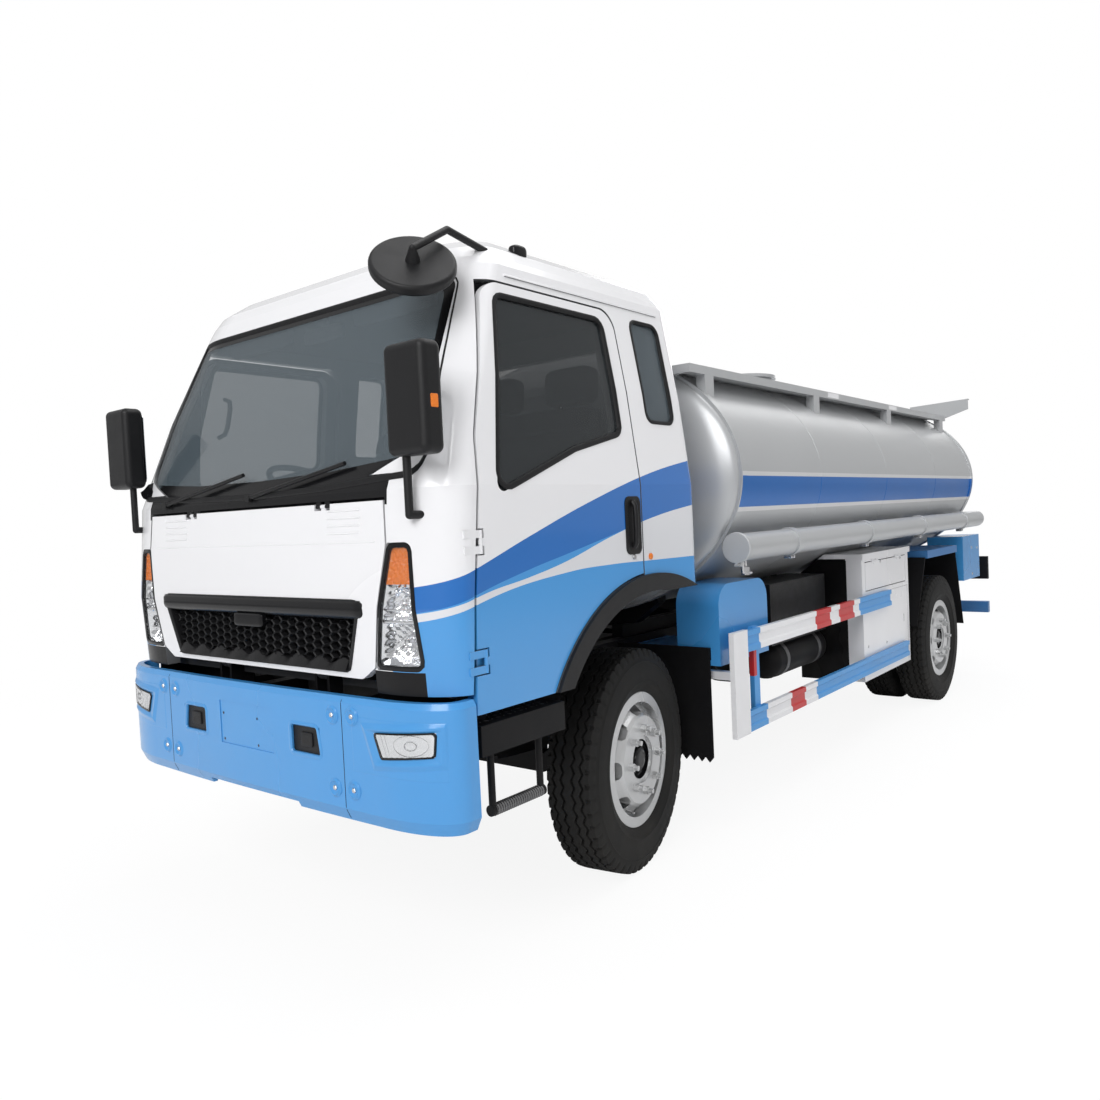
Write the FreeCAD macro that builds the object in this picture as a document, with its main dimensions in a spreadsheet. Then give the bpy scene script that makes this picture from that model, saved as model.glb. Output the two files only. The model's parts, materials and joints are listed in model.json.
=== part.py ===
"""Two-axle tanker truck with a tilting cab, an elliptical tank and a side cabinet.

Frame: X to the truck's left, Y to its rear, Z up from the ground. The origin is on the ground
at the middle of the truck's length and width. Sizes are millimetres and stand in one sheet.
"""
import FreeCAD, Part
import math
import os
import re

from FreeCAD import Placement, Rotation, Vector
from types import SimpleNamespace

SIZES = (
    ("front_reach", 1315),
    ("wheelbase", 4030),
    ("rear_reach", 1670),
    ("overrun", 50),
    ("seat_gap", 0.3),
    ("run_gap", 0.05),
    ("panel_gap", 8),

    ("tyre_radius", 487),
    ("tyre_width", 235),
    ("tyre_bulge_radius", 372),
    ("tyre_shoulder_radius", 466),
    ("tyre_tread_width", 190),
    ("tyre_shoulder_width", 206),
    ("rim_seat_radius", 262),
    ("rim_barrel_wall", 12),
    ("rim_flange_radius", 296),
    ("rim_width", 189),
    ("rim_flange_wall", 12),
    ("rim_lip", 4),
    ("disc_wall", 12),
    ("disc_ring_radius", 190),
    ("disc_bore_radius", 103),
    ("disc_drop", 62),
    ("front_disc_face", 110),
    ("rear_disc_face", 96),
    ("nut_circle", 275),
    ("nut_count", 8),
    ("nut_radius", 18),
    ("nut_height", 24),
    ("stud_radius", 11),
    ("stud_reach", 43),
    ("hand_hole_count", 8),
    ("hand_hole_circle", 440),
    ("hand_hole_radius", 24),
    ("hand_hole_length", 30),
    ("hub_radius", 86),
    ("hub_back", 24),
    ("hub_recess", 40),
    ("hub_cap_radius", 52),
    ("hub_cap_height", 26),
    ("drum_radius", 205),
    ("drum_wall", 14),
    ("drum_back", 30),

    ("front_track", 1661),
    ("rear_track", 2015),
    ("dual_spacing", 285),
    ("steer_angle", 8.6),
    ("kingpin_span", 1480),
    ("kingpin_radius", 22),
    ("kingpin_height", 230),
    ("yoke_wall", 36),
    ("yoke_radius", 46),
    ("spindle_radius", 32),
    ("spindle_reach", 30),
    ("shield_radius", 188),
    ("shield_wall", 5),
    ("shield_gap", 8),
    ("boss_height", 120),

    ("rail_top", 900),
    ("rail_height", 215),
    ("rail_flange", 75),
    ("rail_wall", 8),
    ("rail_half_width", 400),
    ("rail_front", 1200),
    ("rail_rear", 1570),
    ("cross_depth", 120),
    ("cross_drop", 10),
    ("cross_height", 110),
    ("beam_width", 86),
    ("beam_height", 90),
    ("beam_drop", 70),
    ("beam_drop_half", 430),
    ("beam_bend", 90),
    ("spring_width", 70),
    ("spring_centre", 350),
    ("front_spring_half", 660),
    ("rear_spring_half", 700),
    ("spring_pack", 62),
    ("spring_eye", 28),
    ("front_spring_camber", 80),
    ("rear_spring_camber", 22),
    ("hanger_wall", 14),
    ("axle_tube_radius", 66),
    ("axle_bowl_radius", 205),
    ("axle_bowl_width", 150),
    ("pinion_radius", 80),
    ("pinion_reach", 330),
    ("driveshaft_radius", 50),

    ("engine_width", 560),
    ("engine_length", 1180),
    ("engine_height", 560),
    ("engine_base", 640),
    ("engine_ahead", 820),
    ("gearbox_width", 360),
    ("gearbox_length", 620),
    ("gearbox_height", 340),
    ("gearbox_base", 540),

    ("bumper_half_width", 1062),
    ("bumper_wall", 40),
    ("bumper_bottom", 548),
    ("bumper_top", 985),
    ("bumper_return", 190),
    ("bumper_bow", 14),
    ("bumper_corner_width", 330),
    ("bumper_corner_depth", 150),
    ("bumper_seam_x", 580),
    ("bumper_seam", 4),
    ("bumper_shoulder", 20),
    ("bumper_shoulder_inset", 12),
    ("bumper_foot", 46),
    ("bumper_foot_inset", 22),
    ("bumper_step_half", 300),
    ("bumper_step", 22),
    ("beam_half", 560),
    ("window_inner", 292),
    ("window_outer", 462),
    ("window_low", 758),
    ("window_high", 862),
    ("window_inset", 18),
    ("fog_inner", 660),
    ("fog_outer", 850),
    ("fog_low", 755),
    ("fog_high", 845),
    ("fog_recess", 26),
    ("plate_half_width", 180),
    ("plate_low", 735),
    ("plate_high", 905),
    ("plate_depth", 4),

    ("step_front", 1090),
    ("step_rear", 640),
    ("step_top", 885),
    ("step_height", 105),
    ("step_inner", 640),
    ("step_outer", 1045),
    ("hoop_front", 990),
    ("hoop_rear", 730),
    ("hoop_bottom", 545),
    ("hoop_radius", 13),
    ("hoop_grip_radius", 20),
    ("hoop_x", 985),

    ("cab_half_width", 1050),
    ("cab_half_width_mid", 1000),
    ("cab_half_width_top", 925),
    ("cab_nose", 1262),
    ("cab_nose_low", 1238),
    ("cab_nose_belt", 1232),
    ("cab_nose_mid", 1090),
    ("cab_nose_top", 905),
    ("cab_low", 926),
    ("cab_waist", 1290),
    ("cab_belt", 1690),
    ("cab_mid", 2080),
    ("cab_gutter", 2500),
    ("cab_rear", 410),
    ("cab_rear_radius", 70),
    ("cab_corner_width", 290),
    ("cab_corner_depth", 150),
    ("cab_wall", 60),
    ("roof_shoulder", 2575),
    ("roof_top", 2622),
    ("roof_step", 30),
    ("roof_inset", 120),
    ("roof_wall", 40),
    ("back_split", 330),
    ("cab_rear_bottom", 1230),
    ("rear_window_half_width", 620),
    ("rear_window_low", 1950),
    ("rear_window_high", 2370),
    ("window_radius", 60),
    ("glass_inset", 10),
    ("glass_wall", 8),
    ("glass_gap", 0.5),

    ("arch_centre_height", 510),
    ("arch_radius", 740),
    ("arch_trim_radius", 802),
    ("arch_trim_proud", 16),
    ("arch_trim_wall", 12),

    ("screen_half_low", 905),
    ("screen_half_high", 845),
    ("screen_low", 1735),
    ("screen_corner", 1830),
    ("screen_high", 2455),
    ("screen_dip", 1700),
    ("hood_half_high", 780),
    ("hood_half_mid", 792),
    ("hood_half_lamp", 712),
    ("hood_half_low", 640),
    ("hood_high", 1655),
    ("hood_mid", 1505),
    ("hood_lamp", 1085),
    ("hood_low", 1040),
    ("hood_wall", 34),
    ("grille_half_high", 664),
    ("grille_half_low", 575),
    ("grille_high", 1315),
    ("grille_low", 1062),
    ("grille_bar_height", 66),
    ("grille_bar_proud", 10),
    ("grille_wall", 16),
    ("grille_bars", 7),
    ("grille_bar_wall", 12),
    ("handle_half_width", 60),
    ("handle_height", 34),
    ("lamp_outer_low", 930),
    ("lamp_outer_high", 900),
    ("lamp_inner_high", 800),
    ("lamp_low", 1080),
    ("lamp_high", 1512),
    ("lamp_depth", 110),

    ("door_front_low", 1107),
    ("door_front_mid", 1085),
    ("door_front_belt", 1030),
    ("door_front_top", 850),
    ("door_mid", 1305),
    ("door_belt", 1854),
    ("door_top", 2425),
    ("door_rear", 70),
    ("header_back", 760),
    ("door_radius", 90),
    ("door_wall", 60),
    ("pane_front_low", 964),
    ("pane_front_high", 815),
    ("pane_rear", 150),
    ("pane_low_front", 1652),
    ("pane_low_mid", 1824),
    ("pane_low_rear", 1899),
    ("pane_mid", 483),
    ("pane_high", 2383),
    ("quarter_front", 60),
    ("quarter_rear", 285),
    ("quarter_low", 1960),
    ("quarter_high", 2412),
    ("door_skin", 18),
    ("door_step", 16),
    ("door_sweep", 27),
    ("hinge_inset", 5),
    ("hinge_back", 1050),
    ("hinge_low", 1100),
    ("hinge_high", 1500),
    ("hinge_length", 80),
    ("hinge_radius", 8),
    ("hinge_pin", 5),
    ("hinge_notch", 14),
    ("hinge_seam", 11),
    ("hood_hinge_x", 450),
    ("hood_hinge_back", 1226),
    ("hood_hinge_height", 1647),
    ("hood_gap", 10),

    ("floor_low", 980),
    ("floor_wall", 30),
    ("floor_high", 1250),
    ("floor_front", 1130),
    ("floor_riser", 620),
    ("tunnel_half_width", 380),
    ("firewall_top", 1690),
    ("tilt_pin_back", 1160),
    ("tilt_pin_height", 1030),
    ("tilt_pin_radius", 14),
    ("tilt_lug_radius", 30),
    ("tilt_lug_width", 60),
    ("tilt_lug_x", 330),
    ("cab_prop_back", 240),
    ("cab_prop_width", 60),
    ("prop_beam", 44),

    ("seat_width", 500),
    ("bench_width", 900),
    ("seat_x", 470),
    ("bench_x", 380),
    ("seat_base", 1290),
    ("cushion_height", 150),
    ("cushion_length", 480),
    ("seat_front", 560),
    ("back_wall", 130),
    ("back_height", 640),
    ("back_lean", 90),
    ("seat_radius", 40),
    ("dash_low", 1400),
    ("dash_high", 1690),
    ("dash_depth", 280),
    ("dash_radius", 50),
    ("wheel_x", 450),
    ("wheel_back", 600),
    ("wheel_up", 1760),
    ("wheel_rim_radius", 220),
    ("wheel_grip_radius", 14),
    ("wheel_tilt", 26),
    ("wheel_hub_radius", 60),
    ("wheel_hub_height", 40),
    ("wheel_spoke_radius", 12),
    ("column_radius", 26),
    ("column_foot_radius", 44),

    ("mirror_x", 968),
    ("mirror_front", 1290),
    ("mirror_depth", 92),
    ("mirror_width", 190),
    ("mirror_low", 1790),
    ("mirror_high", 2150),
    ("mirror_radius", 26),
    ("mirror_arm_radius", 14),
    ("mirror_arm_low", 1600),
    ("mirror_root_back", 1130),
    ("round_mirror_radius", 150),
    ("round_mirror_height", 42),
    ("round_mirror_x", 850),
    ("round_mirror_y", 1105),
    ("round_mirror_z", 2462),
    ("round_mirror_tilt", 51),
    ("round_mirror_heading", 50),
    ("round_boss_radius", 26),
    ("round_boss_height", 48),
    ("round_arm_radius", 13),
    ("round_arm_root", 600),
    ("round_arm_knee", 960),
    ("round_arm_top", 2590),
    ("wiper_radius", 8),
    ("wiper_blade_width", 14),
    ("wiper_length", 560),
    ("wiper_x", 640),
    ("wiper_gap", 16),

    ("tank_half_width", 1100),
    ("tank_half_height", 720),
    ("tank_centre_height", 1740),
    ("tank_front", 750),
    ("tank_rear", 5150),
    ("tank_rim", 60),
    ("tank_lip", 8),
    ("tank_dish", 120),
    ("saddle_wall", 10),
    ("saddle_half_width", 330),
    ("saddle_foot", 400),
    ("saddle_reach", 560),
    ("saddle_rise", 120),
    ("saddle_length", 80),
    ("saddle_count", 4),
    ("subframe_wall", 70),
    ("deck_outer", 914),
    ("deck_inner", 700),
    ("deck_top", 2290),
    ("deck_height", 42),
    ("deck_wall", 6),
    ("deck_post_width", 88),
    ("deck_post_wall", 8),
    ("deck_post_depth", 50),
    ("deck_front_post", 820),
    ("deck_rear_post", 4950),
    ("deck_posts", 4),
    ("deck_front", 666),
    ("deck_rear", 5075),
    ("wing_tip", 1100),
    ("wing_wall", 8),
    ("wing_root", 614),
    ("wing_root_top", 2402),
    ("wing_top", 2424),
    ("wing_tip_low", 2335),
    ("wing_root_low", 2275),
    ("wing_back", 5090),
    ("wing_fold", 45),
    ("manhole_y", 2950),
    ("manhole_radius", 250),
    ("manhole_wall", 8),
    ("manhole_top", 2520),
    ("manhole_lid_radius", 280),
    ("manhole_lid_wall", 22),
    ("manhole_dome", 20),
    ("manhole_hinge_length", 80),
    ("manhole_hinge_radius", 13),
    ("manhole_hinge_pin", 6),
    ("manhole_hinge_back", 24),
    ("hose_x", 1094),
    ("hose_z", 1380),
    ("hose_radius", 68),
    ("hose_wall", 4),
    ("hose_front", 700),
    ("hose_rear", 5270),
    ("hose_cap_wall", 16),
    ("hose_clamp_width", 50),
    ("hose_clamp_wall", 8),
    ("hose_clamp_count", 4),
    ("hose_hinge_length", 33),
    ("hose_hinge_pin", 3),
    ("hose_hinge_drop", 85),
    ("ladder_half_width", 190),
    ("ladder_bar", 26),
    ("ladder_low", 1000),
    ("ladder_rungs", 5),
    ("ladder_gap", 60),

    ("guard_outer", 1085),
    ("guard_wall", 26),
    ("guard_front", 640),
    ("guard_post_width", 150),
    ("guard_post_top", 968),
    ("guard_post_low", 450),
    ("guard_upper_low", 856),
    ("guard_upper_high", 962),
    ("guard_upper_rear", 2970),
    ("guard_lower_low", 456),
    ("guard_lower_high", 560),
    ("guard_lower_rear", 3330),
    ("guard_bar_width", 60),
    ("guard_bar_front", 900),
    ("guard_arm", 40),

    ("cabinet_front", 2500),
    ("cabinet_rear", 3450),
    ("cabinet_inner", 620),
    ("cabinet_shoulder", 800),
    ("cabinet_bend", 1100),
    ("cabinet_outer", 1052),
    ("cabinet_low", 400),
    ("cabinet_high", 1235),
    ("cabinet_wall", 12),
    ("cabinet_lid", 40),
    ("flap_low", 985),
    ("flap_high", 1180),
    ("flap_margin", 60),
    ("flap_gap", 6),
    ("flap_hinge_length", 120),
    ("flap_hinge_radius", 5),
    ("flap_hinge_pin", 3),
    ("flap_leaf", 3),

    ("battery_front", 1560),
    ("battery_rear", 2380),
    ("battery_inner", 580),
    ("battery_outer", 850),
    ("battery_low", 760),
    ("battery_high", 1120),
    ("fuel_front", 950),
    ("fuel_rear", 2350),
    ("fuel_inner", 440),
    ("fuel_outer", 1000),
    ("fuel_low", 470),
    ("fuel_high", 960),
    ("fuel_radius", 90),
    ("locker_front", 660),
    ("locker_rear", 1200),
    ("locker_inner", 760),
    ("locker_outer", 1000),
    ("locker_low", 800),
    ("locker_high", 1200),
    ("locker_radius", 110),

    ("fender_front", 3760),
    ("fender_rear", 4580),
    ("fender_outer", 1105),
    ("fender_inner", 710),
    ("fender_top", 1182),
    ("fender_height", 58),
    ("flap_sheet", 8),
    ("guard_sheet_front", 3500),
    ("guard_sheet_low", 640),
    ("rear_flap_top", 4575),
    ("rear_flap_back", 4790),
    ("rear_flap_low", 505),
    ("front_flap_y", 640),
    ("front_flap_top", 890),
    ("front_flap_low", 318),
    ("front_flap_inner", 640),
    ("front_flap_outer", 950),
    ("flap_teeth", 7),
    ("flap_tooth", 26),
    ("rear_box_front", 4790),
    ("rear_box_rear", 5330),
    ("rear_box_inner", 812),
    ("rear_box_outer", 1100),
    ("rear_box_low", 865),
    ("rear_box_high", 1240),
    ("lamp_bar_low", 812),
    ("lamp_bar_high", 1020),
    ("lamp_bar_wall", 40),
    ("lamp_bar_half", 1100),
    ("tail_lamp_width", 360),
    ("tail_lamp_height", 130),
    ("tail_lamp_wall", 36),
    ("underrun_low", 504),
    ("underrun_high", 605),
    ("underrun_wall", 60),
    ("underrun_half", 1100),
    ("underrun_arm", 70),
)

doc = FreeCAD.newDocument("tanker_truck")
sheet = doc.addObject("Spreadsheet::Sheet", "Sizes")
for row, (alias, number) in enumerate(SIZES, start=1):
    sheet.set(f"A{row}", alias)
    sheet.set(f"B{row}", str(number))
    sheet.setAlias(f"B{row}", alias)
doc.recompute()
mm = SimpleNamespace(**{alias: float(sheet.get(alias)) for alias, number in SIZES})

# Places along the truck are measured back from the front axle, and these two carry them
# into the part's own frame.
FRONT_AXLE = "((front_reach - wheelbase - rear_reach) / 2)"
front_axle = (mm.front_reach - mm.wheelbase - mm.rear_reach) / 2
rear_axle = front_axle + mm.wheelbase
X_AXIS, Y_AXIS, Z_AXIS = Vector(1, 0, 0), Vector(0, 1, 0), Vector(0, 0, 1)
BEZIER_ARC_SHARE = 0.5523
LEAF_COUNT = 4
SHORTEST_LEAF_SHARE = 0.7
NEARLY_ROUND_SHARE = 0.99
TURN, HALF_TURN, QUARTER_TURN, SIXTH_TURN = 360, 180, 90, 60
nodes = []


def linked(text):
    """An expression in which every name of the sheet points at its cell."""
    return re.sub(r"[a-z][a-z_]*", lambda word: f"Sizes.{word.group(0)}"
                  if hasattr(mm, word.group(0)) else word.group(0), text)


def node(piece, label, x=0, y=0, up=0):
    """Names a finished piece as a sub-part and moves it to its place."""
    piece.Label = label
    piece.Placement = Placement(Vector(x, y, up), Rotation()).multiply(piece.Placement)
    nodes.append(piece)
    return piece


def solid_node(shape, label):
    """A sub-part whose shape is worked out by Part's own functions."""
    piece = doc.addObject("Part::Feature", label)
    piece.Shape = shape.removeSplitter()
    piece.Placement = Placement()
    return node(piece, label)


def box(name, length, width, height, x, y, up):
    """A block whose sides and low corner are expressions of the sheet's names."""
    piece = doc.addObject("Part::Box", name)
    for side, text in (("Length", length), ("Width", width), ("Height", height)):
        piece.setExpression(side, linked(text))
    for axis, text in (("x", x), ("y", y), ("z", up)):
        piece.setExpression(f"Placement.Base.{axis}", linked(text))
    return piece


def joined(kind, name, pieces):
    """A boolean or a group of several pieces."""
    piece = doc.addObject(kind, name)
    if kind == "Part::Cut":
        piece.Base, piece.Tool = pieces
    elif kind == "Part::Compound":
        piece.Links = list(pieces)
    else:
        piece.Shapes = list(pieces)
    return piece


def mirrored(piece, name):
    """The same piece on the truck's other side."""
    copy = doc.addObject("Part::Mirroring", name)
    copy.Source = piece
    copy.Normal = X_AXIS
    return copy


def pair(piece, label):
    """A left piece and its mirror image, as one sub-part of two solids."""
    other = mirrored(piece, f"{piece.Name}_right")
    return node(joined("Part::Compound", label, (piece, other)), label)


def rounded_edges(points):
    """Edges of a closed outline. A point is (a, b) or (a, b, radius of its corner)."""
    corners = [Vector(p[0], p[1], 0) for p in points]
    count = len(points)
    starts, ends, middles = [], [], []
    for i, point in enumerate(points):
        corner = corners[i]
        before = (corners[i - 1] - corner).normalize()
        after = (corners[(i + 1) % count] - corner).normalize()
        radius = point[2] if len(point) > 2 else 0
        turn = before.getAngle(after)
        if radius == 0 or math.isclose(turn, math.pi, abs_tol=1e-6):
            starts.append(corner)
            ends.append(corner)
            middles.append(None)
            continue
        reach = radius / math.tan(turn / 2)
        centre = corner + (before + after).normalize() * (radius / math.sin(turn / 2))
        starts.append(corner + before * reach)
        ends.append(corner + after * reach)
        middles.append(centre + (corner - centre).normalize() * radius)
    edges = []
    for i in range(count):
        if middles[i] is not None:
            edges.append(Part.Arc(starts[i], middles[i], ends[i]))
        following = starts[(i + 1) % count]
        if (following - ends[i]).Length > 1e-6:
            edges.append(Part.LineSegment(ends[i], following))
    return edges


PLANES = {"XY": "XY_Plane", "XZ": "XZ_Plane", "YZ": "YZ_Plane"}


def sketch_on(body, plane, name, outlines):
    """A sketch on one of a body's own planes, from closed outlines and circles."""
    sketch = body.newObject("Sketcher::SketchObject", name)
    base = next(f for f in body.Origin.OriginFeatures if f.Role == PLANES[plane])
    sketch.AttachmentSupport = [(base, "")]
    sketch.MapMode = "FlatFace"
    for outline in outlines:
        if isinstance(outline, Part.Circle):
            sketch.addGeometry(outline, False)
        else:
            sketch.addGeometry(rounded_edges(outline), False)
    return sketch


def circle(a, b, radius):
    """A circle for a sketch."""
    return Part.Circle(Vector(a, b, 0), Z_AXIS, radius)


def padded(name, plane, outlines, length):
    """A body pushed out from an outline: along +X, +Y or +Z, by an expression's length."""
    body = doc.addObject("PartDesign::Body", name)
    sketch = sketch_on(body, plane, f"{name}_outline", outlines)
    pad = body.newObject("PartDesign::Pad", f"{name}_pad")
    pad.Profile = sketch
    pad.setExpression("Length", linked(length))
    pad.Reversed = plane == "XZ"
    sketch.Visibility = False
    return body


def turned(name, outline):
    """A body turned about X from an outline whose second coordinate is the radius."""
    body = doc.addObject("PartDesign::Body", name)
    sketch = sketch_on(body, "XZ", f"{name}_outline", [outline])
    turn = body.newObject("PartDesign::Revolution", f"{name}_turn")
    turn.Profile = sketch
    turn.ReferenceAxis = (sketch, ["H_Axis"])
    turn.Angle = TURN
    return body


def prism(points, plane, low, high):
    """A solid between two heights of an outline given in a plane's own coordinates."""
    wire = Part.Wire([e.toShape() for e in rounded_edges(points)])
    face = Part.Face(wire)
    if plane == "YZ":
        face.Placement = Placement(Vector(low, 0, 0), Rotation(X_AXIS, Y_AXIS, Z_AXIS).multiply(
            Rotation(Vector(1, 1, 1), 120)))
        return face.extrude(X_AXIS * (high - low))
    if plane == "XZ":
        face.Placement = Placement(Vector(0, low, 0), Rotation(X_AXIS, QUARTER_TURN))
        return face.extrude(Y_AXIS * (high - low))
    face.Placement = Placement(Vector(0, 0, low), Rotation())
    return face.extrude(Z_AXIS * (high - low))


def block(x0, x1, y0, y1, z0, z1):
    """A plain block between two corners."""
    return Part.makeBox(x1 - x0, y1 - y0, z1 - z0, Vector(x0, y0, z0))


def carved(shape, *tools):
    """A shape with each tool cut from it in turn."""
    for tool in tools:
        shape = shape.cut(tool)
    return shape


def biggest(shape):
    """The largest solid of a shape."""
    return max(shape.Solids, key=lambda solid: solid.Volume)


def both_sides(shape):
    """A shape and its mirror image in one."""
    return Part.makeCompound([shape, shape.mirror(Vector(), X_AXIS)])


def back(distance):
    """Where a distance behind the front axle lies in the part's frame."""
    return front_axle + distance


def hinge(point, way, length, radius, pin_radius, fixed_leaf, moving_leaf):
    """A pin with two cheeks and the bored knuckle between them, each with its leaf.

    A leaf is given by its low and high sides across the hinge line, in the frame's order.
    """
    axis = {"X": X_AXIS, "Y": Y_AXIS, "Z": Z_AXIS}[way]
    half, third = length / 2, length / 3
    cheeks = ((-half, third - half - mm.seat_gap), (half - third + mm.seat_gap, half))

    def barrel(low, high, size):
        return Part.makeCylinder(size, high - low, point + axis * low, axis)

    def leaf(low, high, sides):
        (a0, a1), (b0, b1) = sides
        spans = {"X": (low, high, a0, a1, b0, b1), "Y": (a0, a1, low, high, b0, b1),
                 "Z": (a0, a1, b0, b1, low, high)}
        return block(*spans[way]).translated(point)

    fixed = barrel(-half, half, pin_radius)
    for low, high in cheeks:
        fixed = fixed.fuse([barrel(low, high, radius), leaf(low, high, fixed_leaf)])
    moving = barrel(third - half, half - third, radius)
    moving = moving.fuse(leaf(third - half, half - third, moving_leaf))
    return fixed, moving.cut(barrel(-half, half, pin_radius + mm.run_gap))


# Wheels. Each is drawn about X with its outer side towards +X.
def tyre_outline():
    half = mm.rim_width / 2 - mm.rim_flange_wall
    bulge = mm.tyre_width / 2
    shoulder = mm.tyre_shoulder_width / 2
    tread = mm.tyre_tread_width / 2
    side = [(half, mm.rim_seat_radius), (half, mm.rim_flange_radius),
            (bulge, mm.rim_flange_radius * 0.5 + mm.tyre_bulge_radius * 0.5, 0),
            (bulge, mm.tyre_bulge_radius * 0.6 + mm.tyre_shoulder_radius * 0.4, 0),
            (shoulder, mm.tyre_shoulder_radius), (tread, mm.tyre_radius)]
    return side + [(-u, r) for u, r, *rest in reversed(side)]


def rim_outline(face, hub_back, drum_back, bore_depth, bore_radius):
    """Half section of a rim with its disc, hub and drum, from the axle outwards."""
    half = mm.rim_width / 2
    inner = mm.rim_seat_radius - mm.rim_barrel_wall
    flange = half - mm.rim_flange_wall
    drum_inner = mm.drum_radius - mm.drum_wall
    root = face - mm.disc_drop
    behind = face - mm.disc_wall
    recess = face - mm.hub_recess
    return [
        (-hub_back, bore_radius), (bore_depth - hub_back, bore_radius), (bore_depth - hub_back, 0),
        (recess + mm.hub_cap_height, 0), (recess + mm.hub_cap_height, mm.hub_cap_radius * 0.6),
        (recess, mm.hub_cap_radius), (recess, mm.hub_radius), (face - mm.disc_wall, mm.hub_radius),
        (face - mm.disc_wall, mm.disc_bore_radius), (face, mm.disc_bore_radius),
        (face, mm.disc_ring_radius), (root, inner), (half, inner),
        (half, mm.rim_flange_radius - mm.rim_lip), (half - mm.rim_lip, mm.rim_flange_radius),
        (flange, mm.rim_flange_radius), (flange, mm.rim_seat_radius),
        (-flange, mm.rim_seat_radius), (-flange, mm.rim_flange_radius),
        (-half + mm.rim_lip, mm.rim_flange_radius), (-half, mm.rim_flange_radius - mm.rim_lip),
        (-half, inner), (root - mm.disc_wall, inner), (behind, mm.drum_radius),
        (-drum_back, mm.drum_radius), (-drum_back, drum_inner),
        (behind - mm.disc_wall, drum_inner), (behind - mm.disc_wall, mm.disc_bore_radius),
        (-hub_back, mm.disc_bore_radius)]


def drilled_rim(name, outline, face):
    """A rim turned from its section, with hand holes through its cone and nuts on its ring."""
    body = turned(name, outline)
    doc.recompute()
    middle = mm.hand_hole_circle / 2
    length = mm.hand_hole_length / 2
    radius = mm.hand_hole_radius
    corner = radius * NEARLY_ROUND_SHARE
    slot = [(-length - radius, middle - radius, corner),
            (length + radius, middle - radius, corner),
            (length + radius, middle + radius, corner),
            (-length - radius, middle + radius, corner)]
    sketch = sketch_on(body, "YZ", f"{name}_hand_hole", [slot])
    pocket = body.newObject("PartDesign::Pocket", f"{name}_hole")
    pocket.Profile = sketch
    pocket.Reversed = True
    pocket.setExpression("Length", linked("rim_width"))
    holes = body.newObject("PartDesign::PolarPattern", f"{name}_holes")
    holes.Originals = [pocket]
    holes.Axis = (sketch, ["N_Axis"])
    holes.Angle = TURN
    holes.setExpression("Occurrences", linked("hand_hole_count"))
    body.Tip = holes
    doc.recompute()
    bolt_radius = mm.nut_circle / 2
    hexagon = [(mm.nut_radius * math.cos(math.radians(SIXTH_TURN * k)),
                bolt_radius + mm.nut_radius * math.sin(math.radians(SIXTH_TURN * k))) for k in range(6)]
    sketch = sketch_on(body, "YZ", f"{name}_nut_outline", [hexagon])
    sketch.AttachmentOffset = Placement(Vector(0, 0, face), Rotation())
    nut = body.newObject("PartDesign::Pad", f"{name}_nut")
    nut.Profile = sketch
    nut.setExpression("Length", linked("nut_height"))
    rim_stud = sketch_on(body, "YZ", f"{name}_stud_outline",
                         [circle(0, bolt_radius, mm.stud_radius)])
    rim_stud.AttachmentOffset = Placement(Vector(0, 0, face), Rotation())
    stud = body.newObject("PartDesign::Pad", f"{name}_stud")
    stud.Profile = rim_stud
    stud.setExpression("Length", linked("stud_reach"))
    ring = body.newObject("PartDesign::PolarPattern", f"{name}_nuts")
    ring.Originals = [nut, stud]
    ring.Axis = (sketch, ["N_Axis"])
    ring.Angle = TURN
    ring.setExpression("Occurrences", linked("nut_count"))
    body.Tip = ring
    doc.recompute()
    return body


def steered(side):
    """Turns a front wheel's own frame about its kingpin, as the photograph's wheels stand."""
    kingpin = Vector(side * mm.kingpin_span / 2, front_axle, mm.tyre_radius)
    straight = Placement(Vector(side * mm.front_track / 2, front_axle, mm.tyre_radius),
                         Rotation(Z_AXIS, 0 if side > 0 else HALF_TURN))
    turn = Placement(kingpin, Rotation(Z_AXIS, mm.steer_angle)).multiply(
        Placement(-kingpin, Rotation()))
    return turn.multiply(straight)


SIDES = (("left", 1), ("right", -1))
front_bore = mm.hub_back + mm.spindle_reach
for side_name, side in SIDES:
    tyre = turned(f"tyre_front_{side_name}", tyre_outline())
    tyre.Placement = steered(side)
    node(tyre, f"tyre_front_{side_name}")
    rim = drilled_rim(f"rim_front_{side_name}",
                      rim_outline(mm.front_disc_face, mm.hub_back, mm.drum_back,
                                  front_bore, mm.spindle_radius + mm.run_gap),
                      mm.front_disc_face)
    rim.Placement = steered(side)
    node(rim, f"rim_front_{side_name}")

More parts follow.
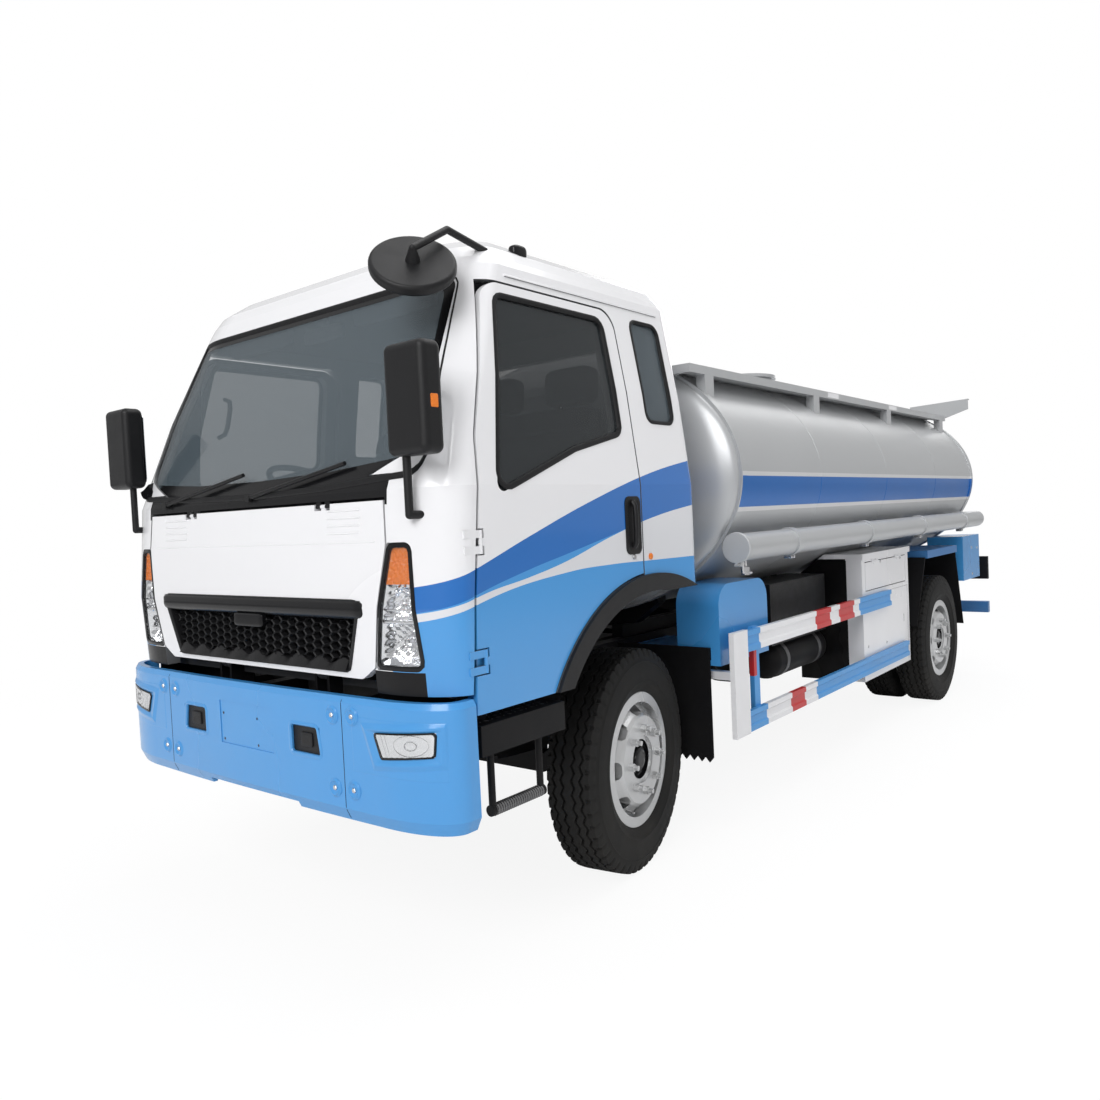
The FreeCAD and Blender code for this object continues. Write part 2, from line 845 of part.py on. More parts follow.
for side_name, side in SIDES:
    turn = Rotation(Z_AXIS, 0 if side > 0 else HALF_TURN)
    outer = turned(f"outer_tyre_{side_name}", tyre_outline())
    inner = turned(f"inner_tyre_{side_name}", tyre_outline())
    outer.Placement = Placement(Vector(side * mm.rear_track / 2, rear_axle, mm.tyre_radius), turn)
    inner.Placement = Placement(
        Vector(side * (mm.rear_track / 2 - mm.dual_spacing), rear_axle, mm.tyre_radius), turn)
    node(joined("Part::Compound", f"tyres_rear_{side_name}", (outer, inner)),
         f"tyres_rear_{side_name}")

    reach = mm.dual_spacing + mm.rim_width / 2
    outer_rim = drilled_rim(f"outer_rim_{side_name}",
                            rim_outline(mm.rear_disc_face, reach, mm.drum_back, reach + mm.spindle_reach,
                                        mm.axle_tube_radius + mm.run_gap), mm.rear_disc_face)
    outer_rim.Placement = outer.Placement
    half = mm.rim_width / 2
    inner_wall = mm.rim_seat_radius - mm.rim_barrel_wall
    flange = half - mm.rim_flange_wall
    web = flange - mm.disc_wall * 2
    inner_rim = turned(f"inner_rim_{side_name}", [
        (-half, inner_wall), (-half, mm.rim_flange_radius - mm.rim_lip),
        (-half + mm.rim_lip, mm.rim_flange_radius), (-flange, mm.rim_flange_radius),
        (-flange, mm.rim_seat_radius), (flange, mm.rim_seat_radius), (flange, mm.rim_flange_radius),
        (half - mm.rim_lip, mm.rim_flange_radius), (half, mm.rim_flange_radius - mm.rim_lip),
        (half, inner_wall), (web, inner_wall), (web, mm.hub_radius),
        (web - mm.disc_wall, mm.hub_radius), (web - mm.disc_wall, inner_wall)])
    inner_rim.Placement = inner.Placement
    node(joined("Part::MultiFuse", f"rims_rear_{side_name}", (outer_rim, inner_rim)),
         f"rims_rear_{side_name}")


# Steering knuckles: a yoke on the kingpin, a spindle into the hub and a dust shield.
def knuckle(side_name, side):
    kingpin = (mm.kingpin_span - mm.front_track) / 2
    shield = -mm.drum_back - mm.shield_gap
    half = mm.kingpin_height / 2
    spindle = Part.makeCylinder(mm.spindle_radius, mm.spindle_reach - shield - mm.seat_gap,
                                Vector(shield, 0, 0), X_AXIS)
    plate = Part.makeCylinder(mm.shield_radius, mm.shield_wall,
                              Vector(shield - mm.shield_wall, 0, 0), X_AXIS)
    stem = block(kingpin, shield, -mm.yoke_radius, mm.yoke_radius, -half, half)
    pin = Part.makeCylinder(mm.kingpin_radius, mm.kingpin_height, Vector(kingpin, 0, -half))
    eyes = [Part.makeCylinder(mm.yoke_radius, mm.yoke_wall, Vector(kingpin, 0, low))
            for low in (-half, half - mm.yoke_wall)]
    gap = mm.boss_height / 2 + mm.seat_gap
    throat = Part.makeCylinder(mm.yoke_radius + mm.yoke_wall / 2, 2 * gap, Vector(kingpin, 0, -gap))
    body = stem.fuse(eyes).cut(throat).fuse([pin, plate, spindle])
    name = f"knuckle_{side_name}"
    piece = doc.addObject("Part::Feature", name)
    piece.Shape = body.removeSplitter()
    piece.Placement = steered(side)
    node(piece, name)


for side_name, side in SIDES:
    knuckle(side_name, side)


# Axles. The front beam drops between its springs and carries the kingpins in its end bosses.
def front_beam():
    end = mm.kingpin_span / 2
    low = mm.tyre_radius - mm.beam_height / 2
    high = mm.tyre_radius + mm.beam_height / 2
    drop = mm.beam_drop_half
    bend = mm.beam_bend
    outline = [(end, low), (end, high), (drop + bend, high, bend / 2),
               (drop, high - mm.beam_drop, bend / 2),
               (-drop, high - mm.beam_drop, bend / 2), (-drop - bend, high, bend / 2), (-end, high),
               (-end, low), (-drop - bend, low, bend / 2), (-drop, low - mm.beam_drop, bend / 2),
               (drop, low - mm.beam_drop, bend / 2), (drop + bend, low, bend / 2)]
    beam = prism(outline, "XZ", -mm.beam_width / 2, mm.beam_width / 2)
    boss_low = mm.tyre_radius - mm.boss_height / 2
    bosses = [Part.makeCylinder(mm.yoke_radius, mm.boss_height, Vector(s * end, 0, boss_low))
              for s in (1, -1)]
    bores = [Part.makeCylinder(mm.kingpin_radius + mm.run_gap, mm.kingpin_height,
                               Vector(s * end, 0, mm.tyre_radius - mm.kingpin_height / 2))
             for s in (1, -1)]
    return beam.fuse(bosses).cut(bores).translated(Vector(0, front_axle, 0))


def rear_housing():
    centre = Vector(0, rear_axle, mm.tyre_radius)
    reach = mm.rear_track / 2 + mm.spindle_reach - mm.seat_gap
    flange_radius = mm.driveshaft_radius + mm.seat_gap
    tube = Part.makeCylinder(mm.axle_tube_radius, 2 * reach, centre - X_AXIS * reach, X_AXIS)
    bowl = Part.makeCylinder(mm.axle_bowl_radius, mm.axle_bowl_width,
                             centre - Y_AXIS * mm.axle_bowl_width / 2, Y_AXIS)
    bowl = bowl.makeFillet(mm.axle_bowl_width / 3, bowl.Edges)
    pinion = Part.makeCylinder(mm.pinion_radius, mm.pinion_reach,
                               centre - Y_AXIS * mm.pinion_reach, Y_AXIS)
    gearbox_end = back(mm.engine_length - mm.engine_ahead + mm.gearbox_length)
    shaft_end = rear_axle - mm.pinion_reach
    shaft_start = Vector(0, gearbox_end + mm.driveshaft_radius, mm.gearbox_base + mm.gearbox_height / 2)
    flange = Part.makeCylinder(flange_radius, mm.driveshaft_radius * 2,
                               shaft_start - Y_AXIS * (mm.driveshaft_radius - mm.seat_gap), Y_AXIS)
    shaft_stop = Vector(0, shaft_end, mm.tyre_radius)
    run = shaft_stop - shaft_start
    shaft = Part.makeCylinder(mm.driveshaft_radius, run.Length, shaft_start, run)
    return tube.fuse([bowl, pinion, shaft, flange])


def leaf_spring(centre_y, half, seat_height, camber):
    """An arched leaf pack with an eye at each end, hung from a bracket on the rail."""
    low = seat_height
    eye_up = seat_height + mm.spring_pack + camber
    pack = []
    leaf = mm.spring_pack / LEAF_COUNT
    for k in range(LEAF_COUNT):
        share = 1 - k / LEAF_COUNT * SHORTEST_LEAF_SHARE
        reach = half * share
        rise = camber * share ** 2
        top = low + mm.spring_pack - k * leaf
        wire = Part.Wire([
            Part.Arc(Vector(0, -reach, top + rise), Vector(0, 0, top),
                     Vector(0, reach, top + rise)).toShape(),
            Part.makeLine(Vector(0, reach, top + rise), Vector(0, reach, top + rise - leaf)),
            Part.Arc(Vector(0, reach, top + rise - leaf), Vector(0, 0, top - leaf),
                     Vector(0, -reach, top + rise - leaf)).toShape(),
            Part.makeLine(Vector(0, -reach, top + rise - leaf), Vector(0, -reach, top + rise))])
        pack.append(Part.Face(wire).extrude(X_AXIS * mm.spring_width))
    spring = pack[0].fuse(pack[1:])
    rail_low = mm.rail_top - mm.rail_height
    for end in (-1, 1):
        eye = Vector(0, end * half, eye_up - leaf / 2)
        spring = spring.fuse([
            Part.makeCylinder(mm.spring_eye, mm.spring_width, eye, X_AXIS),
            block(0, mm.spring_width, end * half - mm.spring_eye, end * half + mm.spring_eye,
                  eye_up - leaf / 2, rail_low)])
    seat = block(0, mm.spring_width, -mm.beam_width / 2, mm.beam_width / 2, low - leaf, low + leaf)
    spring = spring.fuse(seat)
    return spring.translated(Vector(mm.spring_centre - mm.spring_width / 2, centre_y, 0))


front_seat = mm.tyre_radius + mm.beam_height / 2 - mm.beam_drop
axles = Part.makeCompound([front_beam(), rear_housing()])
solid_node(axles, "axles")
leaf = mm.spring_pack / 4
rear_seat = mm.tyre_radius + mm.axle_tube_radius
springs = [leaf_spring(front_axle, mm.front_spring_half, front_seat + leaf, mm.front_spring_camber),
           leaf_spring(rear_axle, mm.rear_spring_half, rear_seat + leaf, mm.rear_spring_camber)]
solid_node(Part.makeCompound([s for spring in springs
                              for s in both_sides(spring).Solids]), "leaf_springs")

# Frame: two channel rails open inwards, and the cross members between them.
low = mm.rail_top - mm.rail_height
web = mm.rail_half_width - mm.rail_wall
lip = mm.rail_half_width - mm.rail_flange
rail = padded("rail_left", "XZ", [[
    (lip, low), (mm.rail_half_width, low), (mm.rail_half_width, mm.rail_top), (lip, mm.rail_top),
    (lip, mm.rail_top - mm.rail_wall), (web, mm.rail_top - mm.rail_wall), (web, low + mm.rail_wall),
    (lip, low + mm.rail_wall)]], "rail_front + wheelbase + rail_rear")
rail.setExpression("Placement.Base.y", linked(f"{FRONT_AXLE} - rail_front"))
pair(rail, "frame_rails")

CROSS_PLACES = ("-rail_front", "gearbox_length + engine_length - engine_ahead + cross_depth",
                "tank_front + cabinet_front / 2", "wheelbase - rear_spring_half - cross_depth",
                "wheelbase + rear_spring_half", "wheelbase + rail_rear - cross_depth")
crosses = [box(f"cross_member_{k}", "2 * (rail_half_width - rail_wall)", "cross_depth",
               "cross_height", "rail_wall - rail_half_width", f"{FRONT_AXLE} + {place}",
               "rail_top - cross_drop - cross_height") for k, place in enumerate(CROSS_PLACES)]
BEAM_SEAT = ("(bumper_wall + seat_gap"
             " + bumper_bow * (beam_half / (bumper_half_width - bumper_corner_width)) ^ 2)")
beam = box("bumper_beam", "2 * beam_half", f"front_reach - rail_front - {BEAM_SEAT}",
           "rail_height", "-beam_half", f"{FRONT_AXLE} - front_reach + {BEAM_SEAT}",
           "rail_top - rail_height")
node(joined("Part::Compound", "cross_members", crosses + [beam]), "cross_members")

# Engine and gearbox, as one plain block of two steps.
engine = box("engine_case", "engine_width", "engine_length", "engine_height",
             "-engine_width / 2", f"{FRONT_AXLE} - engine_ahead", "engine_base")
gearbox = box("gearbox_case", "gearbox_width", "gearbox_length", "gearbox_height",
              "-gearbox_width / 2", f"{FRONT_AXLE} - engine_ahead + engine_length", "gearbox_base")
node(joined("Part::MultiFuse", "engine", (engine, gearbox)), "engine")


# Bumper: a bowed wall that turns back round both corners.
def front_curve(half, nose, corner_width, corner_depth, rear, rear_radius, bow=0):
    """A closed plan outline: bowed front, elliptical front corners and a flat rear."""
    flat = half - corner_width
    share = BEZIER_ARC_SHARE

    def bezier(*poles):
        curve = Part.BezierCurve()
        curve.setPoles([Vector(*p, 0) for p in poles])
        return curve.toShape()

    side_start = nose + corner_depth
    left = bezier((flat, nose + bow), (flat + share * corner_width, nose + bow),
                  (half, side_start - share * corner_depth), (half, side_start))
    right = bezier((-half, side_start), (-half, side_start - share * corner_depth),
                   (-flat - share * corner_width, nose + bow), (-flat, nose + bow))
    if bow:
        front = Part.Arc(Vector(-flat, nose + bow, 0), Vector(0, nose, 0),
                         Vector(flat, nose + bow, 0)).toShape()
    else:
        front = Part.makeLine(Vector(-flat, nose, 0), Vector(flat, nose, 0))
    quarter = rear_radius * (1 - math.sqrt(0.5))
    edges = [front, left]
    edges.append(Part.makeLine(Vector(half, side_start, 0), Vector(half, rear - rear_radius, 0)))
    edges.append(Part.Arc(Vector(half, rear - rear_radius, 0),
                          Vector(half - quarter, rear - quarter, 0),
                          Vector(half - rear_radius, rear, 0)).toShape())
    edges.append(Part.makeLine(Vector(half - rear_radius, rear, 0),
                               Vector(-half + rear_radius, rear, 0)))
    edges.append(Part.Arc(Vector(-half + rear_radius, rear, 0),
                          Vector(-half + quarter, rear - quarter, 0),
                          Vector(-half, rear - rear_radius, 0)).toShape())
    edges.append(Part.makeLine(Vector(-half, rear - rear_radius, 0), Vector(-half, side_start, 0)))
    edges.append(right)
    return Part.Wire(edges)


def bumper():
    nose = -mm.front_reach
    rear = nose + mm.bumper_return
    height = mm.bumper_top - mm.bumper_bottom

    def plan(inset, end):
        wire = front_curve(mm.bumper_half_width - inset, nose + inset,
                           mm.bumper_corner_width - inset, mm.bumper_corner_depth - inset,
                           end, mm.seat_gap, mm.bumper_bow)
        return Part.Face(wire)

    levels = ((0, mm.bumper_foot_inset), (mm.bumper_foot, 0), (height - mm.bumper_shoulder, 0),
              (height, mm.bumper_shoulder_inset))
    wires = [plan(inset, rear).OuterWire.translated(Z_AXIS * up) for up, inset in levels]
    outer = Part.makeLoft(wires, True, True)
    inner = plan(mm.bumper_wall, rear + mm.overrun).extrude(Z_AXIS * height)
    shell = outer.cut(inner).translated(Vector(0, 0, mm.bumper_bottom))
    cuts = [block(mm.window_inner, mm.window_outer, nose - mm.overrun, nose + mm.bumper_wall + mm.overrun,
                  mm.window_low, mm.window_high)]
    cuts.append(block(mm.bumper_seam_x, mm.bumper_seam_x + mm.bumper_seam, nose - mm.overrun,
                      nose + mm.bumper_seam * 2, mm.bumper_bottom, mm.bumper_top))
    cuts.append(block(mm.fog_inner, mm.fog_outer, nose - mm.overrun, nose + mm.bumper_wall + mm.overrun,
                      mm.fog_low, mm.fog_high))
    plate = block(-mm.plate_half_width, mm.plate_half_width, nose - mm.overrun, nose + mm.plate_depth,
                  mm.plate_low, mm.plate_high)
    step = block(-mm.bumper_step_half, mm.bumper_step_half, nose - mm.overrun, rear,
                 mm.bumper_bottom - mm.overrun, mm.bumper_bottom + mm.bumper_step)
    shell = shell.cut([side for cut in cuts for side in both_sides(cut).Solids] + [plate, step])
    return shell.translated(Vector(0, front_axle, 0))


def fog_lamps():
    nose = -mm.front_reach
    inset = mm.fog_recess
    wire = front_curve(mm.bumper_half_width - inset, nose + inset, mm.bumper_corner_width - inset,
                       mm.bumper_corner_depth - inset, nose + mm.bumper_return, mm.seat_gap,
                       mm.bumper_bow)
    body = Part.Face(wire).extrude(Z_AXIS * mm.bumper_top)
    lens = body.common(block(mm.fog_inner, mm.fog_outer, nose - mm.overrun,
                             nose + mm.bumper_wall + mm.fog_recess, mm.fog_low, mm.fog_high))
    return both_sides(lens.translated(Vector(0, front_axle, 0)))


solid_node(bumper(), "bumper")
solid_node(fog_lamps(), "fog_lamps")


# Steps: a tread board with a hoop below it, under each door.
def step():
    board = block(mm.step_inner, mm.step_outer, -mm.step_front, -mm.step_rear,
                  mm.step_top - mm.step_height, mm.step_top)
    top = mm.step_top - mm.step_height
    radius = mm.hoop_radius
    legs = []
    for y in (-mm.hoop_front, -mm.hoop_rear):
        start = Vector(mm.hoop_x, y, top)
        stop = Vector(mm.hoop_x, y, mm.hoop_bottom + mm.hoop_grip_radius)
        legs.append(Part.makeCylinder(radius, (stop - start).Length, start, stop - start))
    grip = Part.makeCylinder(mm.hoop_grip_radius, mm.hoop_front - mm.hoop_rear + 2 * radius,
                             Vector(mm.hoop_x, -mm.hoop_front - radius,
                                    mm.hoop_bottom + mm.hoop_grip_radius), Y_AXIS)
    arm = block(mm.rail_half_width, mm.step_inner, -mm.step_rear - mm.cross_depth, -mm.step_rear,
                mm.step_top - mm.step_height, mm.step_top)
    return both_sides(board.fuse(legs + [grip, arm]).translated(Vector(0, front_axle, 0)))


solid_node(step(), "steps")


# Cab skin: plan outlines at six heights, joined into one body, and offset inwards for walls.
def cab_sections(inset):
    levels = ((mm.cab_low, mm.cab_half_width, mm.cab_nose_low),
              (mm.cab_waist, mm.cab_half_width, mm.cab_nose),
              (mm.cab_belt, mm.cab_half_width, mm.cab_nose_belt),
              (mm.cab_mid, mm.cab_half_width_mid, mm.cab_nose_mid),
              (mm.cab_gutter, mm.cab_half_width_top, mm.cab_nose_top))
    wires = []
    for height, half, nose in levels:
        wire = front_curve(half - inset, -nose + inset, mm.cab_corner_width - inset,
                           mm.cab_corner_depth - inset, mm.cab_rear - inset,
                           max(mm.cab_rear_radius - inset, mm.cab_rear_radius / 4))
        wires.append(wire.translated(Vector(0, front_axle, height)))
    return wires


def cab_block(inset):
    """The cab's outer form below the gutter, drawn in by an inset."""
    return Part.makeLoft(cab_sections(inset), True, True)


def roof_block(inset, levels):
    """The roof's form through heights, each with how far its edge is drawn in."""
    wires = []
    for height, step_in in levels:
        wire = front_curve(mm.cab_half_width_top - inset - step_in,
                           -mm.cab_nose_top + inset + step_in * 0.8,
                           mm.cab_corner_width - inset, mm.cab_corner_depth - inset,
                           mm.cab_rear - inset - step_in * 0.8, mm.cab_rear_radius)
        wires.append(wire.translated(Vector(0, front_axle, height)))
    return Part.makeLoft(wires, True, True)


shoulder_step = mm.roof_step * 1.5
ROOF_LEVELS = ((mm.cab_gutter, 0), (mm.cab_gutter + mm.roof_step, mm.roof_step / 2),
               (mm.roof_shoulder, shoulder_step), (mm.roof_top, mm.roof_inset))
ROOF_INSIDE = ((mm.cab_gutter - mm.seat_gap, 0), (mm.roof_shoulder - mm.roof_wall, shoulder_step),
               (mm.roof_top - mm.roof_wall, mm.roof_inset))
FAR = mm.cab_half_width + mm.overrun * 2
outer_form = cab_block(0)
inner_form = cab_block(mm.cab_wall)
cab_shell = outer_form.cut(inner_form)


def skin(near, far):
    """A layer of the cab's wall between two depths."""
    return cab_block(near).cut(cab_block(far))


def side_prism(points, side=1):
    """A solid seen from the truck's side: points are (back from the front axle, up, radius)."""
    moved = [(back(p[0]),) + tuple(p[1:]) for p in points]
    low, high = (0, FAR) if side > 0 else (-FAR, 0)
    return prism(moved, "YZ", low, high)


def front_prism(points):
    """A solid seen from the front: points are (across, up, radius), both sides mirrored."""
    whole = list(points) + [(-p[0],) + tuple(p[1:]) for p in reversed(points) if p[0] > 0]
    return prism(whole, "XZ", back(-mm.front_reach - mm.overrun), back(-mm.door_front_low / 2))


def door_outline(gap):
    """The door's edge in side view, grown by a gap."""
    return [(-mm.door_front_low - gap, mm.cab_low - mm.overrun), (-mm.door_front_mid - gap, mm.door_mid),
            (-mm.door_front_belt - gap, mm.door_belt, mm.door_radius * 3),
            (-mm.door_front_top - gap, mm.door_top + gap, mm.door_radius),
            (-mm.door_rear + gap, mm.door_top + gap, mm.door_radius),
            (-mm.door_rear + gap, mm.cab_low - mm.overrun)]


def arch(radius):
    """The wheel arch's round opening, right across the cab."""
    return Part.makeCylinder(radius, 2 * FAR, Vector(-FAR, front_axle, mm.arch_centre_height), X_AXIS)


PANE = ((-mm.pane_front_low, mm.pane_low_front, mm.window_radius / 2),
        (-mm.pane_front_high, mm.pane_high, mm.window_radius),
        (-mm.pane_rear, mm.pane_high, mm.window_radius),
        (-mm.pane_rear, mm.pane_low_rear, mm.window_radius),
        (-mm.pane_mid, mm.pane_low_mid, mm.window_radius * 3))
QUARTER = ((mm.quarter_front, mm.quarter_low, mm.window_radius / 2),
           (mm.quarter_front, mm.quarter_high, mm.window_radius / 2),
           (mm.quarter_rear, mm.quarter_high, mm.window_radius),
           (mm.quarter_rear, mm.quarter_low, mm.window_radius))
SCREEN = ((0, mm.screen_dip), (mm.screen_half_low * 0.75, mm.screen_low, mm.window_radius * 2),
          (mm.screen_half_low, mm.screen_corner, mm.window_radius),
          (mm.screen_half_high, mm.screen_high, mm.window_radius))
HOOD = ((mm.hood_half_low, mm.hood_low, mm.window_radius / 2), (mm.hood_half_lamp, mm.hood_lamp),
        (mm.hood_half_mid, mm.hood_mid), (mm.hood_half_high, mm.hood_high))
GRILLE = ((mm.grille_half_low, mm.grille_low, mm.window_radius / 2), (mm.grille_half_high, mm.grille_high))
LAMP = ((mm.hood_half_lamp + mm.panel_gap, mm.lamp_low, mm.panel_gap),
        (mm.lamp_outer_low, mm.lamp_low, mm.window_radius / 2),
        (mm.lamp_outer_high, mm.lamp_high, mm.window_radius / 2),
        (mm.lamp_inner_high, mm.lamp_high, mm.panel_gap))

split_high = mm.cab_gutter + mm.overrun
rear_zone = block(-FAR, FAR, back(mm.back_split), back(mm.cab_rear + mm.overrun),
                  mm.cab_rear_bottom, split_high)
front_edge = side_prism([(-mm.front_reach - mm.overrun, mm.cab_low + mm.panel_gap * 9),
                         (-mm.door_front_low - mm.hinge_seam, mm.cab_low + mm.panel_gap * 9),
                         (-mm.door_front_mid - mm.hinge_seam, mm.door_mid),
                         (-mm.door_front_belt - mm.hinge_seam, mm.door_belt, mm.door_radius * 3),
                         (-mm.door_front_top - mm.hinge_seam, mm.door_top + mm.panel_gap),
                         (-mm.header_back, mm.door_top + mm.panel_gap),
                         (-mm.header_back, split_high),
                         (-mm.front_reach - mm.overrun, split_high)])
front_zone = front_edge.fuse(front_edge.mirror(Vector(), X_AXIS))
front_shell = outer_form.cut(cab_block(mm.hood_wall))


def lamp_prism(points):
    left = prism(list(points), "XZ", back(-mm.front_reach - mm.overrun),
                 back(-mm.cab_nose + mm.lamp_depth * 2))
    return left.fuse(left.mirror(Vector(), X_AXIS))


def back_panel():
    window = prism([(-mm.rear_window_half_width, mm.rear_window_low, mm.window_radius),
                    (mm.rear_window_half_width, mm.rear_window_low, mm.window_radius),
                    (mm.rear_window_half_width, mm.rear_window_high, mm.window_radius),
                    (-mm.rear_window_half_width, mm.rear_window_high, mm.window_radius)],
                   "XZ", back(mm.back_split - mm.overrun), back(mm.cab_rear + mm.overrun))
    return cab_shell.common(rear_zone).cut(window), window


def side_panel():
    zone = side_prism([(-mm.front_reach, mm.cab_low), (0, mm.cab_low), (0, mm.cab_rear_bottom),
                       (mm.back_split, mm.cab_rear_bottom), (mm.back_split, split_high),
                       (-mm.front_reach, split_high)])
    door_hole = side_prism(door_outline(mm.panel_gap)).cut(arch(mm.arch_trim_radius))
    body = cab_shell.common(zone)
    return biggest(carved(body, front_edge, arch(mm.arch_radius), door_hole, side_prism(QUARTER)))


def door_hinge(height):
    """One of a left door's hinges, its axis just inside the skin."""
    point = Vector(mm.cab_half_width - mm.hinge_inset, back(-mm.hinge_back), height)
    across = (-mm.hinge_radius, mm.hinge_inset)
    reach = mm.hinge_length
    return hinge(point, "Z", mm.hinge_length, mm.hinge_radius, mm.hinge_pin,
                 (across, (-reach, 0)), (across, (0, reach / 2)))


door_hinges = [door_hinge(height) for height in (mm.hinge_low, mm.hinge_high)]


def door_panel():
    """A skin with the whole outline over a deeper pan that stands in from it."""
    edge = [(p[0], max(p[1], mm.cab_low)) + tuple(p[2:]) for p in door_outline(0)]
    inner = [(p[0], max(p[1], mm.cab_low + mm.door_step)) + tuple(p[2:])
             for p in door_outline(-mm.door_step)]
    skin_wall = outer_form.cut(cab_block(mm.door_skin))
    pan_wall = cab_block(mm.door_skin).cut(inner_form)
    outer = skin_wall.common(side_prism(edge)).cut(arch(mm.arch_trim_radius + mm.panel_gap))
    pan = pan_wall.common(side_prism(inner)).cut(
        arch(mm.arch_trim_radius + mm.panel_gap + mm.door_step))
    body = biggest(outer).fuse(biggest(pan)).cut(side_prism(PANE))
    for height, (fixed, moving) in zip((mm.hinge_low, mm.hinge_high), door_hinges):
        reach = mm.hinge_length / 2 + mm.hinge_pin
        notch = block(mm.cab_half_width - mm.hinge_inset - mm.hinge_notch, FAR, back(-mm.front_reach),
                      back(mm.hinge_notch - mm.hinge_back), height - reach, height + reach)
        body = body.cut(notch).fuse(moving)
    return biggest(body)


def pane(points):
    layer = skin(mm.glass_inset, mm.glass_inset + mm.glass_wall)
    return biggest(layer.common(side_prism(points)))


back_wall, rear_hole = back_panel()
solid_node(back_wall, "cab_back")
for label, shape in (("cab_side", side_panel()), ("door", door_panel()),
                     ("door_glass", pane(PANE))):
    solid_node(shape, f"{label}_left")
    solid_node(shape.mirror(Vector(), X_AXIS), f"{label}_right")

roof_form = roof_block(0, ROOF_LEVELS)
solid_node(roof_form.cut(roof_block(mm.cab_wall, ROOF_INSIDE)), "cab_roof")


def hood_hinge():
    """One of the two hinges along the front panel's top edge."""
    point = Vector(mm.hood_hinge_x, back(-mm.hood_hinge_back), mm.hood_hinge_height)
    deep = (-mm.hinge_radius / 2, mm.hinge_radius * 1.5)
    reach = mm.hinge_length / 2
    return hinge(point, "X", mm.hinge_length, mm.hinge_radius, mm.hinge_pin,
                 (deep, (0, reach)), (deep, (-reach, 0)))


hood_fixed, hood_moving = hood_hinge()
frame_front = cab_shell.common(front_zone)
hood_grown = ((mm.hood_half_low + mm.panel_gap, mm.hood_low - mm.panel_gap, mm.window_radius / 2),
              (mm.hood_half_lamp + mm.panel_gap, mm.hood_lamp),
              (mm.hood_half_mid + mm.panel_gap, mm.hood_mid),
              (mm.hood_half_high + mm.panel_gap, mm.hood_high + mm.hood_gap))
below_hood = prism([(-mm.hood_half_lamp, mm.cab_low - mm.overrun),
                    (mm.hood_half_lamp, mm.cab_low - mm.overrun),
                    (mm.hood_half_lamp, mm.lamp_low), (-mm.hood_half_lamp, mm.lamp_low)], "XZ",
                   back(-mm.front_reach - mm.overrun), back(-mm.door_front_low / 2))
frame_front = carved(frame_front, front_prism(SCREEN), front_prism(hood_grown), below_hood,
                     lamp_prism(LAMP))
brackets = [s for shape, moving in door_hinges + [(hood_fixed, hood_moving)]
            for s in both_sides(shape).Solids]
solid_node(frame_front.fuse(brackets), "cab_front")

hood = biggest(front_shell.common(front_prism(HOOD)).cut(front_prism(GRILLE)))
notch_reach = mm.hinge_length / 2 + mm.hinge_pin
notch = block(mm.hood_hinge_x - notch_reach, mm.hood_hinge_x + notch_reach, back(-mm.front_reach), back(0),
              mm.hood_hinge_height - mm.hinge_notch, mm.cab_belt)
hood = hood.cut(both_sides(notch)).fuse(both_sides(hood_moving).Solids)
solid_node(hood, "front_panel")


# Grille: a mesh wall with level bars, a proud top bar and a lift handle.
def grille():
    layer = cab_block(mm.grille_wall / 2).cut(cab_block(mm.hood_wall))
    mesh = layer.common(front_prism(GRILLE))
    mesh = biggest(mesh)
    bar_low = mm.grille_high - mm.grille_bar_height
    nose = back(-mm.cab_nose - mm.grille_bar_proud)
    proud = back(-mm.cab_nose) - mm.seat_gap
    reach = mm.grille_half_high + mm.grille_bar_wall
    bar = block(-reach, reach, nose, proud, bar_low, mm.grille_high)
    core = block(-reach, reach, nose, back(-mm.cab_nose + mm.grille_wall), bar_low,
                 mm.grille_high - mm.seat_gap)
    bar = bar.fuse(core.common(front_prism(GRILLE)))
    handle = block(-mm.handle_half_width, mm.handle_half_width, nose, back(-mm.cab_nose + mm.grille_wall),
                   bar_low - mm.handle_height, bar_low)
    span = (bar_low - mm.grille_low) / mm.grille_bars
    ribs = []
    for k in range(1, int(mm.grille_bars)):
        up = mm.grille_low + k * span
        rib = cab_block(mm.rim_lip).cut(cab_block(mm.grille_wall)).common(front_prism(
            ((mm.grille_half_low, up, 0), (mm.grille_half_low, up + mm.grille_bar_wall, 0))))
        ribs.append(biggest(rib))
    return mesh.fuse([bar, handle] + ribs)


solid_node(grille(), "grille")

lamp_layer = cab_block(mm.rim_lip).cut(cab_block(mm.lamp_depth))
lamp_shape = lamp_layer.common(lamp_prism([
    (LAMP[0][0] + mm.seat_gap, LAMP[0][1] + mm.seat_gap, LAMP[0][2]),
    (LAMP[1][0] - mm.seat_gap, LAMP[1][1] + mm.seat_gap, LAMP[1][2]),
    (LAMP[2][0] - mm.seat_gap, LAMP[2][1] - mm.seat_gap, LAMP[2][2]),
    (LAMP[3][0] + mm.seat_gap, LAMP[3][1] - mm.seat_gap, LAMP[3][2])]))
solid_node(lamp_shape, "headlamps")

glass_layer = skin(mm.glass_inset, mm.glass_inset + mm.glass_wall)
screen = glass_layer.common(front_prism(SCREEN))
rear_pane = glass_layer.common(rear_hole)
panes = [biggest(screen), biggest(rear_pane)] + both_sides(pane(QUARTER)).Solids
solid_node(Part.makeCompound(panes), "cab_glass")


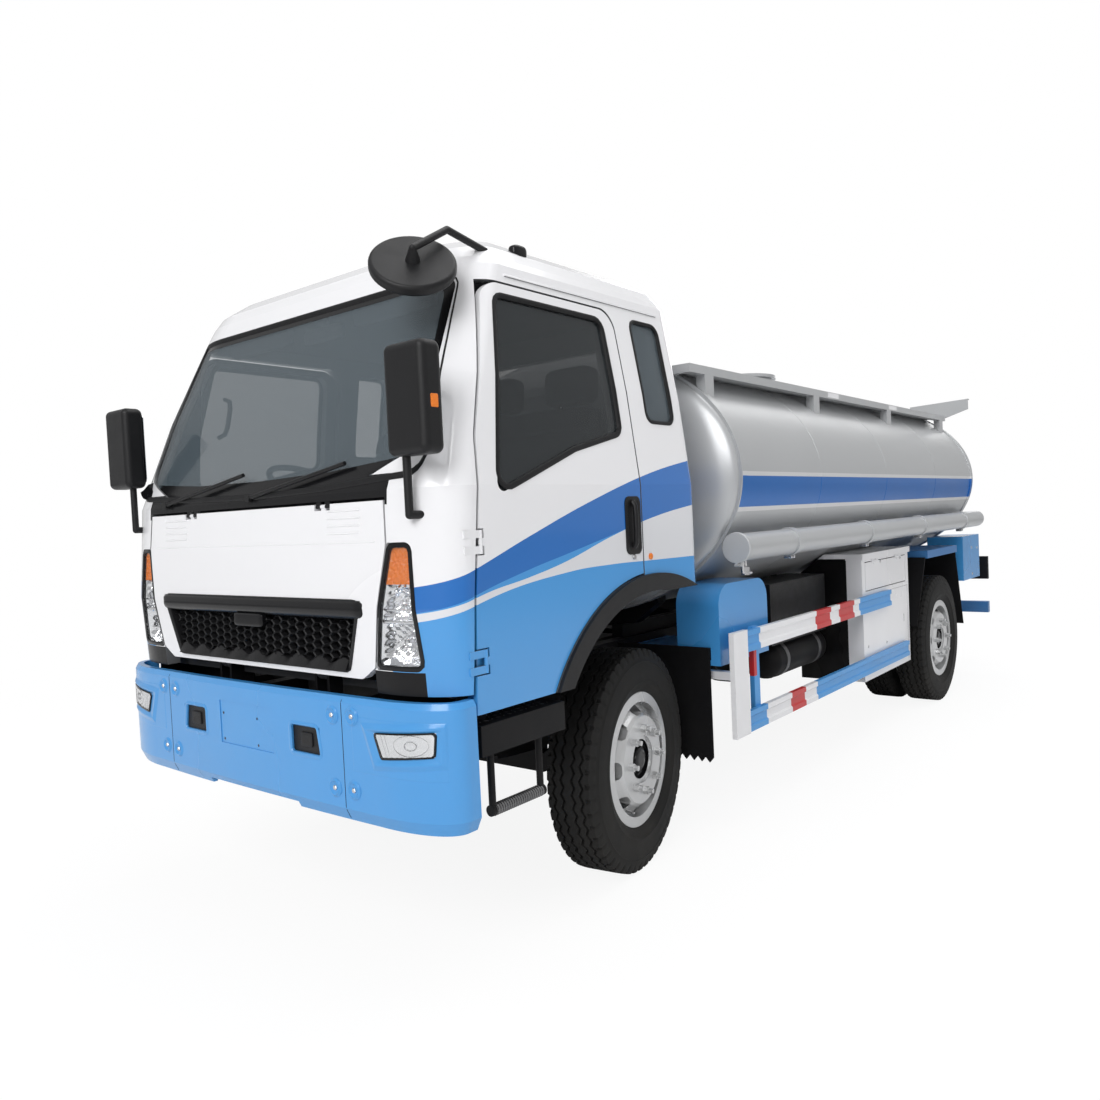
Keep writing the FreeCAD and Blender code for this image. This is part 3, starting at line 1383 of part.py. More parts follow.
# Wheel-arch trim: a flared lip round each front arch, on the cab's side.
def arch_trim():
    half = mm.cab_half_width
    ring = arch(mm.arch_trim_radius).cut(arch(mm.arch_radius - mm.arch_trim_wall))
    band = ring.common(block(half + mm.seat_gap, half + mm.arch_trim_proud, back(-mm.wheelbase),
                             back(mm.cab_rear), mm.cab_low, mm.cab_gutter))
    ring = arch(mm.arch_radius - mm.seat_gap).cut(arch(mm.arch_radius - mm.arch_trim_wall))
    lip = ring.common(block(half - mm.cab_wall, half + mm.arch_trim_proud, back(-mm.wheelbase),
                            back(mm.cab_rear), mm.cab_low, mm.cab_gutter))
    low_rear = block(half - mm.cab_wall * 2, FAR, back(0), back(mm.wheelbase), mm.cab_low - mm.overrun,
                     mm.cab_rear_bottom)
    return both_sides(biggest(band.fuse(lip).cut(low_rear)))


solid_node(arch_trim(), "wheel_arch_trims")

# Cab floor: footwells either side of the engine tunnel, a raised seat deck and a front wall.
INNER = "(cab_half_width - cab_wall - door_sweep)"
floor_parts = []
wall = "floor_wall"
for k, sign in enumerate(("", "-")):
    low_x = "tunnel_half_width" if sign == "" else f"-{INNER}"
    wall_x = "tunnel_half_width - floor_wall" if sign == "" else "-tunnel_half_width"
    floor_parts.append(box(f"footwell_{k}", f"{INNER} - tunnel_half_width",
                           "floor_front - floor_riser", wall, low_x,
                           f"{FRONT_AXLE} - floor_front", "floor_low"))
    floor_parts.append(box(f"tunnel_wall_{k}", wall, "floor_front - floor_riser",
                           "floor_high - floor_low + floor_wall", wall_x,
                           f"{FRONT_AXLE} - floor_front", "floor_low"))
    floor_parts.append(box(f"riser_{k}", f"{INNER} - tunnel_half_width + floor_wall", wall,
                           "floor_high - floor_low + floor_wall",
                           wall_x if sign == "" else f"-{INNER}",
                           f"{FRONT_AXLE} - floor_riser - floor_wall", "floor_low"))
floor_parts.append(box("tunnel_top", "2 * tunnel_half_width", "floor_front - floor_riser", wall,
                       "-tunnel_half_width", f"{FRONT_AXLE} - floor_front", "floor_high"))
floor_parts.append(box("seat_deck", f"2 * {INNER}", "floor_riser + back_split - seat_gap + floor_wall",
                       wall, f"-{INNER}", f"{FRONT_AXLE} - floor_riser - floor_wall", "floor_high"))
floor_parts.append(box("front_wall", "2 * hood_half_high", wall,
                       "firewall_top - floor_high", "-hood_half_high",
                       f"{FRONT_AXLE} - floor_front", "floor_high"))
floor_parts.append(box("cowl_shelf", "2 * hood_half_high",
                       "cab_nose_belt - cab_wall - seat_gap - floor_front + floor_wall", wall,
                       "-hood_half_high", f"{FRONT_AXLE} - cab_nose_belt + cab_wall + seat_gap",
                       "firewall_top - floor_wall"))


def lugs():
    """Tilt lugs under the front wall, bored for the tilt pins."""
    pin_y, pin_z = back(-mm.tilt_pin_back), mm.tilt_pin_height
    shapes = []
    for s in (1, -1):
        start = Vector(s * mm.tilt_lug_x - mm.tilt_lug_width / 2, pin_y, pin_z)
        round_end = Part.makeCylinder(mm.tilt_lug_radius, mm.tilt_lug_width, start, X_AXIS)
        neck = block(start.x, start.x + mm.tilt_lug_width, pin_y, back(-mm.floor_front),
                     pin_z - mm.tilt_lug_radius, pin_z + mm.tilt_lug_radius)
        bore = Part.makeCylinder(mm.tilt_pin_radius + mm.run_gap, mm.tilt_lug_width, start, X_AXIS)
        shapes.append(round_end.fuse(neck).cut(bore))
    return shapes


lug = doc.addObject("Part::Feature", "tilt_lugs")
lug.Shape = Part.makeCompound(lugs())
lug_wall = box("tilt_wall", "2 * tunnel_half_width", wall, "floor_high - floor_low",
               "-tunnel_half_width", f"{FRONT_AXLE} - floor_front", "floor_low")
node(joined("Part::MultiFuse", "cab_floor", floor_parts + [lug_wall, lug]), "cab_floor")


# Cab mounts: the tilt brackets on the rails' front ends and the arch under the cab's rear.
def cab_mounts():
    pin_y, pin_z = back(-mm.tilt_pin_back), mm.tilt_pin_height
    shapes = []
    for s in (1, -1):
        x0 = s * mm.tilt_lug_x - mm.tilt_lug_width / 2
        cheeks = []
        for low_x in (x0 - mm.hanger_wall - mm.seat_gap, x0 + mm.tilt_lug_width + mm.seat_gap):
            cheek = block(low_x, low_x + mm.hanger_wall, pin_y - mm.tilt_lug_radius,
                          pin_y + mm.tilt_lug_radius, mm.rail_top, pin_z)
            head = Part.makeCylinder(mm.tilt_lug_radius, mm.hanger_wall, Vector(low_x, pin_y, pin_z),
                                     X_AXIS)
            cheeks += [cheek, head]
        reach = mm.tilt_lug_width + 2 * (mm.hanger_wall + mm.seat_gap)
        pin = Part.makeCylinder(mm.tilt_pin_radius, reach,
                                Vector(x0 - mm.hanger_wall - mm.seat_gap, pin_y, pin_z), X_AXIS)
        foot = block(x0 - mm.hanger_wall - mm.seat_gap, x0 + mm.tilt_lug_width + mm.seat_gap + mm.hanger_wall,
                     pin_y - mm.tilt_lug_radius, pin_y + mm.tilt_lug_radius, mm.rail_top,
                     mm.rail_top + mm.hanger_wall)
        shapes.append(pin.fuse(cheeks + [foot]))
    y0 = back(mm.cab_prop_back)
    bridge_wall = mm.prop_beam
    y1 = y0 + mm.cab_prop_width
    top = mm.floor_high - mm.seat_gap
    web = mm.rail_half_width
    posts = [block(s * web - mm.rail_flange / 2 - s * mm.rail_flange / 2,
                   s * web + mm.rail_flange / 2 - s * mm.rail_flange / 2, y0, y1, mm.rail_top, top)
             for s in (1, -1)]
    bridge = block(-web, web, y0, y1, top - bridge_wall, top)
    shapes.append(bridge.fuse(posts))
    return Part.makeCompound(shapes)


solid_node(cab_mounts(), "cab_mounts")


# Seats, dashboard, steering wheel.
def seat(centre, width):
    deck = mm.floor_high + mm.floor_wall + mm.seat_gap
    front = -mm.seat_front
    rear = front + mm.cushion_length
    lean = mm.back_lean
    top = deck + mm.cushion_height + mm.back_height
    outline = [(front, deck, mm.seat_radius), (rear + mm.back_wall, deck, mm.seat_radius),
               (rear + mm.back_wall + lean, top, mm.seat_radius), (rear + lean, top, mm.seat_radius),
               (rear, deck + mm.cushion_height, mm.seat_radius), 
               (front, deck + mm.cushion_height, mm.seat_radius)]
    moved = [(back(p[0]),) + p[1:] for p in outline]
    return prism(moved, "YZ", centre - width / 2, centre + width / 2)


solid_node(Part.makeCompound([seat(-mm.seat_x, mm.seat_width), seat(mm.bench_x, mm.bench_width)]), "seats")

dash_front = -mm.floor_front + mm.floor_wall + mm.seat_gap
dash_outline = [(dash_front, mm.dash_low), (dash_front + mm.dash_depth * 0.7, mm.dash_low, mm.dash_radius),
                (dash_front + mm.dash_depth, mm.dash_high - mm.dash_radius, mm.dash_radius),
                (dash_front + mm.dash_depth * 0.7, mm.dash_high, mm.dash_radius),
                (dash_front, mm.dash_high)]
dash_reach = mm.hood_half_high
solid_node(prism([(back(p[0]),) + p[1:] for p in dash_outline], "YZ", -dash_reach, dash_reach), "dashboard")


def steering_wheel():
    tilt = Rotation(X_AXIS, -mm.wheel_tilt)
    drop = mm.wheel_up - mm.floor_low - mm.floor_wall - mm.column_radius
    lean = math.radians(mm.wheel_tilt)
    length = drop / math.cos(lean)
    ring = Part.makeTorus(mm.wheel_rim_radius, mm.wheel_grip_radius)
    hub = Part.makeCylinder(mm.wheel_hub_radius, mm.wheel_hub_height, Vector(0, 0, -mm.wheel_hub_height))
    column = Part.makeCylinder(mm.column_radius, length, Vector(0, 0, -length))
    spokes = []
    for angle in (0, 120, 240):
        way = Rotation(Z_AXIS, 90 + angle).multVec(X_AXIS)
        spokes.append(Part.makeCylinder(mm.wheel_spoke_radius, mm.wheel_rim_radius,
                                        Vector(0, 0, -mm.wheel_spoke_radius), way))
    shape = hub.fuse([column] + spokes + [ring])
    shape.Placement = Placement(Vector(-mm.wheel_x, back(-mm.wheel_back), mm.wheel_up), tilt)
    foot_base = mm.floor_low + mm.floor_wall + mm.seat_gap
    foot = Part.makeCylinder(mm.column_foot_radius, mm.column_foot_radius,
                             Vector(-mm.wheel_x, back(-mm.wheel_back) - drop * math.tan(lean), foot_base))
    return shape.fuse(foot)


solid_node(steering_wheel(), "steering_wheel")


# Mirrors: a tall housing on an upright arm at each front corner, and a round one on the roof.
def door_mirror():
    x0 = mm.mirror_x - mm.mirror_width / 2
    housing = block(x0, x0 + mm.mirror_width, -mm.mirror_front, -mm.mirror_front + mm.mirror_depth,
                    mm.mirror_low, mm.mirror_high)
    housing = housing.makeFillet(mm.mirror_radius, housing.Edges)
    arm_y = -mm.mirror_front + mm.mirror_depth / 2
    arm_x = mm.mirror_x - mm.mirror_width / 4
    post = Part.makeCylinder(mm.mirror_arm_radius, mm.mirror_low + mm.mirror_radius - mm.mirror_arm_low,
                             Vector(arm_x, arm_y, mm.mirror_arm_low))
    root = Vector(mm.cab_half_width - mm.cab_corner_width / 3, -mm.mirror_root_back, mm.mirror_arm_low)
    start = Vector(arm_x, arm_y, mm.mirror_arm_low)
    bar = Part.makeCylinder(mm.mirror_arm_radius, (root - start).Length, start, root - start)
    knee = Part.makeSphere(mm.mirror_arm_radius, start)
    shape = housing.fuse([post, bar, knee]).translated(Vector(0, front_axle, 0))
    return shape.cut(outer_form)


def round_mirror():
    """A disc that leans forwards and outwards, on a boss and a bent arm from the roof."""
    tilt, heading = math.radians(mm.round_mirror_tilt), math.radians(mm.round_mirror_heading)
    facing = Vector(math.sin(tilt) * math.sin(heading), -math.sin(tilt) * math.cos(heading),
                    math.cos(tilt))
    centre = Vector(mm.round_mirror_x, -mm.round_mirror_y, mm.round_mirror_z)
    disc = Part.makeCylinder(mm.round_mirror_radius, mm.round_mirror_height)
    disc = disc.makeFillet(mm.round_mirror_height / 3, [disc.Edges[0], disc.Edges[2]])
    disc.Placement = Placement(centre - facing * mm.round_mirror_height, Rotation(Z_AXIS, facing))
    boss = Part.makeCone(mm.round_boss_radius, mm.round_arm_radius, mm.round_boss_height,
                         centre - facing, facing)
    top = centre + facing * mm.round_boss_height
    knee = Vector(mm.round_mirror_x + mm.round_boss_radius, -mm.round_arm_knee, mm.round_arm_top)
    root = Vector(mm.cab_half_width_top - mm.roof_inset / 2, -mm.round_arm_root,
                  mm.cab_gutter + mm.roof_step)
    bars = [Part.makeCylinder(mm.round_arm_radius, (b - a).Length, a, b - a)
            for a, b in ((top, knee), (knee, root))]
    bends = [Part.makeSphere(mm.round_arm_radius, bend) for bend in (top, knee)]
    shape = disc.fuse([boss] + bars + bends)
    return shape.translated(Vector(0, front_axle, 0)).cut(roof_form)


side_mirror = door_mirror()
side_mirror = biggest(side_mirror)
mirror_shapes = [side_mirror, side_mirror.mirror(Vector(), X_AXIS), biggest(round_mirror())]
solid_node(Part.makeCompound(mirror_shapes), "mirrors")


def screen_point(x, up):
    """A point just ahead of the windscreen's outer face at a height."""
    share = (up - mm.cab_belt) / (mm.cab_mid - mm.cab_belt)
    nose = mm.cab_nose_belt + (mm.cab_nose_mid - mm.cab_nose_belt) * share
    return Vector(x, back(-nose) - mm.wiper_gap, up)


def wipers():
    shapes = []
    for start_x in (-mm.wiper_x, 0):
        start = screen_point(start_x, mm.screen_dip)
        stop = screen_point(start_x + mm.wiper_length, mm.screen_low + mm.window_radius)
        arm = Part.makeCylinder(mm.wiper_radius, (stop - start).Length, start, stop - start)
        foot_radius = mm.wiper_radius * 2
        seat_y = screen_point(start_x, mm.cab_belt).y + mm.wiper_gap - 2 * mm.seat_gap
        foot = Part.makeCylinder(foot_radius, seat_y - start.y + mm.wiper_radius,
                                 start - Y_AXIS * mm.wiper_radius, Y_AXIS)
        shapes.append(arm.fuse(foot))
    return Part.makeCompound(shapes)


solid_node(wipers(), "wipers")


# Tank: an elliptical barrel with dished ends behind raised end rims.
def ellipse_wire(half_width, half_height, y):
    curve = Part.Ellipse(Vector(), half_width, half_height)
    wire = Part.Wire([curve.toShape()])
    wire.Placement = Placement(Vector(0, y, mm.tank_centre_height), Rotation(X_AXIS, QUARTER_TURN))
    return wire


def ellipse_bar(grow, y0, y1):
    face = Part.Face(ellipse_wire(mm.tank_half_width + grow, mm.tank_half_height + grow, back(y0)))
    return face.extrude(Y_AXIS * (y1 - y0))


def tank_rims(gap):
    """The two raised rims, grown by a gap."""
    grow = mm.tank_lip + gap
    return Part.makeCompound([
        ellipse_bar(grow, mm.tank_front - gap, mm.tank_front + mm.tank_rim + gap),
        ellipse_bar(grow, mm.tank_rear - mm.tank_rim - gap, mm.tank_rear + gap)])


def dished_end(y):
    """A shallow dome from an ellipsoid, scaled to the tank's outline."""
    ball = Part.makeSphere(1)
    scale = FreeCAD.Matrix()
    scale.scale(mm.tank_half_width - mm.tank_lip, mm.tank_dish, mm.tank_half_height - mm.tank_lip)
    dome = ball.transformGeometry(scale)
    dome = dome.translated(Vector(0, back(y), mm.tank_centre_height))
    return dome


def tank():
    barrel = ellipse_bar(0, mm.tank_front, mm.tank_rear)
    return barrel.fuse(tank_rims(0).Solids + [dished_end(mm.tank_front), dished_end(mm.tank_rear)])


def manhole():
    """The neck with its hinge bracket, and the lid that swings up on it."""
    centre = Vector(0, back(mm.manhole_y), 0)
    base = mm.manhole_top + mm.seat_gap
    neck_low = mm.tank_centre_height + mm.tank_half_height - mm.manhole_lid_wall * 2
    neck = Part.makeCylinder(mm.manhole_radius, mm.manhole_top - neck_low,
                             centre + Z_AXIS * neck_low)
    lid = Part.makeCylinder(mm.manhole_lid_radius, mm.manhole_lid_wall, centre + Z_AXIS * base)
    dome = Part.makeCone(mm.manhole_lid_radius * 0.7, mm.manhole_lid_radius * 0.3, mm.manhole_dome,
                         centre + Z_AXIS * (base + mm.manhole_lid_wall))
    pin = centre + Vector(0, mm.manhole_lid_radius + mm.manhole_hinge_back,
                          base + mm.manhole_lid_wall / 2)
    radius = mm.manhole_hinge_radius
    fixed, moving = hinge(
        pin, "X", mm.manhole_hinge_length, radius, mm.manhole_hinge_pin,
        ((-radius / 2, radius), (neck_low - pin.z, 0)),
        ((-2 * mm.manhole_hinge_back, 0), (-mm.manhole_lid_wall / 2, mm.manhole_lid_wall / 2)))
    return neck.fuse(fixed), lid.fuse([dome, moving])


tank_shape = tank()
neck, lid = manhole()
solid_node(tank_shape.fuse(neck), "tank")
solid_node(lid, "manhole_lid")


# Saddles: cradles between the rails and the tank's underside.
def saddles():
    span = mm.tank_rear - mm.tank_front - mm.saddle_length - 2 * mm.tank_rim
    shapes = []
    lower = ellipse_bar(mm.seat_gap, mm.tank_front - mm.overrun, mm.tank_rear + mm.overrun)
    for k in range(int(mm.saddle_count)):
        y0 = back(mm.tank_front + mm.tank_rim + k * span / (mm.saddle_count - 1))
        foot = mm.rail_top + mm.subframe_wall
        outline = [(-mm.saddle_foot, foot), (mm.saddle_foot, foot),
                   (mm.saddle_reach, foot + mm.saddle_rise),
                   (mm.saddle_reach, foot + 2 * mm.saddle_rise),
                   (-mm.saddle_reach, foot + 2 * mm.saddle_rise),
                   (-mm.saddle_reach, foot + mm.saddle_rise)]
        shapes.append(prism(outline, "XZ", y0, y0 + mm.saddle_length))
    beams = [block(s * mm.saddle_half_width - mm.subframe_wall / 2,
                   s * mm.saddle_half_width + mm.subframe_wall / 2,
                   back(mm.tank_front), back(mm.tank_rear), mm.rail_top, mm.rail_top + mm.subframe_wall)
             for s in (1, -1)]
    body = beams[0].fuse([beams[1]] + shapes)
    return carved(body, lower, tank_rims(mm.seat_gap))


solid_node(saddles(), "tank_saddles")


# Walkway decks on top of the tank, with their posts, front bar and the rear ladder.
def walkway():
    top = mm.deck_top
    low = top - mm.deck_height
    shapes = []
    for s in (1, -1):
        rail = block(min(s * mm.deck_outer, s * (mm.deck_outer - mm.deck_post_depth)),
                     max(s * mm.deck_outer, s * (mm.deck_outer - mm.deck_post_depth)),
                     back(mm.deck_front), back(mm.deck_rear), low, top)
        plate = block(min(s * mm.deck_outer, s * mm.deck_inner), max(s * mm.deck_outer, s * mm.deck_inner),
                      back(mm.deck_front), back(mm.deck_rear), top - mm.deck_wall * 3,
                      top - mm.deck_wall * 2)
        shapes += [rail, plate]
        step_y = (mm.deck_rear_post - mm.deck_front_post) / (mm.deck_posts - 1)
        for k in range(int(mm.deck_posts)):
            y = back(mm.deck_front_post + k * step_y)
            shapes.append(block(min(s * mm.deck_outer, s * (mm.deck_outer - mm.deck_post_depth)),
                                max(s * mm.deck_outer, s * (mm.deck_outer - mm.deck_post_depth)),
                                y - mm.deck_post_width / 2, y + mm.deck_post_width / 2,
                                mm.tank_centre_height, low))
    front = block(-mm.deck_outer, mm.deck_outer, back(mm.deck_front - mm.deck_height), back(mm.deck_front),
                  low, top)
    shapes.append(front)
    body = shapes[0].fuse(shapes[1:])
    return carved(body, ellipse_bar(mm.seat_gap, mm.tank_front, mm.tank_rear), tank_rims(mm.seat_gap),
                  dished_end(mm.tank_front))


solid_node(biggest(walkway()), "walkway")


def rear_wings():
    outline = [(mm.wing_root, mm.wing_root_top), (mm.wing_root, mm.wing_root_low),
               (mm.deck_outer, mm.wing_root_low), (mm.wing_tip, mm.wing_tip_low),
               (mm.wing_tip, mm.wing_top)]
    plate = prism(outline, "XZ", back(mm.wing_back), back(mm.wing_back + mm.wing_wall))
    fold = prism([(mm.wing_root, mm.wing_root_top - mm.wing_wall),
                  (mm.wing_tip, mm.wing_top - mm.wing_wall),
                  (mm.wing_tip, mm.wing_top), (mm.wing_root, mm.wing_root_top)], "XZ",
                 back(mm.wing_back), back(mm.wing_back + mm.wing_fold))
    body = plate.fuse(fold)
    lip = mm.tank_lip + mm.seat_gap
    return both_sides(biggest(body.cut(ellipse_bar(lip, mm.tank_front, mm.tank_rear + mm.overrun))))


solid_node(rear_wings(), "rear_wings")


def ladder():
    y0 = back(mm.tank_rear + mm.tank_dish + mm.ladder_gap)
    bar = mm.ladder_bar
    top = mm.tank_centre_height + mm.tank_half_height
    stiles = [block(s * mm.ladder_half_width - bar / 2, s * mm.ladder_half_width + bar / 2,
                    y0, y0 + bar, mm.ladder_low, top) for s in (1, -1)]
    pitch = (top - mm.ladder_low) / (mm.ladder_rungs + 1)
    rungs = [block(-mm.ladder_half_width, mm.ladder_half_width, y0, y0 + bar,
                   mm.ladder_low + (k + 1) * pitch - bar / 2, mm.ladder_low + (k + 1) * pitch + bar / 2)
             for k in range(int(mm.ladder_rungs))]
    arms = []
    for up in (mm.ladder_low + pitch, top - pitch / 2):
        for s in (1, -1):
            arms.append(block(s * mm.ladder_half_width - bar / 2, s * mm.ladder_half_width + bar / 2,
                              back(mm.tank_rear - mm.tank_rim), y0 + bar, up - bar / 2, up + bar / 2))
    body = stiles[0].fuse([stiles[1]] + rungs + arms)
    return body.cut(tank_shape)


solid_node(ladder(), "rear_ladder")


# Hose tubes along both flanks, with clamps to the tank and a hinged cap on each front end.
def hose_tube():
    start = Vector(mm.hose_x, back(mm.hose_front), mm.hose_z)
    length = mm.hose_rear - mm.hose_front
    tube = Part.makeCylinder(mm.hose_radius, length, start, Y_AXIS)
    hollow = Part.makeCylinder(mm.hose_radius - mm.hose_wall, length - mm.hose_wall, start, Y_AXIS)
    tube = tube.cut(hollow)
    step_y = length / mm.hose_clamp_count
    shapes = []
    for k in range(int(mm.hose_clamp_count)):
        y0 = back(mm.hose_front) + (k + 0.5) * step_y
        ring = Part.makeCylinder(mm.hose_radius + mm.hose_clamp_wall, mm.hose_clamp_width,
                                 Vector(mm.hose_x, y0, mm.hose_z), Y_AXIS)
        arm = block(mm.hose_x - mm.hose_radius * 3, mm.hose_x, y0, y0 + mm.hose_clamp_width,
                    mm.hose_z - mm.hose_clamp_width, mm.hose_z + mm.hose_clamp_width)
        shapes.append(ring.fuse(arm))
    body = tube.fuse([s.cut(hollow) for s in shapes])
    body = body.cut(ellipse_bar(mm.seat_gap, mm.tank_front - mm.overrun, mm.tank_rear + mm.overrun))
    return biggest(body)


def hose_cap():
    """The disc on a tube's front end and the hinge below it."""
    front = back(mm.hose_front)
    radius = mm.hose_radius + mm.hose_clamp_wall
    disc = Part.makeCylinder(radius, mm.hose_cap_wall,
                             Vector(mm.hose_x, front - mm.seat_gap - mm.hose_cap_wall, mm.hose_z), Y_AXIS)
    rim = [e for e in disc.Edges if e.BoundBox.YMax < front - mm.hose_cap_wall]
    disc = disc.makeFillet(mm.hose_cap_wall / 3, rim)
    point = Vector(mm.hose_x, front, mm.hose_z - mm.hose_hinge_drop)
    up = mm.hose_hinge_drop - mm.hose_radius
    fixed, moving = hinge(point, "X", mm.hose_hinge_length, mm.hinge_radius, mm.hose_hinge_pin,
                          ((0, mm.hinge_radius * 1.5), (0, up + mm.hose_wall / 2)),
                          ((-mm.hose_cap_wall - mm.seat_gap, -mm.seat_gap), (0, 2 * up)))
    return fixed, disc.fuse(moving)


hose_fixed, hose_moving = hose_cap()
tube_shape = hose_tube().fuse(hose_fixed)
solid_node(both_sides(tube_shape), "hose_tubes")
solid_node(hose_moving, "hose_cap_left")
solid_node(hose_moving.mirror(Vector(), X_AXIS), "hose_cap_right")


# Side guards: channel rails on posts, with arms to the frame.
def guards():
    outer, wall = mm.guard_outer, mm.guard_wall
    rails = []
    for low, high, rear in ((mm.guard_upper_low, mm.guard_upper_high, mm.guard_upper_rear),
                            (mm.guard_lower_low, mm.guard_lower_high, mm.guard_lower_rear)):
        lip = (high - low) / 4
        outline = [(outer - wall, low), (outer, low), (outer, low + lip),
                   (outer - wall / 3, low + lip * 1.3),
                   (outer - wall / 3, high - lip * 1.3), (outer, high - lip), (outer, high),
                   (outer - wall, high)]
        rails.append(prism(outline, "XZ", back(mm.guard_front + mm.guard_post_width), back(rear)))
    post = block(outer - wall, outer, back(mm.guard_front), back(mm.guard_front + mm.guard_post_width),
                 mm.guard_post_low, mm.guard_post_top)
    strut = block(outer - wall * 2, outer - wall, back(mm.guard_bar_front),
                  back(mm.guard_bar_front) + mm.guard_bar_width, mm.guard_post_low, mm.guard_post_top)
    arms = [block(mm.rail_half_width, outer - wall, back(mm.guard_front) + mm.guard_bar_width,
                  back(mm.guard_front) + mm.guard_bar_width + mm.guard_arm,
                  mm.rail_top - mm.rail_height + mm.guard_arm,
                  mm.rail_top - mm.rail_height + 2 * mm.guard_arm)]
    return rails, post.fuse(arms), strut


rails, post, strut = guards()
solid_node(Part.makeCompound([s for r in rails for s in both_sides(r).Solids]), "side_guard_rails")
solid_node(Part.makeCompound([s for r in (post, strut) for s in both_sides(r).Solids]), "side_guard_posts")


# Cabinet on the left flank, hollow, with a top-hinged flap above the guard rail.
def cabinet():
    """A hollow case whose inner shoulder slopes clear of the tank, its lid and its flap."""
    x0, x1, wall = mm.cabinet_inner, mm.cabinet_outer, mm.cabinet_wall
    y0, y1 = back(mm.cabinet_front), back(mm.cabinet_rear)

    def form(inset):
        outline = [(x0 + inset, mm.cabinet_low + inset), (x1 - inset, mm.cabinet_low + inset),
                   (x1 - inset, mm.cabinet_high - inset), (mm.cabinet_shoulder + inset,
                                                           mm.cabinet_high - inset),
                   (x0 + inset, mm.cabinet_bend - inset)]
        return prism(outline, "XZ", y0 + inset, y1 - inset)

    hole = block(x1 - mm.overrun, x1 + mm.overrun, y0 + mm.flap_margin, y1 - mm.flap_margin,
                 mm.flap_low, mm.flap_high)
    lid = block(mm.cabinet_shoulder, x1 + wall, y0 - wall, y1 + wall, mm.cabinet_high - mm.cabinet_lid,
                mm.cabinet_high)
    low = mm.rail_top - mm.rail_height + mm.guard_arm
    arms = [block(mm.rail_half_width, x0 + wall, y, y + mm.guard_bar_width, low, mm.rail_top - mm.guard_arm)
            for y in (y0 + mm.flap_margin, y1 - mm.flap_margin - mm.guard_bar_width)]
    case = carved(form(0).fuse([lid] + arms), form(wall), hole)
    flap = block(x1 - wall, x1, y0 + mm.flap_margin + mm.flap_gap, y1 - mm.flap_margin - mm.flap_gap,
                 mm.flap_low + mm.flap_gap, mm.flap_high - mm.flap_gap)
    radius = mm.flap_hinge_radius
    seat = (-radius - mm.seat_gap * 2, mm.flap_leaf - radius)
    span = mm.cabinet_rear - mm.cabinet_front
    for y in (y0 + span / 4, y1 - span / 4):
        point = Vector(x1 + radius + mm.seat_gap, y, mm.flap_high - mm.flap_gap / 2)
        fixed, moving = hinge(point, "Y", mm.flap_hinge_length, radius, mm.flap_hinge_pin,
                              (seat, (0, radius * 3)), (seat, (-radius * 4, 0)))
        case, flap = case.fuse(fixed), flap.fuse(moving)
    return case, flap


case_shape, flap_shape = cabinet()
solid_node(case_shape, "cabinet")
solid_node(flap_shape, "cabinet_flap")

# Boxes, tanks and lockers on the frame's flanks.
def flank_box(x0, x1, y0, y1, low, high, radius):
    outline = [(x0, low, radius), (x1, low, radius), (x1, high, radius), (x0, high, radius)]
    return prism(outline, "XZ", back(y0), back(y1))


battery = block(mm.battery_inner, mm.battery_outer, back(mm.battery_front), back(mm.battery_rear),
                mm.battery_low, mm.battery_high)
battery_arm = block(mm.rail_half_width, mm.battery_inner, back(mm.battery_front), back(mm.battery_rear),
                    mm.battery_low, mm.rail_top - mm.guard_arm)
solid_node(battery.fuse(battery_arm), "battery_box")
fuel = flank_box(-mm.fuel_outer, -mm.fuel_inner, mm.fuel_front, mm.fuel_rear, mm.fuel_low, mm.fuel_high,
                 mm.fuel_radius)
fuel_arm = block(-mm.fuel_inner - mm.fuel_radius, -mm.rail_half_width,
                 back(mm.fuel_front) + mm.guard_bar_width,
                 back(mm.fuel_rear) - mm.guard_bar_width, mm.rail_top - mm.rail_height + mm.guard_arm,
                 mm.rail_top - mm.guard_arm)
solid_node(fuel.fuse(fuel_arm), "fuel_tank")
locker_outline = [(back(mm.locker_front), mm.locker_low), (back(mm.locker_rear), mm.locker_low),
                  (back(mm.locker_rear), mm.locker_high, mm.locker_radius),
                  (back(mm.locker_front), mm.locker_high, mm.locker_radius)]
locker = prism(locker_outline, "YZ", mm.locker_inner, mm.locker_outer)
locker_arm = block(mm.rail_half_width, mm.locker_inner, back(mm.locker_front) + mm.guard_bar_width,
                   back(mm.locker_rear) - mm.guard_bar_width, mm.locker_low, mm.rail_top - mm.guard_arm)
rear_box = block(mm.rear_box_inner, mm.rear_box_outer, back(mm.rear_box_front), back(mm.rear_box_rear),
                 mm.rear_box_low, mm.rear_box_high)
rear_box_arm = block(mm.rail_half_width, mm.rear_box_inner, back(mm.rear_box_front) + mm.guard_bar_width,
                     back(mm.rear_box_rear) - mm.guard_bar_width, mm.rear_box_low, mm.rail_top)
solid_node(Part.makeCompound([locker.fuse(locker_arm), rear_box.fuse(rear_box_arm)]), "lockers")

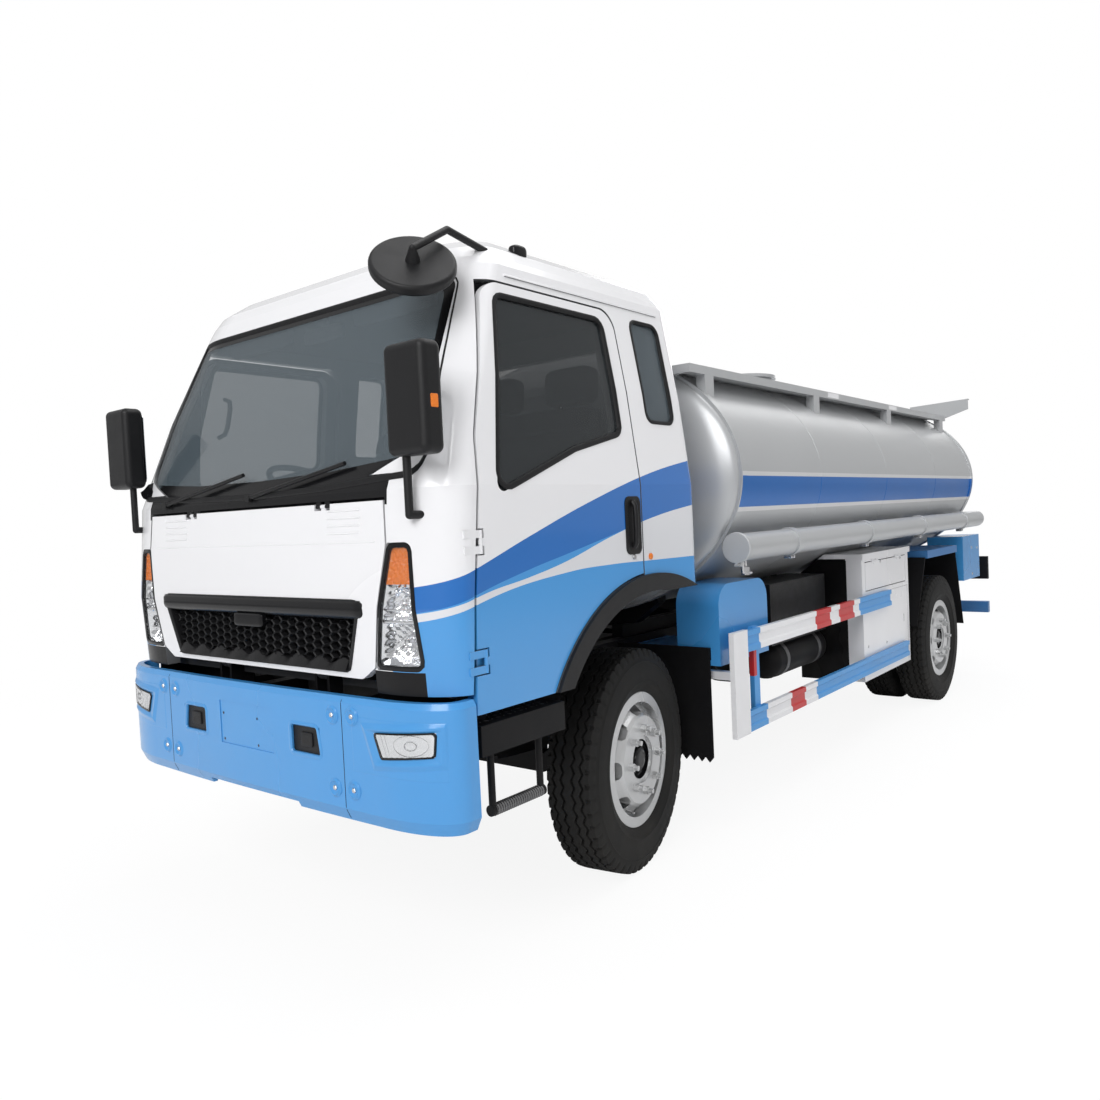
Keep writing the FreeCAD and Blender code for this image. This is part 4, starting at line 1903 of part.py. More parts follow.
# Rear wheel covers and mudflaps.
fender = block(mm.fender_inner, mm.fender_outer, back(mm.fender_front), back(mm.fender_rear),
               mm.fender_top - mm.fender_height, mm.fender_top)
fender_under = block(mm.fender_inner - mm.overrun, mm.fender_outer - mm.flap_sheet,
                     back(mm.fender_front) + mm.flap_sheet,
                     back(mm.fender_rear) + mm.overrun, mm.fender_top - mm.fender_height - mm.overrun,
                     mm.fender_top - mm.flap_sheet)
arm_low = mm.rail_top + mm.subframe_wall + mm.guard_arm
arm_y = back(mm.fender_front) + mm.guard_bar_width
fender_arms = [
    block(mm.saddle_half_width + mm.subframe_wall / 2, mm.rail_half_width, arm_y,
          arm_y + mm.guard_bar_width, mm.rail_top, arm_low + mm.guard_arm),
    block(mm.saddle_half_width + mm.subframe_wall / 2, mm.fender_inner + mm.guard_arm, arm_y,
          arm_y + mm.guard_bar_width, arm_low, arm_low + mm.guard_arm),
    block(mm.fender_inner, mm.fender_inner + mm.guard_arm, arm_y, arm_y + mm.guard_bar_width, arm_low,
          mm.fender_top)]
solid_node(both_sides(carved(fender, fender_under).fuse(fender_arms)), "rear_fenders")


def toothed_flap(y, low, high, x0, x1):
    """A hanging rubber sheet whose lower edge is cut in teeth."""
    count = int(mm.flap_teeth)
    pitch = (x1 - x0) / count
    points = [(x0, high), (x0, low + mm.flap_tooth)]
    for k in range(count):
        points.append((x0 + (k + 0.5) * pitch, low))
        points.append((x0 + (k + 1) * pitch, low + mm.flap_tooth))
    points.append((x1, high))
    return prism(points, "XZ", back(y), back(y) + mm.flap_sheet)


front_flap = toothed_flap(mm.front_flap_y, mm.front_flap_low, mm.front_flap_top, mm.front_flap_inner,
                          mm.front_flap_outer)
front_arm = block(mm.rail_half_width, mm.front_flap_outer, back(mm.front_flap_y) + mm.flap_sheet,
                  back(mm.front_flap_y) + mm.flap_sheet * 2, mm.front_flap_top - mm.guard_bar_width,
                  mm.front_flap_top)
sheet = mm.flap_sheet
sheet_top = mm.fender_top - mm.fender_height
flap_sides = (mm.fender_inner, mm.fender_outer - sheet * 2)
front_y = back(mm.fender_front)
sheet_front = prism([(back(mm.guard_sheet_front), mm.guard_sheet_low),
                     (back(mm.guard_sheet_front) + sheet, mm.guard_sheet_low),
                     (front_y - mm.seat_gap, sheet_top), (front_y - mm.seat_gap, sheet_top + sheet),
                     (front_y - mm.seat_gap - sheet * 2, sheet_top + sheet)], "YZ", *flap_sides)
under = mm.fender_top - sheet - mm.seat_gap
rear_sheet = prism([(back(mm.rear_flap_top), under), (back(mm.rear_flap_top) - sheet, under),
                    (back(mm.rear_flap_back) - sheet, mm.rear_flap_low),
                    (back(mm.rear_flap_back), mm.rear_flap_low)], "YZ", *flap_sides)
flaps = []
for shape in (front_flap.fuse(front_arm), sheet_front, rear_sheet):
    flaps += both_sides(shape).Solids
solid_node(Part.makeCompound(flaps), "mudflaps")

# Tail: a black lamp bar with its lamps, and the blue underrun bar below.
tail = back(mm.wheelbase + mm.rear_reach)
lamp_bar = block(-mm.lamp_bar_half, mm.lamp_bar_half, tail - mm.lamp_bar_wall - mm.tail_lamp_wall,
                 tail - mm.tail_lamp_wall, mm.lamp_bar_low, mm.lamp_bar_high)
lamp_arms = [block(s * mm.rail_half_width - mm.rail_wall, s * mm.rail_half_width + mm.rail_wall,
                   back(mm.wheelbase + mm.rail_rear), tail - mm.lamp_bar_wall - mm.tail_lamp_wall,
                   mm.lamp_bar_low, mm.rail_top) for s in (1, -1)]
solid_node(lamp_bar.fuse(lamp_arms), "lamp_bar")
lamp_up = (mm.lamp_bar_low + mm.lamp_bar_high - mm.tail_lamp_height) / 2
tail_lamp = block(mm.lamp_bar_half - mm.tail_lamp_width - mm.overrun, mm.lamp_bar_half - mm.overrun,
                  tail - mm.tail_lamp_wall, tail, lamp_up, lamp_up + mm.tail_lamp_height)
solid_node(both_sides(tail_lamp), "tail_lamps")
underrun = block(-mm.underrun_half, mm.underrun_half, tail - mm.underrun_wall - mm.tail_lamp_wall,
                 tail - mm.tail_lamp_wall, mm.underrun_low, mm.underrun_high)
underrun_arms = [block(s * mm.rail_half_width - mm.underrun_arm / 2 - s * mm.underrun_arm / 2,
                       s * mm.rail_half_width + mm.underrun_arm / 2 - s * mm.underrun_arm / 2,
                       tail - mm.underrun_wall - mm.tail_lamp_wall,
                       tail - mm.tail_lamp_wall - mm.underrun_wall / 2,
                       mm.underrun_high, mm.lamp_bar_low) for s in (1, -1)]
solid_node(underrun.fuse(underrun_arms), "rear_underrun")

doc.recompute()
for piece in doc.Objects:
    bad = [state for state in piece.State if state in ("Invalid", "Error")]
    if bad:
        raise RuntimeError(f"{piece.Name}: {bad}")
for piece in nodes:
    if piece.Shape.isNull() or not piece.Shape.isValid():
        raise RuntimeError(f"{piece.Label}: no valid shape")
os.makedirs("parts", exist_ok=True)
for piece in nodes:
    piece.Shape.exportStep(f"parts/{piece.Label}.step")
print(len(nodes), "sub-parts")
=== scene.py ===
"""Looks of a two-axle tanker truck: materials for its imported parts, and the
trim, treads, lamps, seals and seats that are built round them."""

import json
import math

import bmesh
import bpy
import numpy as np
from mathutils import Matrix, Vector


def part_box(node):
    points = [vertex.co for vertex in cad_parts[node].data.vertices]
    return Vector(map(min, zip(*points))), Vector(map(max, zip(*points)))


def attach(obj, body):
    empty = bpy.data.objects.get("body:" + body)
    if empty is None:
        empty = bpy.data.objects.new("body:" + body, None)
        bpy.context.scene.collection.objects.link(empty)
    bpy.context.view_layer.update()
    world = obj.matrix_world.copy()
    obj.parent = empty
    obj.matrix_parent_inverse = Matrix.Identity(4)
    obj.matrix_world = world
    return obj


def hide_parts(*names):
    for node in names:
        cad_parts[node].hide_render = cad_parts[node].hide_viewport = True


bl_info = {
    "name": "Tanker truck looks",
    "version": (1, 0, 0),
    "blender": (4, 5, 0),
    "location": "View3D > Sidebar > Truck",
    "description": "Dresses the packed tanker truck and builds its trim",
    "category": "Object",
}

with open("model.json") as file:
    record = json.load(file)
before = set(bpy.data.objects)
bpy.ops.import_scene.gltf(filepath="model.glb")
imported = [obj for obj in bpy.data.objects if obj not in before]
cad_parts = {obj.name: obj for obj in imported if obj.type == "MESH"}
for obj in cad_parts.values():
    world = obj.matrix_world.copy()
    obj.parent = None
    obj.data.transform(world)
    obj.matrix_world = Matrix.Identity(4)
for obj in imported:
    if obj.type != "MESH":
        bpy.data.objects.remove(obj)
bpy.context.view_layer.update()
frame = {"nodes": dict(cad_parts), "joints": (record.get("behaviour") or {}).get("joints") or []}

X, Y, Z = range(3)
SIDES = (("left", 1), ("right", -1))


# Properties.
class TruckColours(bpy.types.PropertyGroup):
    """Colours of the paints, as they render in plain light."""

    cab_white: bpy.props.FloatVectorProperty(
        name="Cab white", description="Upper cab, flap and cabinet", subtype="COLOR",
        default=(0.80, 0.80, 0.82))
    sky: bpy.props.FloatVectorProperty(
        name="Sky blue", description="Bumper and lower cab", subtype="COLOR",
        default=(0.055, 0.295, 0.665))
    deep: bpy.props.FloatVectorProperty(
        name="Deep blue", description="Swept band on the cab and the tank's band",
        subtype="COLOR", default=(0.012, 0.14, 0.47))
    bracket: bpy.props.FloatVectorProperty(
        name="Bracket blue", description="Fenders, boxes and underrun bar",
        subtype="COLOR", default=(0.030, 0.155, 0.39))
    silver: bpy.props.FloatVectorProperty(
        name="Tank silver", description="Tank, tubes and walkways", subtype="COLOR",
        default=(0.46, 0.47, 0.48))


class TruckSizes(bpy.types.PropertyGroup):
    """Sizes of the trim that a user would change."""

    groove_depth: bpy.props.FloatProperty(
        name="Tread depth", description="Depth of the tyre grooves", unit="LENGTH",
        default=0.013)
    tread_blocks: bpy.props.IntProperty(
        name="Tread blocks", description="Blocks round one tyre", default=52)
    seal_width: bpy.props.FloatProperty(
        name="Seal width", description="Width of the window rubbers", unit="LENGTH",
        default=0.014)
    mesh_cell: bpy.props.FloatProperty(
        name="Grille cell", description="Size of a cell of the grille's net",
        unit="LENGTH", default=0.05)


def colours():
    """The paints' colours, as the panel has them."""
    return bpy.context.scene.truck_colours


def sizes():
    """The trim's sizes, as the panel has them."""
    return bpy.context.scene.truck_sizes


# Meshes.
def grid_quads(rows, columns, wrap_rows=False, wrap_columns=False):
    """Quads of a grid of points, joined round in either direction."""
    i = np.arange(rows if wrap_rows else rows - 1)
    j = np.arange(columns if wrap_columns else columns - 1)
    i, j = (a.ravel() for a in np.meshgrid(i, j, indexing="ij"))
    k, m = (i + 1) % rows, (j + 1) % columns
    return np.stack([i * columns + j, k * columns + j, k * columns + m,
                     i * columns + m], 1)


def gridded(points, wrap_rows=False, wrap_columns=False):
    """A shape, points and quads, from an array of rows x columns x 3."""
    rows, columns = points.shape[:2]
    return points.reshape(-1, 3), grid_quads(rows, columns, wrap_rows, wrap_columns)


def together(shapes):
    """One shape out of several."""
    points, quads, start = [], [], 0
    for p, q in shapes:
        points.append(p)
        quads.append(q + start)
        start += len(p)
    return np.concatenate(points), np.concatenate(quads)


SHARP_ANGLE = math.radians(38)


def piece(name, shapes, body, material, smooth=True, replaces=()):
    """A finished piece: shapes merged into one mesh, faces out, riding on a body."""
    points, quads = together(shapes if isinstance(shapes, list) else [shapes])
    mesh = bpy.data.meshes.new(name)
    mesh.from_pydata(points.tolist(), [], quads.tolist())
    work = bmesh.new()
    work.from_mesh(mesh)
    bmesh.ops.remove_doubles(work, verts=work.verts, dist=1e-5)
    bmesh.ops.dissolve_degenerate(work, edges=work.edges, dist=1e-6)
    bmesh.ops.recalc_face_normals(work, faces=work.faces)
    work.to_mesh(mesh)
    work.free()
    if smooth:
        mesh.set_sharp_from_angle(angle=SHARP_ANGLE)
    mesh.polygons.foreach_set("use_smooth", np.full(len(mesh.polygons), smooth))
    obj = bpy.data.objects.new(name, mesh)
    bpy.context.scene.collection.objects.link(obj)
    mesh.materials.append(material)
    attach(obj, body)
    if replaces:
        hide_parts(*replaces)
    return obj


def box(low, high):
    """Six quads between two corners."""
    (a, b, c), (d, e, f) = low, high
    points = np.array([(x, y, z) for z in (c, f) for x, y in
                       ((a, b), (d, b), (d, e), (a, e))], float)
    quads = [(0, 3, 2, 1), (4, 5, 6, 7), (0, 1, 5, 4), (1, 2, 6, 5), (2, 3, 7, 6),
             (3, 0, 4, 7)]
    return points, np.array(quads)


def basis(direction):
    """Two directions across a given one."""
    w = np.array(direction, float)
    w /= np.linalg.norm(w)
    u = np.cross(w, (0, 0, 1) if abs(w[2]) < 0.9 else (0, 1, 0))
    u /= np.linalg.norm(u)
    return u, np.cross(w, u), w


def turned(profile, centre, direction, count=32, phase=0.0):
    """A profile of (along, radius) carried round a direction."""
    u, v, w = basis(direction)
    a = np.arange(count) * 2 * math.pi / count + phase
    ring = np.cos(a)[:, None] * u + np.sin(a)[:, None] * v
    p = np.array(profile, float)
    points = (np.array(centre, float) + p[None, :, :1] * w
              + p[None, :, 1:] * ring[:, None, :])
    return gridded(points, wrap_rows=True)


def tube(path, radius, count=10):
    """A closed round tube along points: rings square to the run, capped."""
    path = np.array(path, float)
    run = np.gradient(path, axis=0)
    run /= np.linalg.norm(run, axis=1)[:, None]
    up = np.array((0, 0, 1.0)) if abs(run[:, 2]).max() < 0.95 else np.array((0, 1.0, 0))
    u = np.cross(run, up)
    u /= np.linalg.norm(u, axis=1)[:, None]
    v = np.cross(run, u)
    a = np.arange(count) * 2 * math.pi / count
    radii = np.full(len(path), radius, float)
    path = np.concatenate([path[:1], path, path[-1:]])
    u, v = (np.concatenate([w[:1], w, w[-1:]]) for w in (u, v))
    radii = np.concatenate([[0], radii, [0]])
    points = path[:, None] + radii[:, None, None] * (
        np.cos(a)[None, :, None] * u[:, None] + np.sin(a)[None, :, None] * v[:, None])
    return gridded(points, wrap_columns=True)


def rounded(corners, radius, arc=6):
    """A closed outline with its corners rounded: an arc of a few points at each."""
    corners = [np.array(c, float) for c in corners]
    out = []
    for k, here in enumerate(corners):
        back, ahead = corners[k - 1] - here, corners[(k + 1) % len(corners)] - here
        lb, la = np.linalg.norm(back), np.linalg.norm(ahead)
        back, ahead = back / lb, ahead / la
        half = math.acos(max(-1, min(1, float(back @ ahead)))) / 2
        cut = min(radius / math.tan(half), 0.45 * min(lb, la))
        r = cut * math.tan(half)
        middle = (back + ahead) / np.linalg.norm(back + ahead)
        centre = here + middle * r / math.sin(half)
        a, b = here + back * cut - centre, here + ahead * cut - centre
        for t in np.linspace(0, 1, arc):
            d = a * (1 - t) + b * t
            out.append(centre + d / np.linalg.norm(d) * r)
    return np.array(out)


def spaced(outline, step=0.02, count=None):
    """The same closed outline with points about a step apart, or so many of them."""
    closed = np.concatenate([outline, outline[:1]])
    steps = np.linalg.norm(np.diff(closed, axis=0), axis=1)
    run = np.concatenate([[0], np.cumsum(steps)])
    at = np.linspace(0, run[-1], count or max(8, int(run[-1] / step)), endpoint=False)
    return np.stack([np.interp(at, run, column) for column in closed.T], 1)


def outward(outline):
    """Unit directions out of a closed flat outline, at each of its points."""
    along = np.roll(outline, -1, 0) - np.roll(outline, 1, 0)
    out = np.stack([along[:, 1], -along[:, 0]], 1)
    out /= np.linalg.norm(out, axis=1)[:, None]
    area = np.sum(outline[:, 0] * np.roll(outline[:, 1], -1)
                  - np.roll(outline[:, 0], -1) * outline[:, 1])
    return out if area > 0 else -out


def triangles(nodes):
    """Corners of all the triangles of CAD nodes, as n x 3 x 3."""
    found = []
    for name in nodes:
        mesh = frame["nodes"][name].data
        mesh.calc_loop_triangles()
        corners = np.zeros(len(mesh.loop_triangles) * 3, np.int32)
        mesh.loop_triangles.foreach_get("vertices", corners)
        places = np.zeros(len(mesh.vertices) * 3, np.float32)
        mesh.vertices.foreach_get("co", places)
        found.append(places.reshape(-1, 3)[corners].reshape(-1, 3, 3))
    return np.concatenate(found).astype(float)


def skin(nodes, axis, sign, spots):
    """How far out the nodes' surface stands along an axis over each spot.

    Each spot is the other two coordinates. A triangle covers it when the shares
    of its two edges that reach the spot are positive and add up to under one.
    """
    spots = np.asarray(spots, float)
    shape = spots.shape[:-1]
    spots = spots.reshape(-1, 2)
    flat = [k for k in range(3) if k != axis]
    tri = triangles(nodes)
    low, high = tri[:, :, flat].min(1), tri[:, :, flat].max(1)
    near = ((high >= spots.min(0)) & (low <= spots.max(0))).all(1)
    tri = tri[near]
    p, d, e = tri[:, 0], tri[:, 1] - tri[:, 0], tri[:, 2] - tri[:, 0]
    det = d[:, flat[0]] * e[:, flat[1]] - d[:, flat[1]] * e[:, flat[0]]
    det[np.abs(det) < 1e-12] = np.inf
    reach = spots[:, None] - p[None, :, flat]
    a = (reach[..., 0] * e[:, flat[1]] - reach[..., 1] * e[:, flat[0]]) / det
    b = (d[:, flat[0]] * reach[..., 1] - d[:, flat[1]] * reach[..., 0]) / det
    inside = (a > -1e-4) & (b > -1e-4) & (a + b < 1.0002) & np.isfinite(det)
    place = p[:, axis] + a * d[:, axis] + b * e[:, axis]
    best = np.where(inside, sign * place, -np.inf).max(1)
    hit = np.isfinite(best)
    if not hit.any():
        raise ValueError(f"no surface of {nodes} under these spots")
    index = np.arange(len(best))
    best = np.interp(index, index[hit], best[hit])
    return (sign * best).reshape(shape)


def depth_at(nodes, axis, sign, spot):
    """Where the nodes' surface stands along an axis over one spot."""
    return float(skin(nodes, axis, sign, [spot])[0])


def on_axis(axis, spots, depth):
    """Points from two flat coordinates and the third one along an axis."""
    return np.insert(np.asarray(spots, float), axis, depth, axis=-1)


def bead(nodes, axis, sign, spots, lift, radius):
    """A round tube along spots on a skin, its middle raised off it by a lift."""
    spots = np.stack(spots, 1)
    place = skin(nodes, axis, sign, spots) + sign * lift
    return tube(on_axis(axis, spots, place), radius, 8)


def band(outline, profile, nodes, axis, sign, anchor=0.004):
    """A closed section of (out, height) pairs carried round an outline on a skin."""
    out = outward(outline)
    depth = skin(nodes, axis, sign, outline + out * anchor)
    rings = [on_axis(axis, outline + out * o, depth + sign * h) for o, h in profile]
    return gridded(np.stack(rings, 1), wrap_rows=True, wrap_columns=True)


def flat_patch(corners, rows, columns):
    """Spots of a bilinear patch between four corners."""
    a, b, c, d = (np.array(p, float) for p in corners)
    s = np.linspace(0, 1, rows)[:, None, None]
    t = np.linspace(0, 1, columns)[None, :, None]
    return (1 - s) * ((1 - t) * a + t * b) + s * ((1 - t) * d + t * c)


def shell(front, back):
    """A closed shell between two grids of points of the same shape."""
    rows, columns = front.shape[:2]
    points = np.concatenate([front.reshape(-1, 3), back.reshape(-1, 3)])
    quads = grid_quads(rows, columns)
    n = rows * columns
    index = np.arange(n).reshape(rows, columns)
    rim = np.concatenate([index[0, :], index[1:, -1], index[-1, -2::-1],
                          index[-2:0:-1, 0]])
    wall = np.stack([rim, np.roll(rim, -1), np.roll(rim, -1) + n, rim + n], 1)
    return points, np.concatenate([quads, quads[:, ::-1] + n, wall])


def signed_power(value, power):
    """A power of a value's size, with the value's own sign."""
    return np.sign(value) * np.abs(value) ** power


def pillow(centre, half, power, crown=0.0, valleys=(), valley_depth=0.0, rows=33,
           columns=64, tip=None):
    """A rounded block: x, y, z = half sizes times cosines and sines to a power.

    The upper side swells by crown * (1 - a*a) * (1 - b*b), and sinks along the
    valleys, each (axis, place, width) in shares of the half sizes, by a bell curve.
    """
    up = np.linspace(-math.pi / 2, math.pi / 2, rows)[:, None]
    turn = (np.arange(columns) * 2 * math.pi / columns)[None, :]
    c = signed_power(np.cos(up), power)
    a = c * signed_power(np.cos(turn), power)
    b = c * signed_power(np.sin(turn), power)
    d = signed_power(np.sin(up), power) * np.ones_like(a)
    swell = crown * (1 - a ** 2) * (1 - b ** 2)
    for axis, place, width in valleys:
        along = (a, b)[axis]
        swell = swell - valley_depth * np.exp(-((along - place) / width) ** 2)
    d = d + swell * np.clip(d, 0, 1)
    local = np.stack([a * half[0], b * half[1], d * half[2]], -1)
    if tip is not None:
        local = local @ np.array(tip).T
    return gridded(np.array(centre) + local, wrap_columns=True)


def closed_run(rings):
    """A section carried along a run, closed round it and capped at both ends."""
    middle = rings.mean(1, keepdims=True)
    first, last = (np.repeat(m, rings.shape[1], 1) for m in (middle[:1], middle[-1:]))
    return gridded(np.concatenate([first, rings, last]), wrap_columns=True)


def mirrored(shape):
    """The same shape on the truck's other side."""
    points, quads = shape
    return points * (-1, 1, 1), quads[:, ::-1]


def both(shapes):
    """Shapes and their mirror images."""
    shapes = shapes if isinstance(shapes, list) else [shapes]
    return shapes + [mirrored(s) for s in shapes]


# Shader groups.
def group(name, inputs, outputs):
    """A shader node group with named sockets, and its ends."""
    tree = bpy.data.node_groups.new(name, "ShaderNodeTree")
    for label, kind, value in inputs:
        socket = tree.interface.new_socket(label, in_out="INPUT", socket_type=kind)
        if value is not None:
            socket.default_value = value
    for label, kind in outputs:
        tree.interface.new_socket(label, in_out="OUTPUT", socket_type=kind)
    return tree, tree.nodes.new("NodeGroupInput"), tree.nodes.new("NodeGroupOutput")


def feed(tree, node, links):
    """Each named input takes a link from a socket, or a value of its own."""
    for key, value in links.items():
        if isinstance(value, bpy.types.NodeSocket):
            tree.links.new(value, node.inputs[key])
        else:
            node.inputs[key].default_value = value
    return node


def add(tree, kind, links=None, **settings):
    """A node with its settings; links are numbers, colours or other sockets."""
    node = tree.nodes.new("ShaderNode" + kind)
    for key, value in settings.items():
        setattr(node, key, value)
    return feed(tree, node, links or {})


def maths(tree, operation, a, b=0.0, c=0.0, clamp=False):
    """One sum on up to three values."""
    return add(tree, "Math", {0: a, 1: b, 2: c}, operation=operation,
               use_clamp=clamp).outputs[0]


def times(tree, a, b):
    """The product of two values; of two masks, where both hold."""
    return maths(tree, "MULTIPLY", a, b)


def below(tree, value, limit):
    """1 where a value is under a limit."""
    return maths(tree, "LESS_THAN", value, limit)


def spread(tree, value, low, high, start, end, **settings):
    """A value carried from one range to another, held at its ends."""
    return add(tree, "MapRange", {0: value, 1: low, 2: high, 3: start, 4: end},
               **settings).outputs[0]


def axes(tree, place):
    """The x, y and z of a position."""
    return add(tree, "SeparateXYZ", {0: place}).outputs[:3]


def mixed(tree, share, a, b):
    """One colour laid over another by a share."""
    a, b = (c if isinstance(c, bpy.types.NodeSocket) else (*c, 1.0) for c in (a, b))
    return add(tree, "Mix", {0: share, 6: a, 7: b}, data_type="RGBA").outputs[2]


VECTOR, VALUE = "NodeSocketVector", "NodeSocketFloat"


def noise(tree, place, scale, detail=2.0):
    """Soft random values between 0 and 1 over a position."""
    return add(tree, "TexNoise", {"Vector": place, "Scale": scale,
                                  "Detail": detail}).outputs[0]


def ended(tree, outs, *sockets):
    """The group's tree, once its outputs take these sockets in order."""
    for k, socket in enumerate(sockets):
        tree.links.new(socket, outs.inputs[k])
    return tree


def road_dust():
    """Dust that thickens towards the ground, broken up by noise."""
    tree, ins, outs = group("Road dust", [("Position", VECTOR, None),
                            ("Top", VALUE, 1.2), ("Amount", VALUE, 0.4)],
                            [("Mask", VALUE)])
    place, top, amount = ins.outputs[:3]
    fade = spread(tree, axes(tree, place)[2], 0.0, top, 1.0, 0.0)
    patch = spread(tree, noise(tree, place, 5.0), 0.2, 0.85, 0.1, 1.0,
                   interpolation_type="SMOOTHSTEP")
    mask = maths(tree, "MULTIPLY", times(tree, fade, patch), amount, clamp=True)
    return ended(tree, outs, mask)


def textured(name, scale):
    """A group from a position and a scale to a height and a tone."""
    tree, ins, outs = group(name, [("Position", VECTOR, None), ("Scale", VALUE, scale)],
                            [("Height", VALUE), ("Tone", VALUE)])
    return tree, *ins.outputs[:2], outs


def fine_grain():
    """Small pits of moulded plastic or cast skin, as a height and a tone."""
    tree, place, scale, outs = textured("Fine grain", 900.0)
    pits = add(tree, "TexVoronoi", {"Vector": place, "Scale": scale}).outputs[0]
    return ended(tree, outs, pits, noise(tree, place, 14.0, 5.0))


def paint_skin():
    """Ripple and tone of sprayed paint: soft waves and a faint drift of shade."""
    tree, place, scale, outs = textured("Paint skin", 160.0)
    return ended(tree, outs, noise(tree, place, scale, 1.0),
                 noise(tree, place, 1.6, 1.0))


def cloth_weave():
    """Threads that cross: two sets of waves, the higher one on top."""
    tree, place, scale, outs = textured("Cloth weave", 260.0)
    across, up = (add(tree, "TexWave", {"Vector": place, "Scale": scale,
                                        "Distortion": 0.6},
                      bands_direction=way).outputs[1] for way in "XZ")
    return ended(tree, outs, maths(tree, "MAXIMUM", across, up),
                 noise(tree, place, 320.0))


EFFECTS = {"dust": road_dust, "grain": fine_grain, "paint": paint_skin,
           "weave": cloth_weave}
GROUPS = {}


def effect(tree, name, links):
    """An effect's group placed in a material with its own values."""
    if name not in GROUPS:
        GROUPS[name] = EFFECTS[name]()
    node = tree.nodes.new("ShaderNodeGroup")
    node.node_tree = GROUPS[name]
    return feed(tree, node, links)


DUST = (0.30, 0.27, 0.23)
BLACK_PAINT = (0.015, 0.03)


def drifting(tree, value, low, high):
    """A noise value spread smoothly over a range, with no hard edge at its ends."""
    return spread(tree, value, 0.15, 0.85, low, high, interpolation_type="SMOOTHSTEP")


def blank(name):
    """A new material, its tree, its shader and its object position."""
    made = bpy.data.materials.new(name)
    made.use_nodes = True
    tree = made.node_tree
    place = add(tree, "TexCoord").outputs["Object"]
    return made, tree, tree.nodes["Principled BSDF"], place


def material(name, colour=(1, 1, 1), rough=0.5, metal=0.0, texture="paint", scale=7.0,
             bump=0.05, tone=0.04, dust=0.25, dust_top=1.3, coat=0.0, painter=None,
             rough_spread=0.05, shine=0.5):
    """A procedural finish: its colour or zones, tone drift, dust, grain and bump."""
    if name in bpy.data.materials:
        return bpy.data.materials[name]
    made, tree, shader, place = blank(name)
    feel = effect(tree, texture, {"Position": place, "Scale": scale})
    base = painter(tree, place) if painter else None
    shade = drifting(tree, feel.outputs[1], 1.0 - tone, 1.0 + tone * 0.5)
    hue = add(tree, "HueSaturation", {"Value": shade})
    if base is None:
        hue.inputs["Color"].default_value = (*colour, 1.0)
    else:
        tree.links.new(base, hue.inputs["Color"])
    skin_colour = hue.outputs[0]
    rough_value = drifting(tree, feel.outputs[1], max(0.02, rough - rough_spread),
                           rough + rough_spread)
    if dust:
        mask = effect(tree, "dust", {"Position": place, "Top": dust_top,
                                     "Amount": dust}).outputs[0]
        skin_colour = mixed(tree, mask, skin_colour, DUST)
        rough_value = maths(tree, "ADD", rough_value, times(tree, mask, 0.5), clamp=True)
    tree.links.new(skin_colour, shader.inputs["Base Color"])
    tree.links.new(rough_value, shader.inputs["Roughness"])
    shader.inputs["Metallic"].default_value = metal
    shader.inputs["Coat Weight"].default_value = coat
    shader.inputs["Coat Roughness"].default_value = 0.06
    shader.inputs["Specular IOR Level"].default_value = shine
    if painter:
        bright = add(tree, "RGBToBW", {0: base}).outputs[0]
        for label, dull, full in (("Coat Weight", 0.0, coat),
                                  ("Specular IOR Level", 0.12, shine)):
            level = spread(tree, bright, *BLACK_PAINT, dull, full)
            tree.links.new(level, shader.inputs[label])
    if bump:
        raised = add(tree, "Bump", {"Strength": bump, "Distance": 0.002,
                                    "Height": feel.outputs[0]})
        tree.links.new(raised.outputs[0], shader.inputs["Normal"])
    return made


def glass(name, colour, alpha=0.35, rough=0.02):
    """Tinted glass: a thin coloured film with a faint smear in its gloss."""
    if name in bpy.data.materials:
        return bpy.data.materials[name]
    made, tree, shader, place = blank(name)
    smear = noise(tree, place, 6.0, 4.0)
    shader.inputs["Base Color"].default_value = (*colour, 1.0)
    rough_value = spread(tree, smear, 0.35, 0.75, rough, rough + 0.05)
    tree.links.new(rough_value, shader.inputs["Roughness"])
    shader.inputs["Alpha"].default_value = alpha
    shader.inputs["IOR"].default_value = 1.5
    shader.inputs["Specular IOR Level"].default_value = 0.8
    return made


def between(tree, value, low, high):
    """1 where a value lies between two others."""
    return maths(tree, "COMPARE", value, (low + high) / 2, (high - low) / 2)


def line(tree, value, points, low, high):
    """A smooth line through points of (value, height), read at a value."""
    first, last = points[0][0], points[-1][0]
    share = spread(tree, value, first, last, 0.0, 1.0)
    node = add(tree, "FloatCurve", {"Value": share})
    curve = node.mapping.curves[0]
    spots = [((a - first) / (last - first), (b - low) / (high - low)) for a, b in points]
    while len(curve.points) < len(spots):
        curve.points.new(0.5, 0.5)
    for k, spot in enumerate(spots):
        curve.points[k].location = spot
    node.mapping.update()
    return maths(tree, "MULTIPLY_ADD", node.outputs[0], high - low, low)


